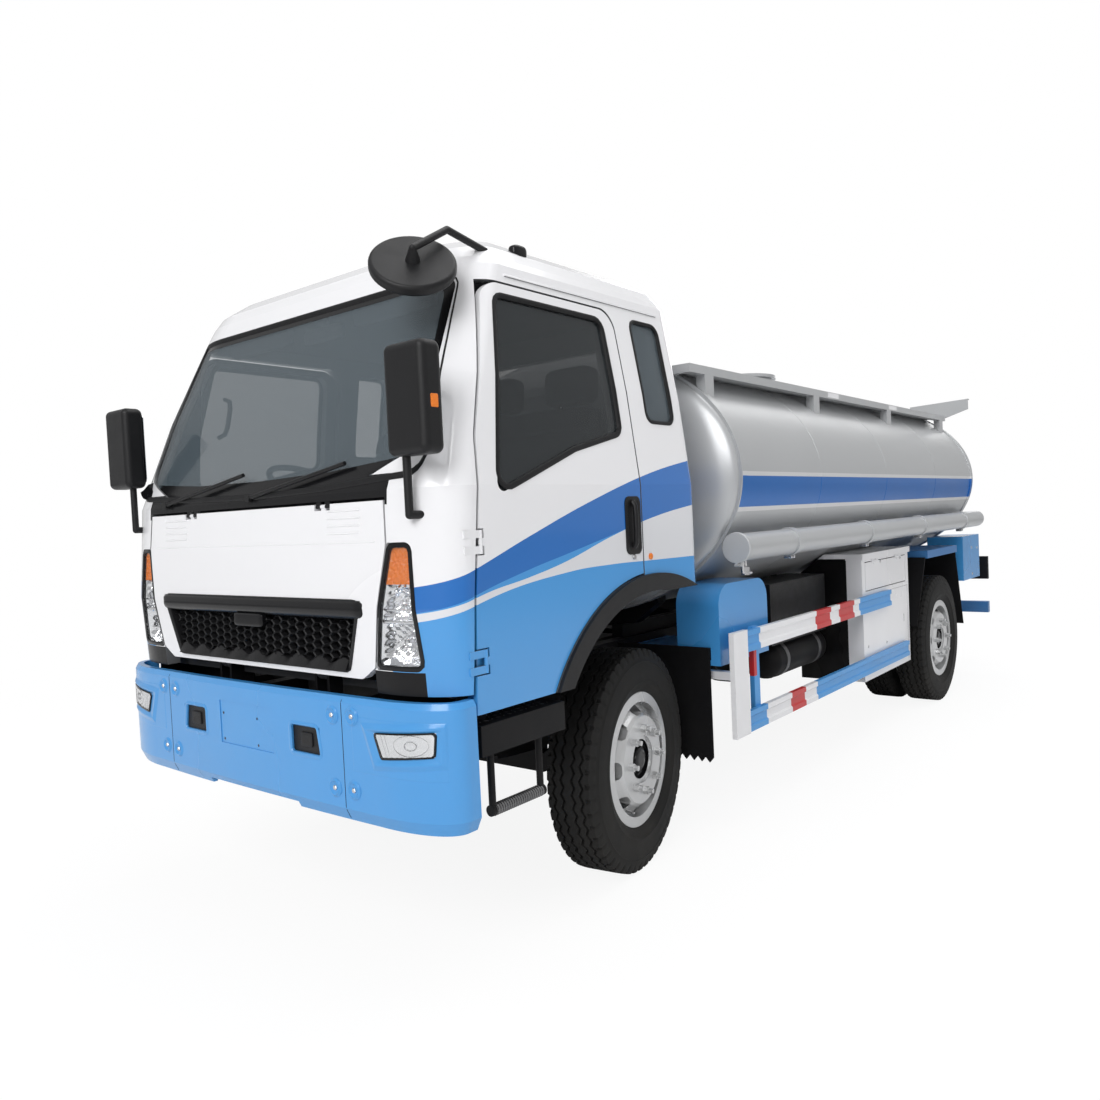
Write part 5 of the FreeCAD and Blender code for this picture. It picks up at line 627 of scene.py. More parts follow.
SWEEP_TOP = ((-3.55, 1.325), (-3.272, 1.412), (-2.995, 1.506), (-2.616, 1.625),
             (-2.209, 1.731), (-1.82, 1.801))
SWEEP_LOW = ((-3.55, 1.235), (-3.275, 1.325), (-3.005, 1.388), (-2.762, 1.434),
             (-2.488, 1.487), (-2.177, 1.549), (-1.81, 1.599))
LINE_TOP = ((-3.55, 1.235), (-3.235, 1.325), (-3.005, 1.361), (-2.80, 1.40),
            (-2.488, 1.482), (-2.177, 1.549), (-1.81, 1.599))
LINE_LOW = ((-3.55, 1.20), (-3.238, 1.301), (-2.766, 1.363), (-2.497, 1.371),
            (-2.192, 1.368), (-1.829, 1.364))
SIDE_FRONT_HALF = 0.80
SWEEP_HEIGHTS = (1.0, 2.0)
PALE_LINE = (0.68, 0.69, 0.72)
FRONT_LINE = -3.28
UNDER_LAMPS = (0.93, 1.078)
COWL_HEIGHTS = (1.640, 1.745)
CAB_BLACK = (0.012, 0.012, 0.013)
CAB_MIDDLE = (0.0, -2.65, 1.85)
CABIN_LINING = (0.16, 0.165, 0.17)


def inner_side(tree, place):
    """1 where a face looks towards the middle of the cab, from its object normal."""
    normal = add(tree, "TexCoord").outputs["Normal"]
    reach = add(tree, "VectorMath", {0: place, 1: CAB_MIDDLE}, operation="SUBTRACT")
    facing = add(tree, "VectorMath", {0: reach.outputs[0], 1: normal},
                 operation="DOT_PRODUCT").outputs["Value"]
    return below(tree, facing, 0.0)


def cab_paint(tree, place):
    """White, with the deep blue sweep, the pale line and the sky blue lower side."""
    tint = colours()
    x, y, z = axes(tree, place)
    off_middle = maths(tree, "ABSOLUTE", x)
    side = maths(tree, "GREATER_THAN", off_middle, SIDE_FRONT_HALF)
    colour = tint.cab_white
    for points, fill in ((SWEEP_TOP, tint.deep), (SWEEP_LOW, tint.sky),
                         (LINE_TOP, PALE_LINE), (LINE_LOW, tint.sky)):
        under = below(tree, z, line(tree, y, points, *SWEEP_HEIGHTS))
        colour = mixed(tree, times(tree, under, side), colour, fill)
    reach, height = UNDER_LAMPS
    under_lamp = times(tree, below(tree, z, height), below(tree, off_middle, reach))
    cowl = times(tree, between(tree, z, *COWL_HEIGHTS),
                 maths(tree, "SUBTRACT", 1.0, side))
    dark = times(tree, maths(tree, "MAXIMUM", under_lamp, cowl),
                 below(tree, y, FRONT_LINE))
    colour = mixed(tree, dark, colour, CAB_BLACK)
    return mixed(tree, inner_side(tree, place), colour, CABIN_LINING)


TANK_BAND = (1.576, 1.730)
TANK_EDGE = 0.022
TANK_DOME = 0.13
TANK_FLANK = 0.9
BAND_EDGE = (0.66, 0.66, 0.67)


def tank_paint(tree, place):
    """Silver with the blue band and its two pale edges, on the barrel alone."""
    tint = colours()
    x, y, z = axes(tree, place)
    low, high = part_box("tank")
    here = times(tree, between(tree, y, low.y + TANK_DOME, high.y - TANK_DOME),
                 maths(tree, "GREATER_THAN", maths(tree, "ABSOLUTE", x), TANK_FLANK))
    bottom, top = TANK_BAND
    edge = times(tree, here, between(tree, z, bottom - TANK_EDGE, top + TANK_EDGE))
    blue = times(tree, here, between(tree, z, bottom, top))
    return mixed(tree, blue, mixed(tree, edge, tint.silver, BAND_EDGE), tint.deep)


UPPER_GUARD_ZONES = ((-1.6, -1.26, "sky"), (-0.5325, -0.3125, "red"),
                     (-0.1725, 0.0675, "red"), (0.17, 0.9, "sky"))
LOWER_GUARD_ZONES = ((-1.6, -1.2025, "sky"), (-0.9025, -0.7175, "red"),
                     (-0.55, 1.2, "sky"))
GUARD_LEVELS = ((UPPER_GUARD_ZONES, 0.75, 1.1), (LOWER_GUARD_ZONES, 0.3, 0.75))
TAPE_RED = (0.52, 0.012, 0.015)


def guard_paint(tree, place):
    """White rails with blue lengths and patches of red tape."""
    tint = colours()
    _, y, z = axes(tree, place)
    colour = tint.cab_white
    for zones, low, high in GUARD_LEVELS:
        level = between(tree, z, low, high)
        for start, end, name in zones:
            here = times(tree, level, between(tree, y, start, end))
            colour = mixed(tree, here, colour, TAPE_RED if name == "red" else tint.sky)
    return colour


POST_TAPE = (0.715, 0.845)
FRONT_POST_END, TAPED_POST_END = -1.38, -1.262


def post_paint(tree, place):
    """White front post, blue posts behind it with a patch of red tape."""
    tint = colours()
    _, y, z = axes(tree, place)
    tape = times(tree, between(tree, z, *POST_TAPE), below(tree, y, TAPED_POST_END))
    return mixed(tree, below(tree, y, FRONT_POST_END),
                 mixed(tree, tape, tint.sky, TAPE_RED), tint.cab_white)


CABINET_INNER, CABINET_TOP = 0.95, 1.205
# Near black painted shade for the cabinet's flanks under the tank.
CABINET_SHADE = (0.006, 0.006, 0.007)


def cabinet_paint_and_shade(tree, place):
    """White front and lid; the flanks under the tank are painted near black as their shade."""
    x, _, z = axes(tree, place)
    # Painted shade: inboard of the outer face and below the lid, the flanks go near black.
    shaded_flanks = times(tree, below(tree, x, CABINET_INNER), below(tree, z, CABINET_TOP))
    return mixed(tree, shaded_flanks, colours().cab_white, CABINET_SHADE)


FINISHES = {
    "cab paint": dict(rough=0.22, coat=0.5, bump=0.0, tone=0.012, dust=0.08,
                      painter=cab_paint),
    "white panel": dict(colour="cab_white", rough=0.25, coat=0.4, bump=0.0, tone=0.012,
                        dust=0.06),
    # The cabinet's finish carries painted shade on its flanks under the tank.
    "cabinet paint and shade": dict(rough=0.3, coat=0.3, bump=0.04, tone=0.02, dust=0.12,
                          painter=cabinet_paint_and_shade),
    "sky paint": dict(colour="sky", rough=0.28, coat=0.4, bump=0.0, tone=0.02,
                      dust=0.06),
    "bracket paint": dict(colour="bracket", rough=0.4, bump=0.06, dust=0.2),
    "tank paint": dict(rough=0.32, metal=0.35, bump=0.05, scale=3.0, tone=0.03, dust=0.0,
                       painter=tank_paint),
    "silver paint": dict(colour="silver", rough=0.36, metal=0.3, bump=0.05, dust=0.12),
    "guard paint": dict(rough=0.35, bump=0.05, dust=0.16, painter=guard_paint),
    "post paint": dict(rough=0.35, bump=0.05, dust=0.16, painter=post_paint),
    "chassis paint": dict(colour=(0.005, 0.005, 0.006), rough=0.5, bump=0.06, dust=0.04,
                          shine=0.18),
    "cast iron": dict(colour=(0.02, 0.02, 0.021), rough=0.6, metal=0.4, texture="grain",
                      scale=320.0, bump=0.3, dust=0.15),
    "wheel paint": dict(colour=(0.58, 0.585, 0.59), rough=0.30, metal=0.6, bump=0.05,
                        dust=0.08, dust_top=0.8),
    "tyre rubber": dict(colour=(0.010, 0.010, 0.010), rough=0.68, texture="grain",
                        scale=420.0, bump=0.2, tone=0.2, dust=0.05, dust_top=1.0,
                        shine=0.2),
    "flap rubber": dict(colour=(0.006, 0.006, 0.007), rough=0.7, texture="grain",
                        scale=300.0, bump=0.25, dust=0.02, shine=0.12),
    "seal rubber": dict(colour=(0.005, 0.005, 0.006), rough=0.5, texture="grain",
                        scale=900.0, bump=0.15, dust=0.0, shine=0.3),
    "black plastic": dict(colour=(0.009, 0.009, 0.010), rough=0.42, texture="grain",
                          scale=1100.0, bump=0.15, dust=0.02, shine=0.28),
    "gloss black": dict(colour=(0.006, 0.006, 0.007), rough=0.2, bump=0.02, dust=0.0,
                        shine=0.3),
    "worn iron": dict(colour=(0.21, 0.21, 0.215), rough=0.45, metal=0.8, texture="grain",
                      scale=260.0, bump=0.3, tone=0.3, dust=0.1),
    "cabin plastic": dict(colour=(0.06, 0.062, 0.068), rough=0.6, texture="grain",
                          scale=800.0, bump=0.25, dust=0.0, shine=0.35),
    "seat cloth": dict(colour=(0.028, 0.030, 0.035), rough=0.9, texture="weave",
                       scale=90.0, bump=0.4, tone=0.15, dust=0.0, shine=0.3),
    "bare steel": dict(colour=(0.60, 0.60, 0.61), rough=0.26, metal=1.0, texture="grain",
                       scale=500.0, bump=0.08, dust=0.08),
    "reflector": dict(colour=(0.82, 0.83, 0.85), rough=0.08, metal=1.0, bump=0.02,
                      dust=0.0, rough_spread=0.03),
    "amber lens": dict(colour=(0.80, 0.19, 0.004), rough=0.15, coat=0.5, texture="grain",
                       scale=110.0, bump=0.6, dust=0.0),
    "red lens": dict(colour=(0.42, 0.01, 0.008), rough=0.18, coat=0.5, bump=0.06,
                     dust=0.05),
}


def finish(name):
    """The finish of that name, made when it is first asked for."""
    settings = dict(FINISHES[name])
    if isinstance(settings.get("colour"), str):
        settings["colour"] = getattr(colours(), settings["colour"])
    return material(name, **settings)


CAD_FINISHES = {
    "cab paint": "cab_side_left cab_side_right cab_back cab_roof cab_front door_left "
                 "door_right",
    "white panel": "front_panel",
    "cabinet paint and shade": "cabinet cabinet_flap",
    "sky paint": "bumper lockers",
    "bracket paint": "rear_fenders rear_underrun rear_ladder",
    "tank paint": "tank",
    "silver paint": "walkway hose_tubes hose_cap_left hose_cap_right manhole_lid "
                    "rear_wings",
    "guard paint": "side_guard_rails",
    "post paint": "side_guard_posts",
    "chassis paint": "frame_rails cross_members axles leaf_springs steps cab_mounts "
                     "fuel_tank lamp_bar knuckle_left knuckle_right tank_saddles",
    "cast iron": "engine",
    "wheel paint": "rim_front_left rim_front_right rims_rear_left rims_rear_right",
    "tyre rubber": "tyre_front_left tyre_front_right tyres_rear_left tyres_rear_right",
    "flap rubber": "mudflaps",
    "black plastic": "wheel_arch_trims mirrors wipers battery_box grille",
    "cabin plastic": "cab_floor dashboard steering_wheel",
    "seat cloth": "seats",
    "reflector": "headlamps fog_lamps",
    "red lens": "tail_lamps",
}


# The windscreen's grey-blue is partly its tint and partly a painted reflection of the sky.
SCREEN_TINT_AND_REFLECTION = (0.12, 0.155, 0.18), 0.42
WINDOW_GLASS = (0.022, 0.028, 0.032), 0.50
LAMP_COVER = (0.20, 0.21, 0.22), 0.07


def dress(nodes, look):
    """CAD nodes take one material."""
    for node in nodes.split():
        mesh = frame["nodes"][node].data
        mesh.materials.clear()
        mesh.materials.append(look)


def dress_nodes():
    """Every CAD node that stays gets its finish."""
    for name, nodes in CAD_FINISHES.items():
        dress(nodes, finish(name))
    # The windscreen's colour carries a painted reflection of the sky.
    dress("cab_glass", glass("screen glass and reflection", *SCREEN_TINT_AND_REFLECTION))
    dress("door_glass_left door_glass_right", glass("window glass", *WINDOW_GLASS))


# Tyres.
ZIGZAG = 0.007
TREAD_RADIUS = 0.4868
GROOVES = (0.0245, 0.0620)


def tyre_shape(centre, axle, phase=0.0):
    """One tyre: a section carried round, with zigzag grooves and notched shoulders.

    A point stands at across + zig * wave(turn), radius - notch(turn).
    """
    depth, blocks = sizes().groove_depth, sizes().tread_blocks
    per_block = 8
    half = []
    for middle in GROOVES:
        half += [(middle - 0.0060, TREAD_RADIUS, 1, 0),
                 (middle - 0.0035, TREAD_RADIUS - depth, 1, 0),
                 (middle + 0.0035, TREAD_RADIUS - depth, 1, 0),
                 (middle + 0.0060, 0.4866, 1, 0)]
    half += [(0.0780, 0.4862, 0, 0), (0.0800, 0.4860, 0, 1), (0.0950, 0.4850, 0, 1),
             (0.1030, 0.4660, 0, 1), (0.1060, 0.4560, 0, 0.6), (0.1072, 0.4500, 0, 0),
             (0.1100, 0.4350, 0, 0), (0.1128, 0.4320, 0, 0), (0.1135, 0.4280, 0, 0),
             (0.1120, 0.4260, 0, 0), (0.1155, 0.4000, 0, 0), (0.1175, 0.3720, 0, 0),
             (0.1165, 0.3480, 0, 0), (0.1172, 0.3460, 0, 0), (0.1168, 0.3420, 0, 0),
             (0.1140, 0.3400, 0, 0), (0.1080, 0.3200, 0, 0), (0.1010, 0.3060, 0, 0),
             (0.0960, 0.2980, 0, 0), (0.0900, 0.2900, 0, 0), (0.0880, 0.2660, 0, 0)]
    half = np.array(half)
    inner = np.array([(0.0400, 0.2660, 0, 0)])
    side = np.concatenate([half, inner])
    section = np.concatenate([(side * (-1, 1, 1, 1))[::-1], side])
    count = blocks * per_block
    k = np.arange(count)
    turn = k * 2 * math.pi / count + phase
    zig = ZIGZAG * (np.abs((k % per_block) / (per_block / 2) - 1) * 2 - 1)
    notch = np.where((k + per_block // 4) % per_block < 2, depth * 0.8, 0.0)
    u, v, w = basis(axle)
    across = section[None, :, 0] + zig[:, None] * section[None, :, 2]
    radius = section[None, :, 1] - notch[:, None] * section[None, :, 3]
    ring = np.cos(turn)[:, None] * u + np.sin(turn)[:, None] * v
    points = (np.array(centre) + across[..., None] * w
              + radius[..., None] * ring[:, None, :])
    return gridded(points, wrap_rows=True, wrap_columns=True)


def spin_axle(joint):
    """The axle direction and a point on it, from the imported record."""
    found = next(j for j in frame["joints"] if j["name"] == joint)
    return np.array(found["axis"], float), np.array(found["pos_m"], float)


DUAL_SPACING = 0.285


def build_tyres():
    """Treaded tyres in place of the plain ones: one in front, a pair behind."""
    for side, sign in SIDES:
        axis, middle = spin_axle(f"wheel_front_{side}_spin")
        piece(f"tread_front_{side}", tyre_shape(middle, axis),
              f"wheel_front_{side}", finish("tyre rubber"),
              replaces=[f"tyre_front_{side}"])
        axis, middle = spin_axle(f"wheel_rear_{side}_spin")
        inner = middle - np.array((sign * DUAL_SPACING, 0, 0))
        piece(f"treads_rear_{side}",
              [tyre_shape(middle, axis), tyre_shape(inner, axis, 0.03)],
              f"wheel_rear_{side}", finish("tyre rubber"),
              replaces=[f"tyres_rear_{side}"])


# Glass seals.
PANE = ((-3.1565, 1.652), (-2.6755, 1.824), (-2.3425, 1.899), (-2.3425, 2.383),
        (-3.0075, 2.383))
QUARTER = ((-2.1325, 1.960), (-1.9075, 1.960), (-1.9075, 2.412), (-2.1325, 2.412))
SCREEN = ((-0.905, 1.735), (-0.45, 1.708), (0, 1.700), (0.45, 1.708), (0.905, 1.735),
          (0.93, 1.830), (0.845, 2.455), (-0.845, 2.455), (-0.93, 1.830))


def seal_section(width):
    """A rubber lip: a rounded hump over the edge, with its foot in the gap."""
    return [(-0.7 * width, -0.008), (-0.6 * width, 0.001), (-0.25 * width, 0.004),
            (0.15 * width, 0.004), (0.35 * width, 0.001), (0.3 * width, -0.003)]


def build_seals():
    """Rubber lips round the door panes, the rear side panes and the windscreen."""
    width = sizes().seal_width
    seal = finish("seal rubber")
    for side, sign in SIDES:
        outline = spaced(rounded(PANE, 0.05), 0.02)
        shape = band(outline, seal_section(width * 1.5), [f"door_{side}"], X, sign)
        piece(f"door_seal_{side}", shape, f"side_door_{side}", seal)
        outline = spaced(rounded(QUARTER, 0.045), 0.015)
        shape = band(outline, seal_section(width * 1.2), [f"cab_side_{side}"], X, sign)
        piece(f"quarter_seal_{side}", shape, "cab", seal)
    outline = spaced(rounded(SCREEN, 0.05), 0.02)
    piece("screen_seal", band(outline, seal_section(width * 1.6), ["cab_front"], Y, -1,
                              0.008), "cab", seal)


# Headlamps.
LAMP = ((0.722, 1.092), (0.922, 1.092), (0.890, 1.500), (0.806, 1.500))
LAMP_SPLIT = 0.68


def build_headlamps():
    """Clear cover, black bezel, two reflector bowls and an amber chamber."""
    nodes = ["headlamps"]
    rows, columns = 121, 45
    spots = flat_patch(LAMP, rows, columns)
    face = skin(nodes, Y, -1, spots)
    cover = shell(on_axis(Y, spots, face), on_axis(Y, spots, face + 0.003))
    s = np.linspace(0, 1, rows)[:, None] * np.ones(columns)
    t = np.linspace(0, 1, columns)[None, :] * np.ones((rows, 1))
    deep = 0.038 + 0 * s
    for middle, reach in ((0.20, 0.17), (0.50, 0.13)):
        r = np.sqrt(((s - middle) * 0.41) ** 2 + ((t - 0.5) * 0.15) ** 2) / (reach * 0.5)
        deep = deep + 0.040 * np.clip(1 - r ** 2, 0, 1)
    facets = np.cos(t * 2 * math.pi * 5) * np.cos(s * 2 * math.pi * 14)
    deep = deep + 0.0030 * facets
    edge = np.minimum.reduce([s * 10, (1 - s) * 10, t * 5, (1 - t) * 5, 1 + 0 * s])
    back = face + 0.004 + (deep - 0.004) * np.clip(edge * 1.6, 0, 1)
    keep = int(rows * LAMP_SPLIT)
    bowl = shell(on_axis(Y, spots[:keep + 1], back[:keep + 1]),
                 on_axis(Y, spots[:keep + 1], back[:keep + 1] + 0.004))
    swell = (0.010 + 0.004 * facets[keep:]) * np.clip(edge[keep:], 0, 1)
    amber = shell(on_axis(Y, spots[keep:], face[keep:] + 0.006 + swell),
                  on_axis(Y, spots[keep:], face[keep:] + 0.03))
    clear = glass("lamp cover", *LAMP_COVER)
    bulbs = []
    for middle, size in ((0.20, 0.017), (0.50, 0.014)):
        i, j = int(middle * rows), columns // 2
        centre = on_axis(Y, spots[i, j], back[i, j])
        bulbs.append(turned([(0.002, 0), (0.002, size), (-0.022, size),
                             (-0.034, size * 0.6), (-0.036, 0)], centre, (0, 1, 0), 20))
    for middle, size in ((0.475, 0.0035), (0.42, 0.0030), (0.375, 0.0065)):
        i = int(middle * rows)
        run = slice(3, columns - 3)
        bulbs.append(tube(on_axis(Y, spots[i, run], face[i, run] + 0.014), size, 10))
    inset = spaced(rounded(LAMP, 0.02), 0.015)
    rim = band(inset, [(-0.006, -0.010), (-0.006, 0.002), (0.002, 0.003),
                       (0.012, 0.001), (0.012, -0.012)], nodes, Y, -1, -0.004)
    piece("headlamp_covers", both(cover), "cab", clear,
          replaces=["headlamps"])
    piece("headlamp_bowls", both(bowl), "cab", finish("reflector"))
    piece("headlamp_bulbs", both(bulbs), "cab", finish("reflector"))
    piece("indicator_chambers", both(amber), "cab", finish("amber lens"))
    piece("headlamp_bezels", both(rim), "cab", finish("gloss black"))


# Front pressings.
LOUVRES, LOUVRE_TOP, LOUVRE_PITCH = 4, 1.628, 0.0265
FLAP_LINE = 1.515


def build_front_pressings():
    """Slim louvres and the pressed line across the front flap, as half-sunk beads."""
    shapes = []
    for k in range(LOUVRES):
        z = np.full(13, LOUVRE_TOP - LOUVRE_PITCH * k)
        for sign in (1, -1):
            x = np.linspace(0.48, 0.66, 13) * sign
            shapes.append(bead(["front_panel"], Y, -1, (x, z), -0.001, 0.0042))
    x = np.linspace(-0.74, 0.74, 61)
    shapes.append(bead(["front_panel"], Y, -1, (x, FLAP_LINE + 0 * x), -0.0012, 0.003))
    piece("flap_pressings", shapes, "front_flap", finish("white panel"))


# Side fittings.
HANDLE = ((-2.3785, 1.407), (-2.2775, 1.407), (-2.2775, 1.635), (-2.3785, 1.635))
LEVER = ((0.004, 1.43), (0.016, 1.45), (0.018, 1.50), (0.018, 1.56), (0.016, 1.60),
         (0.004, 1.62))


def build_side_fittings():
    """A cupped handle with its plate and lever, and a round lock, on each door."""
    for side, sign in SIDES:
        outline = spaced(rounded(HANDLE, 0.022), 0.008)
        door = [f"door_{side}"]
        cup = band(outline, [(0.006, -0.004), (0.006, 0.0035), (-0.006, 0.0045),
                             (-0.016, 0.001), (-0.016, -0.004)], door, X, sign, 0.0)
        x = depth_at(door, X, sign, (-2.328, 1.53))
        plate = box((x - 0.002 if sign > 0 else x - 0.0015, -2.372, 1.415),
                    (x + 0.0015 if sign > 0 else x + 0.002, -2.284, 1.627))
        lever = tube([(x + sign * out, -2.331, z) for out, z in LEVER], 0.011, 12)
        lock = turned([(0, 0), (0, 0.011), (sign * 0.004, 0.010), (sign * 0.004, 0)],
                      (x + sign * 0.002, -2.331, 1.39), (1, 0, 0), 20)
        piece(f"door_handle_{side}", [cup, plate, lever], f"side_door_{side}",
              finish("black plastic"))
        piece(f"door_lock_{side}", lock, f"side_door_{side}", finish("bare steel"))


# Screen surround: dark edge of the glass, mirror, visors, handles and lining.
SCREEN_CLEAR = ((-0.848, 1.800), (-0.45, 1.772), (0, 1.765), (0.45, 1.772),
                (0.848, 1.800), (0.872, 1.860), (0.806, 2.420), (-0.806, 2.420),
                (-0.872, 1.860))
FRIT_STEPS = 6
GRAB_HANDLE = ((0, -3.03, 2.03), (0.035, -3.015, 2.045), (0.045, -3.005, 2.08),
               (0.045, -2.985, 2.17), (0.035, -2.98, 2.205), (0, -2.985, 2.22))
ROOF_LINING = (-0.80, -2.99, 2.478), (0.80, -1.88, 2.484)


def strip(outer, inner, nodes, axis, sign, proud, sunk):
    """A thin closed band between two outlines, laid on a surface in even steps."""
    rings = []
    for share, height in [(t, proud) for t in np.linspace(0, 1, FRIT_STEPS)] + [
            (t, -sunk) for t in np.linspace(1, 0, FRIT_STEPS)]:
        spots = outer * (1 - share) + inner * share
        place = skin(nodes, axis, sign, spots) + sign * height
        rings.append(on_axis(axis, spots, place))
    return gridded(np.stack(rings, 1), wrap_rows=True, wrap_columns=True)


def build_screen_trim():
    """Black edge of the windscreen, inner mirror, sun visors and grab handle."""
    count = 260
    outer = spaced(rounded(SCREEN, 0.05), count=count)
    inner = spaced(rounded(SCREEN_CLEAR, 0.05), count=count)
    outer = outer - outward(outer) * 0.004
    pane = ["cab_glass"]
    frit = strip(outer, inner, pane, Y, -1, 0.0008, 0.0004)
    piece("screen_frit", frit, "cab", finish("gloss black"))
    x, z = 0.05, 2.372
    y = depth_at(pane, Y, -1, (x, z))
    glass_top = depth_at(pane, Y, -1, (x, 2.44))
    back_y = y + 0.075
    shapes = [pillow((x, back_y, z), (0.125, 0.016, 0.034), 0.35),
              tube([(x, back_y + 0.010, z + 0.02), (x, back_y + 0.03, z + 0.06),
                    (x, glass_top + 0.085, 2.478)], 0.007, 10)]
    for middle in (-0.45, 0.45):
        y = depth_at(pane, Y, -1, (middle, 2.42))
        shapes.append(pillow((middle, y + 0.085, 2.425), (0.24, 0.011, 0.052), 0.3))
        for reach in (-0.2, 0.2):
            shapes.append(tube([(middle + reach, y + 0.085, 2.46),
                                (middle + reach, y + 0.105, 2.484)], 0.006, 8))
    piece("screen_mirror_and_visors", shapes, "cab", finish("cabin plastic"))
    handles = []
    for sign in (1, -1):
        handles.append(tube([(sign * 0.868 - sign * inward, y, z)
                             for inward, y, z in GRAB_HANDLE], 0.011, 12))
    piece("grab_handles", handles, "cab", finish("black plastic"))
    piece("roof_lining", box(*ROOF_LINING), "cab", finish("cabin plastic"))


# Seats: cushions, backs and headrests, crowned and seamed.
SEATS = (("driver", -0.47, 0.248, (0,), (-0.62, 0.62)),
         ("bench", 0.38, 0.446, (-0.5, 0.5), (-0.80, -0.2, 0.0, 0.2, 0.80)))
BACK_LEAN = 0.112


def build_seats():
    """Crowned cushions, leaning backs and headrests, in sewn channels."""
    cloth = finish("seat cloth")
    lean = math.sin(BACK_LEAN), math.cos(BACK_LEAN)
    tip = np.array(((1, 0, 0), (0, lean[0], -lean[1]), (0, lean[1], lean[0])))
    for name, middle, half, shares, seams in SEATS:
        places = [middle + half * share for share in shares]
        channels = [(0, p, 0.03) for p in seams]
        cushion = pillow((middle, -2.5125, 1.356), (half, 0.2375, 0.0745), 0.28, 0.22,
                         channels + [(1, -0.62, 0.035), (1, 0.55, 0.035)], 0.16,
                         rows=49, columns=120)
        back = pillow((middle, -2.165, 1.748), (half, 0.318, 0.062), 0.28, 0.26,
                      channels + [(1, -0.66, 0.03), (1, 0.62, 0.03)], 0.18,
                      rows=49, columns=120, tip=tip)
        rests = [pillow((p, -2.118, 2.165), (0.135, 0.085, 0.045), 0.36, 0.2, tip=tip,
                        columns=64) for p in places]
        for part, shapes in (("cushion", cushion), ("back", back), ("headrests", rests)):
            made = piece(f"{name}_{part}", shapes, "cab", cloth,
                         replaces=["seats"])
        stems = [tube([(p + s, -2.135, 2.03), (p + s, -2.122, 2.13)], 0.006, 10)
                 for p in places for s in (-0.06, 0.06)]
        piece(f"{name}_headrest_stems", stems, "cab", finish("bare steel"),
              replaces=["seats"])


VENT = ((-0.004, 0.036), (0.006, 0.034), (0.006, 0.028), (0.0, 0.026), (0.0, 0.0))


def build_dash_details():
    """Hood over the dials, four round vents and a centre panel on the dashboard."""
    shapes = [pillow((-0.45, -3.15, 1.695), (0.19, 0.085, 0.055), 0.45, 0.1)]
    y = depth_at(["dashboard"], Y, 1, (0.0, 1.56))
    for x in (-0.70, -0.14, 0.14, 0.70):
        y_here = depth_at(["dashboard"], Y, 1, (x, 1.60))
        shapes.append(turned(VENT, (x, y_here, 1.60), (0, 1, 0), 28))
    shapes.append(box((-0.095, y - 0.004, 1.47), (0.095, y + 0.006, 1.60)))
    piece("dash_details", shapes, "cab", finish("black plastic"))


# Grille: a glossy bar over a honeycomb net, with a wavy lower lip.
GRILLE = ((-0.575, 1.062), (0.575, 1.062), (0.664, 1.315), (-0.664, 1.315))
BAR_LOW, BAR_HIGH, BAR_REACH = 1.249, 1.315, 0.676
NET_DEPTH = 0.020
NET_FOOT = 1.105


def grille_reach(z):
    """Half width of the grille's opening at a height."""
    share = (z - GRILLE[0][1]) / (GRILLE[2][1] - GRILLE[0][1])
    return GRILLE[1][0] * (1 - share) + GRILLE[2][0] * share


def honeycomb(cell, wall):
    """Six-sided cells in staggered rows over the opening, each with sloping walls."""
    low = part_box("front_panel")[0]
    up = cell * 0.62
    a = np.arange(6) * math.pi / 3
    hexagon = np.stack([np.cos(a) * cell / 1.5, np.sin(a) * up / 1.732], 1)
    rows, columns = int(0.15 / up) + 1, int(1.3 / cell) + 2
    i, j = (g.ravel() for g in np.meshgrid(np.arange(columns), np.arange(rows),
                                           indexing="ij"))
    centres = np.stack([(i - columns // 2) * cell, NET_FOOT + (j + 0.5 * (i % 2)) * up],
                       1)
    keep = (centres[:, 1] < BAR_LOW - up * 0.25) & (
        np.abs(centres[:, 0]) < grille_reach(centres[:, 1]) - cell * 0.45)
    centres = centres[keep]
    front = low.y + 0.012 + 0.004 * (centres[:, 0] / 0.6) ** 2
    rings = []
    for share, depth in ((1.0, NET_DEPTH), (1.0, 0.003), (1 - wall / up, 0.0),
                         (1 - 2 * wall / up, NET_DEPTH)):
        spots = centres[:, None] + hexagon[None] * share
        rings.append(on_axis(Y, spots, (front[:, None] + depth) * np.ones(6)))
    return [gridded(np.stack([r[k] for r in rings], 1), wrap_rows=True,
                    wrap_columns=True) for k in range(len(centres))]


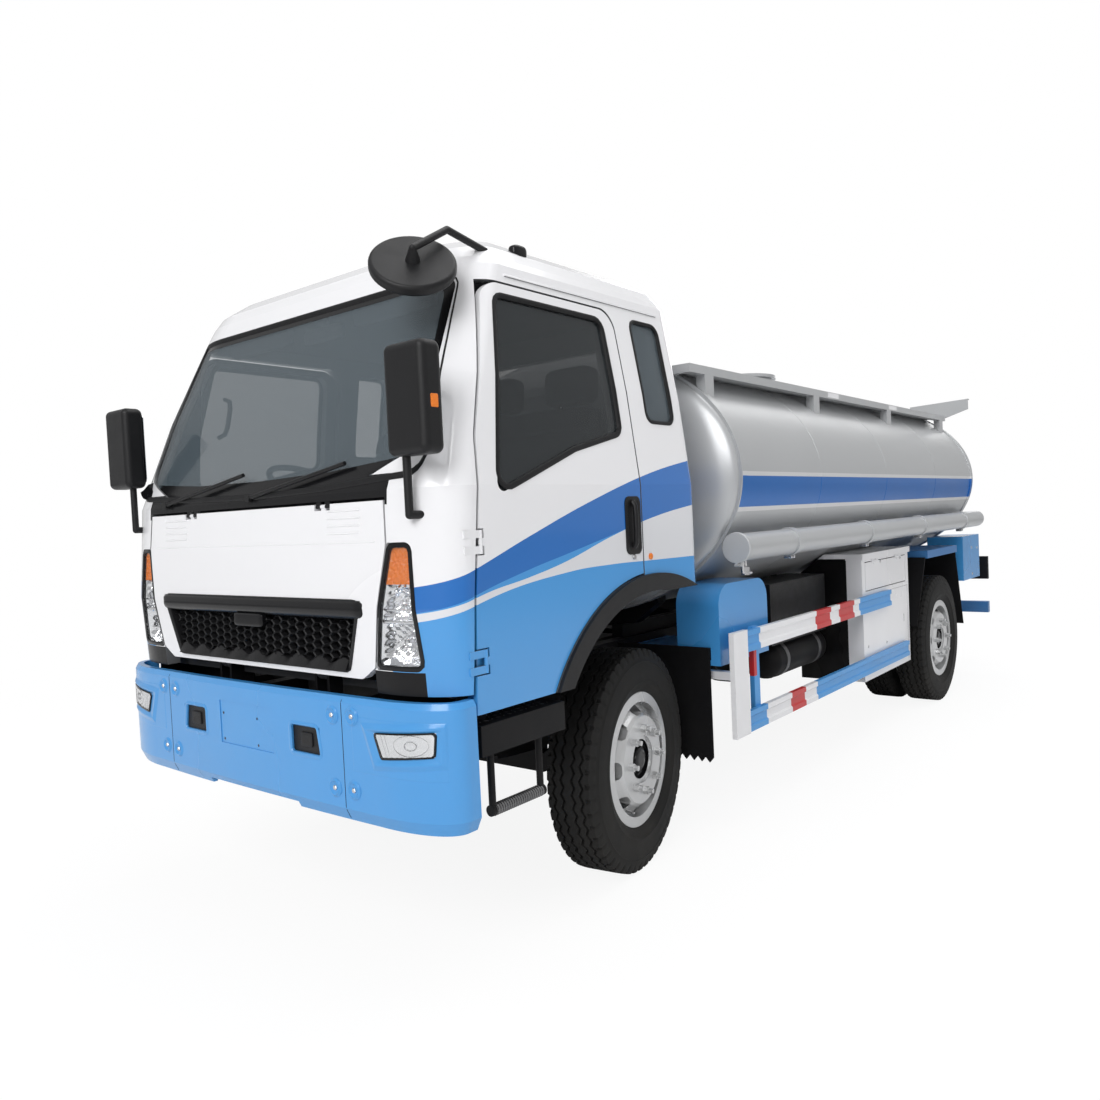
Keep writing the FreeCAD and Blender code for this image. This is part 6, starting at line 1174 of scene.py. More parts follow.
def build_grille():
    """Bar, catch, frame, tray, net and wavy lip, in place of the plain grille."""
    low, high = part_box("grille")
    t = np.linspace(-1, 1, 81)
    x = t * BAR_REACH
    nose = low.y + 0.0005
    section = [(0.040, BAR_HIGH), (0.012, BAR_HIGH), (0.006, BAR_HIGH - 0.004),
               (0.000, BAR_HIGH - 0.012), (0.000, BAR_LOW + 0.022),
               (0.004, BAR_LOW + 0.012), (0.016, BAR_LOW), (0.040, BAR_LOW)]
    inset = 0.010 * np.clip((np.abs(t) - 0.97) / 0.03, 0, 1)
    rings = np.stack([np.stack([x, nose + inset + d, np.full_like(x, z)], 1)
                      for d, z in section], 1)
    bar = closed_run(rings)
    catch = pillow((-0.02, nose + 0.018, 1.226), (0.098, 0.016, 0.026), 0.25)
    piece("grille_bar", [bar, catch], "front_flap", finish("gloss black"),
          replaces=["grille"])
    outline = spaced(rounded(GRILLE, 0.025), 0.02)
    wall = band(outline, [(0.004, -0.012), (0.004, 0.003), (-0.004, 0.004),
                          (-0.014, 0.000), (-0.018, -0.034), (-0.012, -0.036)],
                ["front_panel"], Y, -1, 0.010)
    piece("grille_frame", wall, "front_flap", finish("black plastic"),
          replaces=["grille"])
    back_y = high.y - 0.004
    tray = flat_patch(GRILLE, 5, 33)
    tray = shell(on_axis(Y, tray, back_y), on_axis(Y, tray, back_y + 0.003))
    piece("grille_tray", tray, "front_flap", finish("flap rubber"),
          replaces=["grille"])
    piece("grille_net", honeycomb(sizes().mesh_cell, 0.0045), "front_flap",
          finish("black plastic"), smooth=False, replaces=["grille"])
    x = np.linspace(-0.565, 0.565, 181)
    crest = 1.098 + 0.011 * np.cos(x * 2 * math.pi / 0.134)
    lip_front = low.y + 0.014
    section = ((lip_front - 0.004, 1.066), (lip_front + 0.014, crest),
               (lip_front + 0.030, crest + 0.004), (back_y, 1.10), (back_y, 1.064))
    front = np.stack([np.stack([x, y + 0 * x, z + 0 * x], 1) for y, z in section], 1)
    piece("grille_lip", closed_run(front), "front_flap", finish("black plastic"),
          replaces=["grille"])


# Bumper: cups with bolts, window frames, black discs painting the shade in the plate's screw
# holes, liner and fog lamps.
BUMPER_BOLTS = ((0.634, 0.664), (0.639, 0.921), (0.534, 0.660), (0.534, 0.917))
PLATE_SCREWS = ((-0.159, 0.854), (0.075, 0.854), (-0.159, 0.751), (0.075, 0.751))
FOG_LAMP = ((0.784, 0.793), (0.992, 0.814), (0.999, 0.894), (0.751, 0.877))
FOG_SURROUND = ((0.754, 0.769), (1.012, 0.792), (1.020, 0.906), (0.712, 0.886))
FOG_PANEL = (0.632, 0.728, 1.032, 0.928)
FOG_HOLE = (0.640, 0.742, 0.868, 0.858)
FOG_CREST = ((0, 0.0068), (0.004, 0.0064), (0.020, 0.0007), (0.024, 0.0006))
BUMPER_WINDOW = ((0.292, 0.758), (0.462, 0.758), (0.444, 0.862), (0.292, 0.862))
BUMPER_SEAM = 0.586
BOLT_CUP = ((0.004, 0.0345), (-0.0006, 0.0340), (-0.0052, 0.0275), (-0.0062, 0.0255),
            (-0.0054, 0.0240), (-0.0004, 0.0170), (0.0004, 0.0145), (0.0004, 0))
BOLT_HEAD = ((0.002, 0), (0.002, 0.0095), (-0.0035, 0.0095), (-0.0055, 0.0075),
             (-0.0055, 0))
# A thin black disc in a screw hole: painted shade of the hole's inside.
SCREW_HOLE_SHADE = ((0.002, 0), (0.002, 0.0052), (-0.0002, 0.0052), (-0.0002, 0))
WINDOW_LIP = ((0.013, -0.003), (0.013, 0.0004), (0.007, 0.0026), (0.001, 0.0022),
              (-0.003, -0.002), (-0.003, -0.010))


def beyond(outline, x, z):
    """How far spots lie outside a four-sided outline; less than 0 inside it."""
    corners = np.array(outline)
    ends = np.roll(corners, -1, 0)
    reach = []
    for (x0, z0), (x1, z1) in zip(corners, ends):
        length = math.hypot(x1 - x0, z1 - z0)
        reach.append(((x - x0) * (z1 - z0) - (z - z0) * (x1 - x0)) / length)
    return np.max(reach, 0)


def bumper_face(spots):
    """The bumper's skin, carried straight up and down over the hole of the lamp."""
    x, z = spots[..., 0], spots[..., 1]
    x0, z0, x1, z1 = FOG_HOLE
    hole = (x > x0) & (x < x1) & (z > z0) & (z < z1)
    face, over = (skin(["bumper"], Y, -1, np.stack([x, np.where(hole, edge, z)], -1))
                  for edge in (z0, z1))
    share = np.where(hole, (z - z0) / (z1 - z0), 0.0)
    return face * (1 - share) + over * share


def fog_panel():
    """A skin over the hole that rises to a crest round the lamp and slopes in to it."""
    x0, z0, x1, z1 = FOG_PANEL
    spots = flat_patch(((x0, z0), (x1, z0), (x1, z1), (x0, z1)), 84, 160)
    x, z = spots[..., 0], spots[..., 1]
    inner, outer = beyond(FOG_LAMP, x, z), beyond(FOG_SURROUND, x, z)
    share = np.clip(inner / np.maximum(inner - outer, 0.001), 0, 1)
    rise = np.where(outer < 0, 0.0006 + 0.0062 * share ** 1.2,
                    np.interp(outer, *zip(*FOG_CREST)))
    edge = np.minimum.reduce([x - x0, x1 - x, z - z0, z1 - z])
    rise = np.where(edge < 0.004, -0.0012, rise)
    face = bumper_face(spots)
    return shell(on_axis(Y, spots, face - rise), on_axis(Y, spots, face + 0.003))


def on_bumper(profile, spots, count):
    """A turned profile on the bumper's skin at each of some spots."""
    return [turned(profile, (x, depth_at(["bumper"], Y, -1, (x, z)), z), (0, 1, 0),
                   count) for x, z in spots]


def bumper_liner():
    """Splash walls, end guards, sloping shelves and their front edges, as thin boxes."""
    tray = [box((x0, -3.194, 0.889), (x1, -3.190, 0.985))
            for x0, x1 in ((-0.978, -0.42), (0.42, 0.978))]
    tray += [box((x - 0.002, -3.330, 0.889), (x + 0.002, -3.190, 0.985))
             for x in (-0.98, 0.98)]
    for x0, x1 in ((-0.93, -0.42), (-0.33, 0.33), (0.42, 0.93)):
        shelf = flat_patch(((x0, -3.312), (x1, -3.312), (x1, -3.20), (x0, -3.20)), 2, 2)
        top = 0.905 - (shelf[..., 1] + 3.312) * 0.35
        tray.append(shell(on_axis(Z, shelf, top), on_axis(Z, shelf, top - 0.004)))
        tray.append(box((x0, -3.312, 0.66), (x1, -3.308, 0.905)))
    return tray


def window_plates():
    """A dark plate behind the bumper's window, with a rounded block on it."""
    x0, z0 = BUMPER_WINDOW[0]
    y = depth_at(["bumper"], Y, -1, (0.37, z0 - 0.02))
    plate = flat_patch(BUMPER_WINDOW, 3, 3)
    return [shell(on_axis(Y, plate, y + 0.010), on_axis(Y, plate, y + 0.012)),
            pillow((x0 + 0.085, y + 0.010, z0 + 0.052), (0.034, 0.006, 0.026), 0.25)]


def build_bumper_fittings():
    """Cups and bolts, seams, window frames, a liner under the cab and painted-shade discs in the
    screw holes.
    """
    paint, black = finish("sky paint"), finish("seal rubber")
    piece("bumper_bolt_cups", both(on_bumper(BOLT_CUP, BUMPER_BOLTS, 36)), "chassis",
          paint)
    piece("bumper_bolts", both(on_bumper(BOLT_HEAD, BUMPER_BOLTS, 6)), "chassis",
          finish("bare steel"))
    z = np.linspace(0.556, 0.974, 40)
    seams = [bead(["bumper"], Y, -1, (sign * BUMPER_SEAM + 0 * z, z), -0.0009, 0.0019)
             for sign in (1, -1)]
    piece("bumper_seams", seams, "chassis", black)
    outline = spaced(rounded(BUMPER_WINDOW, 0.012), 0.008)
    piece("bumper_frames", both(band(outline, WINDOW_LIP, ["bumper"], Y, -1, 0.006)),
          "chassis", paint)
    piece("bumper_liner", bumper_liner(), "chassis", finish("flap rubber"),
          smooth=False)
    # Painted shade: black discs where the plate's screw holes are.
    piece("bumper_screw_hole_shades", on_bumper(SCREW_HOLE_SHADE, PLATE_SCREWS, 16), "chassis",
          black)
    piece("bumper_window_plates", both(window_plates()), "chassis",
          finish("black plastic"))
    piece("fog_panels", both(fog_panel()), "chassis", paint)


def fog_ribs():
    """Two ovals and five upright bars behind the cover, as runs over its patch."""
    a = np.linspace(0, 2 * math.pi, 41)
    runs = [(0.62 + 0.29 * np.cos(a), 0.5 + 0.42 * np.sin(a), 0.0013),
            (0.62 + 0.10 * np.cos(a), 0.5 + 0.18 * np.sin(a), 0.0016)]
    runs += [(np.full(9, c), np.linspace(0.06, 0.94, 9), 0.0009)
             for c in (0.07, 0.13, 0.20, 0.27, 0.94)]
    low_left, low_right, high_right, high_left = (np.array(p) for p in FOG_LAMP)
    ribs = []
    for along, up, radius in runs:
        along, up = along[:, None], up[:, None]
        spot = (1 - up) * ((1 - along) * low_left + along * low_right) + up * (
            (1 - along) * high_left + along * high_right)
        ribs.append(tube(on_axis(Y, spot, bumper_face(spot) - 0.0030), radius, 8))
    return ribs


def fog_rim():
    """A thin black frame between two outlines about the lamp's own."""
    outline = spaced(rounded(FOG_LAMP, 0.010), 0.008)
    level = bumper_face(outline)
    middle = outline.mean(0)
    inside, outside = ((outline - middle) * np.array(share) + middle
                       for share in ((0.965, 0.90), (1.02, 1.05)))
    rings = [on_axis(Y, outside, level + 0.001), on_axis(Y, outside, level - 0.0052),
             on_axis(Y, inside, level - 0.0062), on_axis(Y, inside, level + 0.001)]
    return gridded(np.stack(rings), wrap_rows=True, wrap_columns=True)


def build_fog_lamps():
    """Clear covers over a round bowl and flutes, with ribs and a black rim."""
    rows, columns = 33, 65
    spots = flat_patch(FOG_LAMP, rows, columns)
    face = bumper_face(spots)
    s = np.linspace(0, 1, rows)[:, None] * np.ones(columns)
    t = np.linspace(0, 1, columns)[None, :] * np.ones((rows, 1))
    cover = shell(on_axis(Y, spots, face - 0.0052), on_axis(Y, spots, face - 0.0046))
    bowl = 1 - np.sqrt(((s - 0.5) / 0.55) ** 2 + ((t - 0.62) / 0.30) ** 2)
    flutes = 0.5 + 0.5 * np.cos(t * 2 * math.pi * 9)
    depth = np.where(bowl > 0, 0.0032 * np.maximum(bowl, 0) ** 0.5, 0.0016 * flutes)
    bowl = shell(on_axis(Y, spots, face - 0.0044 + depth),
                 on_axis(Y, spots, face + 0.002))
    for name, shapes, look, slot in (
            ("fog_covers", cover, glass("lamp cover", *LAMP_COVER), "glass"),
            ("fog_bowls", bowl, finish("reflector"), "lens"),
            ("fog_ribs", fog_ribs(), finish("bare steel"), "lens"),
            ("fog_rims", fog_rim(), finish("gloss black"), "black_plastic")):
        piece(name, both(shapes), "chassis", look, replaces=["fog_lamps"])


# Mirrors.
MIRROR_GLASS = ((0.882, 1.815), (1.030, 1.815), (1.030, 2.125), (0.882, 2.125))
STRIP_HEIGHT = 1.955


def build_mirror_details():
    """Silvered glass at the back of each housing and an amber strip outside."""
    outline = rounded(MIRROR_GLASS, 0.02)
    y = depth_at(["mirrors"], Y, 1, (0.955, 1.95))
    pane = closed_run(np.stack([on_axis(Y, outline, y - 0.001),
                                on_axis(Y, outline, y + 0.0015)], 0))
    x = depth_at(["mirrors"], X, 1, (y - 0.045, STRIP_HEIGHT))
    amber = pillow((x - 0.0035, y - 0.045, STRIP_HEIGHT), (0.0042, 0.017, 0.022), 0.25)
    piece("mirror_glass", both(pane), "cab", finish("reflector"))
    piece("mirror_amber_strips", both(amber), "cab", finish("amber lens"))


# Steps: raised grip on the boards and hoops.
def build_step_treads():
    """Staggered lozenges over the step boards and ribs on the lower hoops."""
    low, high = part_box("steps")
    step = 0.030
    columns, rows = 12, 13
    i, j = (g.ravel() for g in np.meshgrid(np.arange(columns), np.arange(rows),
                                           indexing="ij"))
    x = 0.668 + i * step
    y = low.y + 0.030 + j * step + 0.5 * step * (i % 2)
    keep = (x < high.x - 0.02) & (y < high.y - 0.02)
    x, y = x[keep], y[keep]
    lean = np.where((i + j)[keep] % 2 == 0, 1.0, -1.0)
    shapes = []
    base = np.array([(-0.011, 0), (0, -0.0038), (0.011, 0), (0, 0.0038)])
    turn = math.radians(45)
    for k in range(len(x)):
        c, s = math.cos(turn * lean[k]), math.sin(turn * lean[k])
        flat = base @ np.array(((c, s), (-s, c)))
        rings = [np.stack([x[k] + flat[:, 0] * f, y[k] + flat[:, 1] * f,
                           np.full(4, high.z + h)], 1)
                 for f, h in ((0, -0.001), (1, -0.001), (0.7, 0.0009), (0, 0.0009))]
        shapes.append(gridded(np.stack(rings, 1), wrap_rows=True))
    piece("step_treads", both(shapes), "chassis", finish("worn iron"),
          smooth=False)
    y = np.linspace(-3.180, -2.925, 86)
    radius = 0.0208 + 0.0012 * np.cos((y - y[0]) * 2 * math.pi / 0.012)
    grip = tube(np.stack([0.985 + 0 * y, y, 0.565 + 0 * y], 1), radius, 16)
    piece("step_grips", both(grip), "chassis", finish("worn iron"))


# Tank: weld seams that follow its own section.
def slice_ring(node, y, count=160):
    """Where a node's surface crosses a plane, as (x, z) round its middle.

    Each triangle that the plane cuts gives the two points of its cut edges, and
    the reach at evenly spaced angles is read from them.
    """
    tri = triangles([node])
    nxt = np.roll(tri, -1, 1)
    a, b = tri.reshape(-1, 3), nxt.reshape(-1, 3)
    cut = (a[:, 1] - y) * (b[:, 1] - y) < 0
    a, b = a[cut], b[cut]
    share = ((y - a[:, 1]) / (b[:, 1] - a[:, 1]))[:, None]
    spots = (a + (b - a) * share)[:, [0, 2]]
    low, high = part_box(node)
    middle = np.array(((low.x + high.x) / 2, (low.z + high.z) / 2))
    reach = spots - middle
    angle, radius = np.arctan2(reach[:, 1], reach[:, 0]), np.linalg.norm(reach, axis=1)
    order = np.argsort(angle)
    at = np.arange(count) * 2 * math.pi / count - math.pi
    radius = np.interp(at, angle[order], radius[order], period=2 * math.pi)
    return middle + np.stack([np.cos(at), np.sin(at)], 1) * radius[:, None]


def hoop(node, y, profile):
    """A section of (along, height) pairs carried round a node's cross-section."""
    outline = slice_ring(node, y)
    out = outward(outline)
    rings = [np.insert(outline + out * h, 1, y + d, axis=1) for d, h in profile]
    return gridded(np.stack(rings, 1), wrap_rows=True, wrap_columns=True)


TANK_SEAMS = (-0.42, 0.72, 1.86)


def build_tank_seams():
    """Low rounded weld seams round the barrel."""
    seam = [(-0.006, -0.002), (-0.0045, 0.0012), (0, 0.0022), (0.0045, 0.0012),
            (0.006, -0.002)]
    shapes = [hoop("tank", y, seam) for y in TANK_SEAMS]
    piece("tank_seams", shapes, "chassis", finish("tank paint"))


# Cabinet locks, box bolts, side lamps, clamp bolts and other small fittings.
CABINET_LOCKS = ((0.663, 1.166), (1.079, 1.165))
CABINET_CATCHES = ((0.749, 0.601), (0.385, 0.622))


def button(node, axis, sign, spot, radius, height, count=20):
    """A low round head on a node's surface."""
    depth = depth_at([node], axis, sign, spot)
    centre = np.insert(np.array(spot, float), axis, depth)
    way = np.zeros(3)
    way[axis] = sign
    return turned([(-0.002, 0), (-0.002, radius), (height * 0.6, radius),
                   (height, radius * 0.75), (height, 0)], centre, way, count)


def build_cabinet_fittings():
    """Locks near the cabinet's top, catches near its foot, and its lower seams."""
    locks = [button("cabinet_flap", X, 1, spot, 0.011, 0.004) for spot in CABINET_LOCKS]
    piece("cabinet_locks", locks, "cabinet_door", finish("bare steel"))
    catches = [button("cabinet", X, 1, spot, 0.009, 0.004) for spot in CABINET_CATCHES]
    x = depth_at(["cabinet"], X, 1, (0.735, 0.70))
    catches.append(tube([(x, 1.128, 0.70), (x + 0.0004, 1.128, 0.71),
                         (x + 0.0004, 1.128, 0.745), (x, 1.128, 0.755)], 0.0035, 8))
    piece("cabinet_catches", catches, "chassis", finish("bare steel"))
    seam = []
    for path in (((0.335, 0.955), (1.235, 0.955)), ((1.222, 0.47), (1.222, 0.95))):
        (y0, z0), (y1, z1) = path
        seam.append(tube([(x - 0.0012, y0, z0), (x - 0.0012, y1, z1)], 0.0018, 6))
    piece("cabinet_seams", seam, "chassis", finish("seal rubber"))


BOX_BOLTS = ((2.874, 1.133), (3.055, 1.123), (2.879, 0.906))


def build_side_lamps():
    """Small lamps over the wheel arches, on the roof corners, and box bolts."""
    markers = [button(f"cab_side_{side}", X, sign, (-2.205, 1.385), 0.014, 0.007)
               for side, sign in SIDES]
    piece("side_markers", markers, "cab", finish("amber lens"))
    domes = []
    for sign in (1, -1):
        x, y = sign * 0.862, -2.76
        z = depth_at(["cab_roof"], Z, 1, (x, y))
        domes.append(pillow((x, y, z + 0.006), (0.022, 0.040, 0.026), 0.6))
    piece("roof_markers", domes, "cab", finish("gloss black"))
    bolts = [button("lockers", X, sign, spot, 0.012, 0.005, 12)
             for sign in (1, -1) for spot in BOX_BOLTS]
    piece("rear_box_bolts", bolts, "chassis", finish("bare steel"))


CLAMPS, TUBE_FRONT, TUBE_LENGTH = 4, -1.4925, 4.57


def build_hose_fittings():
    """Bolts and ears on the tube clamps, and a small valve under each tube's front."""
    bolts, ears = [], []
    for k in range(CLAMPS):
        y = TUBE_FRONT + (k + 0.5) * TUBE_LENGTH / CLAMPS + 0.025
        for d in (-0.015, 0.015):
            ears.append(pillow((1.094, y + d, 1.299), (0.024, 0.006, 0.010), 0.3,
                               columns=24, rows=13))
        bolts.append(turned([(-0.024, 0), (-0.024, 0.006), (0.024, 0.006), (0.024, 0)],
                            (1.094, y, 1.296), (0, 1, 0), 6))
    piece("clamp_ears", both(ears), "chassis", finish("bare steel"))
    piece("clamp_bolts", both(bolts), "chassis", finish("bare steel"))
    valves = [tube([(1.02, y, 1.305), (1.02, y, 1.245), (1.02, y + 0.06, 1.238)],
                   0.010, 12) for y in (-1.30, -1.27)]
    valves.append(turned([(-0.02, 0), (-0.02, 0.022), (0.02, 0.022), (0.02, 0)],
                         (1.02, -1.27, 1.25), (0, 0, 1), 20))
    piece("tube_valves", both(valves), "chassis", finish("bare steel"))


AIR_TANK = ((-0.40, 0), (-0.398, 0.045), (-0.385, 0.085), (-0.355, 0.108),
            (-0.330, 0.112), (0.330, 0.112), (0.355, 0.108), (0.385, 0.085),
            (0.398, 0.045), (0.40, 0))


def build_air_tanks():
    """Two domed air tanks with straps, slung under the battery box and beside it."""
    tanks, straps = [], []
    for x, z in ((0.735, 0.650), (0.500, 0.650)):
        tanks.append(turned(AIR_TANK, (x, -0.16, z), (0, 1, 0), 40))
        for y in (-0.40, 0.08):
            straps.append(turned([(-0.02, 0.1100), (-0.02, 0.1145), (0.02, 0.1145),
                                  (0.02, 0.1100), (-0.02, 0.1100)], (x, y, z), (0, 1, 0),
                                 40))
    piece("air_tanks", tanks, "chassis", finish("chassis paint"))
    piece("air_tank_straps", straps, "chassis", finish("worn iron"))


RAIL_TAPES = ((0.193, 0.378), (1.389, 1.560))


def build_walkway_details():
    """White tape over the walkways' rails, on their top and outer faces."""
    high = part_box("walkway")[1]
    tapes = []
    for y0, y1 in RAIL_TAPES:
        tapes.append(box((high.x - 0.002, y0, high.z - 0.034),
                         (high.x + 0.0006, y1, high.z - 0.004)))
        tapes.append(box((high.x - 0.03, y0, high.z - 0.002), (high.x - 0.001, y1,
                                                               high.z + 0.0006)))
    piece("walkway_tapes", both(tapes), "chassis", finish("white panel"))


TAIL_LAMP_INNER = 0.83


def build_tail_lamp_details():
    """Walls between three segments, a clear one inside and an amber one outside."""
    low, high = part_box("tail_lamps")
    y = high.y - 0.0015
    inner, outer = TAIL_LAMP_INNER, high.x
    span = outer - inner
    walls = [box((x - 0.003, y - 0.004, low.z + 0.004),
                 (x + 0.003, y + 0.001, high.z - 0.004))
             for x in (inner + span * k / 3 for k in (1, 2))]
    clear, amber = (box((x0, y - 0.002, low.z + 0.012), (x1, y + 0.0008, high.z - 0.012))
                    for x0, x1 in ((inner + 0.008, inner + span / 3 - 0.006),
                                   (inner + span * 2 / 3 + 0.006, outer - 0.008)))
    piece("tail_lamp_walls", both(walls), "chassis", finish("gloss black"))
    piece("reversing_windows", both(clear), "chassis", finish("reflector"))
    piece("tail_indicators", both(amber), "chassis", finish("amber lens"))


HUB = ((0.050, 0), (0.050, 0.0850), (0.0850, 0.0850), (0.0660, 0.0835),
       (0.0590, 0.0780), (0.0590, 0.0575), (0.0720, 0.0550), (0.0835, 0.0500),
       (0.0880, 0.0400), (0.0890, 0.0250), (0.0890, 0))
FRONT_HUB_OFFSET = 0.0145
VALVE_TURN = math.radians(62)


def build_wheel_details():
    """Dark hub caps in their cups, and tyre valves that point outwards."""
    for side, sign in SIDES:
        for end in ("front", "rear"):
            axis, middle = spin_axle(f"wheel_{end}_{side}_spin")
            u, v, w = basis(axis)
            out = w if w[0] * sign > 0 else -w
            radial = math.cos(VALVE_TURN) * u + math.sin(VALVE_TURN) * v
            reach = 0.05 if end == "front" else 0.0
            start = middle + radial * 0.225 + out * (0.01 + reach)
            valve = tube([start, start + out * 0.03 + radial * 0.006,
                          start + out * 0.05 + radial * 0.010], 0.0045, 10)
            piece(f"valve_{end}_{side}", valve, f"wheel_{end}_{side}",
                  finish("bare steel"))
            shift = FRONT_HUB_OFFSET if end == "front" else 0.0
            hub = turned([(d + shift, r) for d, r in HUB], middle, out, 48)
            piece(f"hub_{end}_{side}", hub, f"wheel_{end}_{side}",
                  finish("gloss black"))


GUTTER_HEIGHT = 2.462


def build_gutters():
    """Rain gutters along the roof's edges over the doors."""
    shapes = []
    for side, sign in SIDES:
        y = np.linspace(-2.93, -1.90, 40)
        shapes.append(bead([f"cab_side_{side}"], X, sign, (y, GUTTER_HEIGHT + 0 * y),
                           0.002, 0.0055))
    piece("rain_gutters", shapes, "cab", finish("cab paint"))


# Stage.
CAMERA_PLACE = (3.0825, -5.3864, 1.5729)
CAMERA_YAW, CAMERA_PITCH, CAMERA_ROLL = 0.6781, -0.0378, -0.0472
FOCUS, PICTURE = 883.24, 1100
SENSOR = 36.0
SHIFT = -3.0
FLOOR_REACH, FLOOR_FADE = 60.0, (4.2, 8.0)
FLOOR_GLOW, FLOOR_SHADE = 0.90, 0.11
AMBIENT, MIRRORED = 0.34, 0.55
LAMPS = (("key", (3.5, -11.5, 7.0), (0, -0.5, 1.2), 6.0, 760.0, True),
         ("fill", (-8.0, -6.0, 5.0), (0, -0.5, 1.2), 7.0, 200.0, False),
         ("top", (1.5, 0.5, 9.5), (0, 0, 1.0), 8.0, 400.0, True),
         ("side", (9.0, 1.0, 4.0), (0, 0.5, 1.2), 6.0, 150.0, False),
         ("back", (-2.0, 9.0, 6.0), (0, 0.5, 1.2), 6.0, 260.0, True))


def build_camera():
    """The photograph's camera: ahead, right and up from its yaw, pitch and roll."""
    scene = bpy.context.scene
    yaw, pitch, roll = CAMERA_YAW, CAMERA_PITCH, CAMERA_ROLL
    ahead = Vector((-math.sin(yaw) * math.cos(pitch), math.cos(yaw) * math.cos(pitch),
                    math.sin(pitch)))
    right = ahead.cross(Vector((0, 0, 1))).normalized()
    up = right.cross(ahead)
    across = right * math.cos(roll) + up * math.sin(roll)
    upward = up * math.cos(roll) - right * math.sin(roll)
    camera = bpy.data.cameras.new("camera")
    camera.sensor_width = SENSOR
    camera.lens = FOCUS / PICTURE * SENSOR
    camera.shift_x = SHIFT / PICTURE
    camera.clip_end = 200
    holder = bpy.data.objects.new("camera", camera)
    turn = Matrix((across, upward, -ahead)).transposed().to_4x4()
    holder.matrix_world = Matrix.Translation(CAMERA_PLACE) @ turn
    scene.collection.objects.link(holder)
    scene.camera = holder


def build_floor():
    """A floor that shades softly near the truck and fades to plain white."""
    mesh = bpy.data.meshes.new("floor")
    reach = FLOOR_REACH
    mesh.from_pydata([(-reach, -reach, 0), (reach, -reach, 0), (reach, reach, 0),
                      (-reach, reach, 0)], [], [(0, 1, 2, 3)])
    floor = bpy.data.objects.new("floor", mesh)
    bpy.context.scene.collection.objects.link(floor)
    ground, tree, shader, place = blank("pale floor")
    shader.inputs["Base Color"].default_value = (0.86, 0.86, 0.86, 1)
    shader.inputs["Roughness"].default_value = 0.9
    shader.inputs["Specular IOR Level"].default_value = 0.1
    distance = add(tree, "VectorMath", {0: place}, operation="LENGTH").outputs["Value"]
    far = spread(tree, distance, *FLOOR_FADE, 0.0, 1.0, interpolation_type="SMOOTHSTEP")
    white, glow = (add(tree, "Emission", {"Color": (1, 1, 1, 1), "Strength": strength})
                   for strength in (1.0, FLOOR_GLOW))
    faint = add(tree, "BsdfDiffuse", {"Color": (*[FLOOR_SHADE] * 3, 1)})
    near = add(tree, "AddShader", {0: faint.outputs[0], 1: glow.outputs[0]})
    total = add(tree, "MixShader", {0: far, 1: near.outputs[0], 2: white.outputs[0]})
    seen = add(tree, "LightPath").outputs["Is Camera Ray"]
    pick = add(tree, "MixShader", {0: seen, 1: shader.outputs[0], 2: total.outputs[0]})
    tree.links.new(pick.outputs[0], tree.nodes["Material Output"].inputs["Surface"])
    mesh.materials.append(ground)


def build_surround():
    """White where the camera looks, and dimmer for light and for mirrored rays."""
    world = bpy.data.worlds.new("surround")
    bpy.context.scene.world = world
    world.use_nodes = True
    tree = world.node_tree
    backdrop = tree.nodes["Background"]
    backdrop.inputs["Color"].default_value = (1, 1, 1, 1)
    path = add(tree, "LightPath").outputs
    plain = maths(tree, "MAXIMUM", path["Is Camera Ray"], path["Is Transmission Ray"])
    strength = spread(tree, plain, 0.0, 1.0, AMBIENT, 1.0)
    mirrored_share = times(tree, path["Is Glossy Ray"], MIRRORED)
    tree.links.new(maths(tree, "MAXIMUM", strength, mirrored_share),
                   backdrop.inputs["Strength"])


def build_lamps():
    """Soft square lamps, each turned to its aim; some don't show in glossy paint."""
    for name, place, aim, size, power, mirrored_in_paint in LAMPS:
        lamp = bpy.data.lights.new(name, "AREA")
        lamp.shape, lamp.size, lamp.energy = "SQUARE", size, power
        holder = bpy.data.objects.new(name, lamp)
        holder.location = place
        holder.visible_glossy = mirrored_in_paint
        way = Vector(aim) - Vector(place)
        holder.rotation_euler = way.to_track_quat("-Z", "Y").to_euler()
        bpy.context.scene.collection.objects.link(holder)


# Operators, panel and the run of the script.
class TRUCK_OT_stage(bpy.types.Operator):
    """Camera, floor, lamps and white surround"""
    bl_idname = "truck.stage"
    bl_label = "Stage"

    def execute(self, context):
        build_camera()
        build_floor()
        build_surround()
        build_lamps()
        context.scene.view_settings.view_transform = "Standard"
        return {"FINISHED"}


class TRUCK_OT_finishes(bpy.types.Operator):
    """Paints, rubber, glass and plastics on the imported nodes"""
    bl_idname = "truck.finishes"
    bl_label = "Finishes"

    def execute(self, context):
        dress_nodes()
        return {"FINISHED"}


class TRUCK_OT_tyres(bpy.types.Operator):
    """Treaded tyres and their valves"""
    bl_idname = "truck.tyres"
    bl_label = "Tyres"

    def execute(self, context):
        build_tyres()
        build_wheel_details()
        return {"FINISHED"}


class TRUCK_OT_seals(bpy.types.Operator):
    """Rubber seals round the panes"""
    bl_idname = "truck.seals"
    bl_label = "Window rubbers"

    def execute(self, context):
        build_seals()
        return {"FINISHED"}


class TRUCK_OT_screen(bpy.types.Operator):
    """Dark edge of the windscreen, inner mirror, visors and grab handles"""
    bl_idname = "truck.screen"
    bl_label = "Screen trim"

    def execute(self, context):
        build_screen_trim()
        return {"FINISHED"}


class TRUCK_OT_seats(bpy.types.Operator):
    """Crowned seat cushions, backs and headrests"""
    bl_idname = "truck.seats"
    bl_label = "Seats"

    def execute(self, context):
        build_seats()
        return {"FINISHED"}


class TRUCK_OT_dashboard(bpy.types.Operator):
    """Hood, vents and centre panel of the dashboard"""
    bl_idname = "truck.dashboard"
    bl_label = "Dashboard details"

    def execute(self, context):
        build_dash_details()
        return {"FINISHED"}


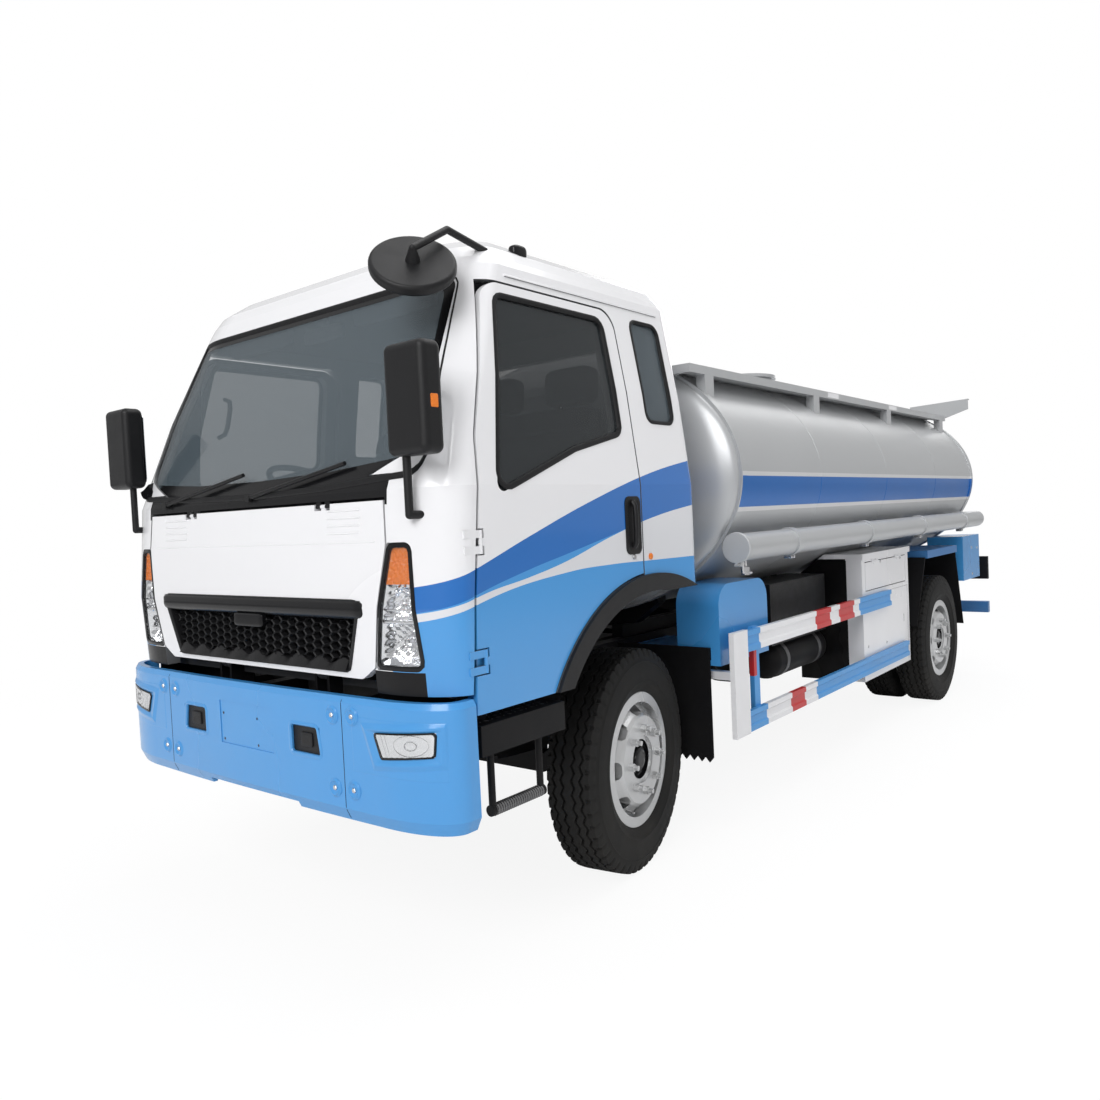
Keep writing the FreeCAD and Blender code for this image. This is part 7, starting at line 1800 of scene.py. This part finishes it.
class TRUCK_OT_headlamps(bpy.types.Operator):
    """Covers, bowls, bulbs and indicators"""
    bl_idname = "truck.headlamps"
    bl_label = "Headlamps"

    def execute(self, context):
        build_headlamps()
        return {"FINISHED"}


class TRUCK_OT_bumper(bpy.types.Operator):
    """Bolt cups, painted-shade discs in the screw holes, and fog lamps"""
    bl_idname = "truck.bumper"
    bl_label = "Bumper fittings"

    def execute(self, context):
        build_bumper_fittings()
        build_fog_lamps()
        return {"FINISHED"}


class TRUCK_OT_grille(bpy.types.Operator):
    """Glossy bar, honeycomb net and wavy lip"""
    bl_idname = "truck.grille"
    bl_label = "Grille"

    def execute(self, context):
        build_grille()
        return {"FINISHED"}


class TRUCK_OT_pressings(bpy.types.Operator):
    """Louvres and pressed line of the front flap"""
    bl_idname = "truck.pressings"
    bl_label = "Front pressings"

    def execute(self, context):
        build_front_pressings()
        return {"FINISHED"}


class TRUCK_OT_mirrors(bpy.types.Operator):
    """Glass and amber strips of the mirrors"""
    bl_idname = "truck.mirrors"
    bl_label = "Mirror details"

    def execute(self, context):
        build_mirror_details()
        return {"FINISHED"}


class TRUCK_OT_doors(bpy.types.Operator):
    """Door handles, locks and rain gutters"""
    bl_idname = "truck.doors"
    bl_label = "Door fittings"

    def execute(self, context):
        build_side_fittings()
        build_gutters()
        return {"FINISHED"}


class TRUCK_OT_steps(bpy.types.Operator):
    """Grip on the step boards"""
    bl_idname = "truck.steps"
    bl_label = "Step treads"

    def execute(self, context):
        build_step_treads()
        return {"FINISHED"}


class TRUCK_OT_tank(bpy.types.Operator):
    """Weld seams of the tank, tube clamps and valves"""
    bl_idname = "truck.tank"
    bl_label = "Tank details"

    def execute(self, context):
        build_tank_seams()
        build_hose_fittings()
        return {"FINISHED"}


class TRUCK_OT_walkway(bpy.types.Operator):
    """Tape on the walkway rails"""
    bl_idname = "truck.walkway"
    bl_label = "Walkway details"

    def execute(self, context):
        build_walkway_details()
        return {"FINISHED"}


class TRUCK_OT_side_fittings(bpy.types.Operator):
    """Cabinet locks, box bolts, side and roof lamps"""
    bl_idname = "truck.side_fittings"
    bl_label = "Side fittings"

    def execute(self, context):
        build_cabinet_fittings()
        build_side_lamps()
        build_air_tanks()
        return {"FINISHED"}


class TRUCK_OT_tail_lamps(bpy.types.Operator):
    """Segments of the tail lamps"""
    bl_idname = "truck.tail_lamps"
    bl_label = "Tail lamp details"

    def execute(self, context):
        build_tail_lamp_details()
        return {"FINISHED"}


OPERATORS = (TRUCK_OT_stage, TRUCK_OT_finishes, TRUCK_OT_tyres, TRUCK_OT_seals,
             TRUCK_OT_screen, TRUCK_OT_seats, TRUCK_OT_dashboard, TRUCK_OT_headlamps,
             TRUCK_OT_bumper, TRUCK_OT_grille, TRUCK_OT_pressings, TRUCK_OT_mirrors,
             TRUCK_OT_doors, TRUCK_OT_steps, TRUCK_OT_tank, TRUCK_OT_walkway,
             TRUCK_OT_side_fittings, TRUCK_OT_tail_lamps)


class TRUCK_PT_panel(bpy.types.Panel):
    """Lists the steps and the values that a user would change"""
    bl_label = "Truck"
    bl_space_type = "VIEW_3D"
    bl_region_type = "UI"
    bl_category = "Truck"

    def draw(self, context):
        for made in OPERATORS:
            self.layout.operator(made.bl_idname, text=made.bl_label)
        for values in (context.scene.truck_colours, context.scene.truck_sizes):
            for key in values.__annotations__:
                self.layout.prop(values, key)


CLASSES = (TruckColours, TruckSizes, *OPERATORS, TRUCK_PT_panel)


def register():
    """The panel, the operators and the scene's two sets of values."""
    for made in CLASSES:
        bpy.utils.register_class(made)
    bpy.types.Scene.truck_colours = bpy.props.PointerProperty(type=TruckColours)
    bpy.types.Scene.truck_sizes = bpy.props.PointerProperty(type=TruckSizes)


def unregister():
    """Takes away what register added."""
    del bpy.types.Scene.truck_colours, bpy.types.Scene.truck_sizes
    for made in reversed(CLASSES):
        bpy.utils.unregister_class(made)


def main():
    """Runs the operators in order."""
    register()
    for made in OPERATORS:
        group_name, name = made.bl_idname.split(".")
        getattr(getattr(bpy.ops, group_name), name)()


if __name__ == "__main__":
    main()
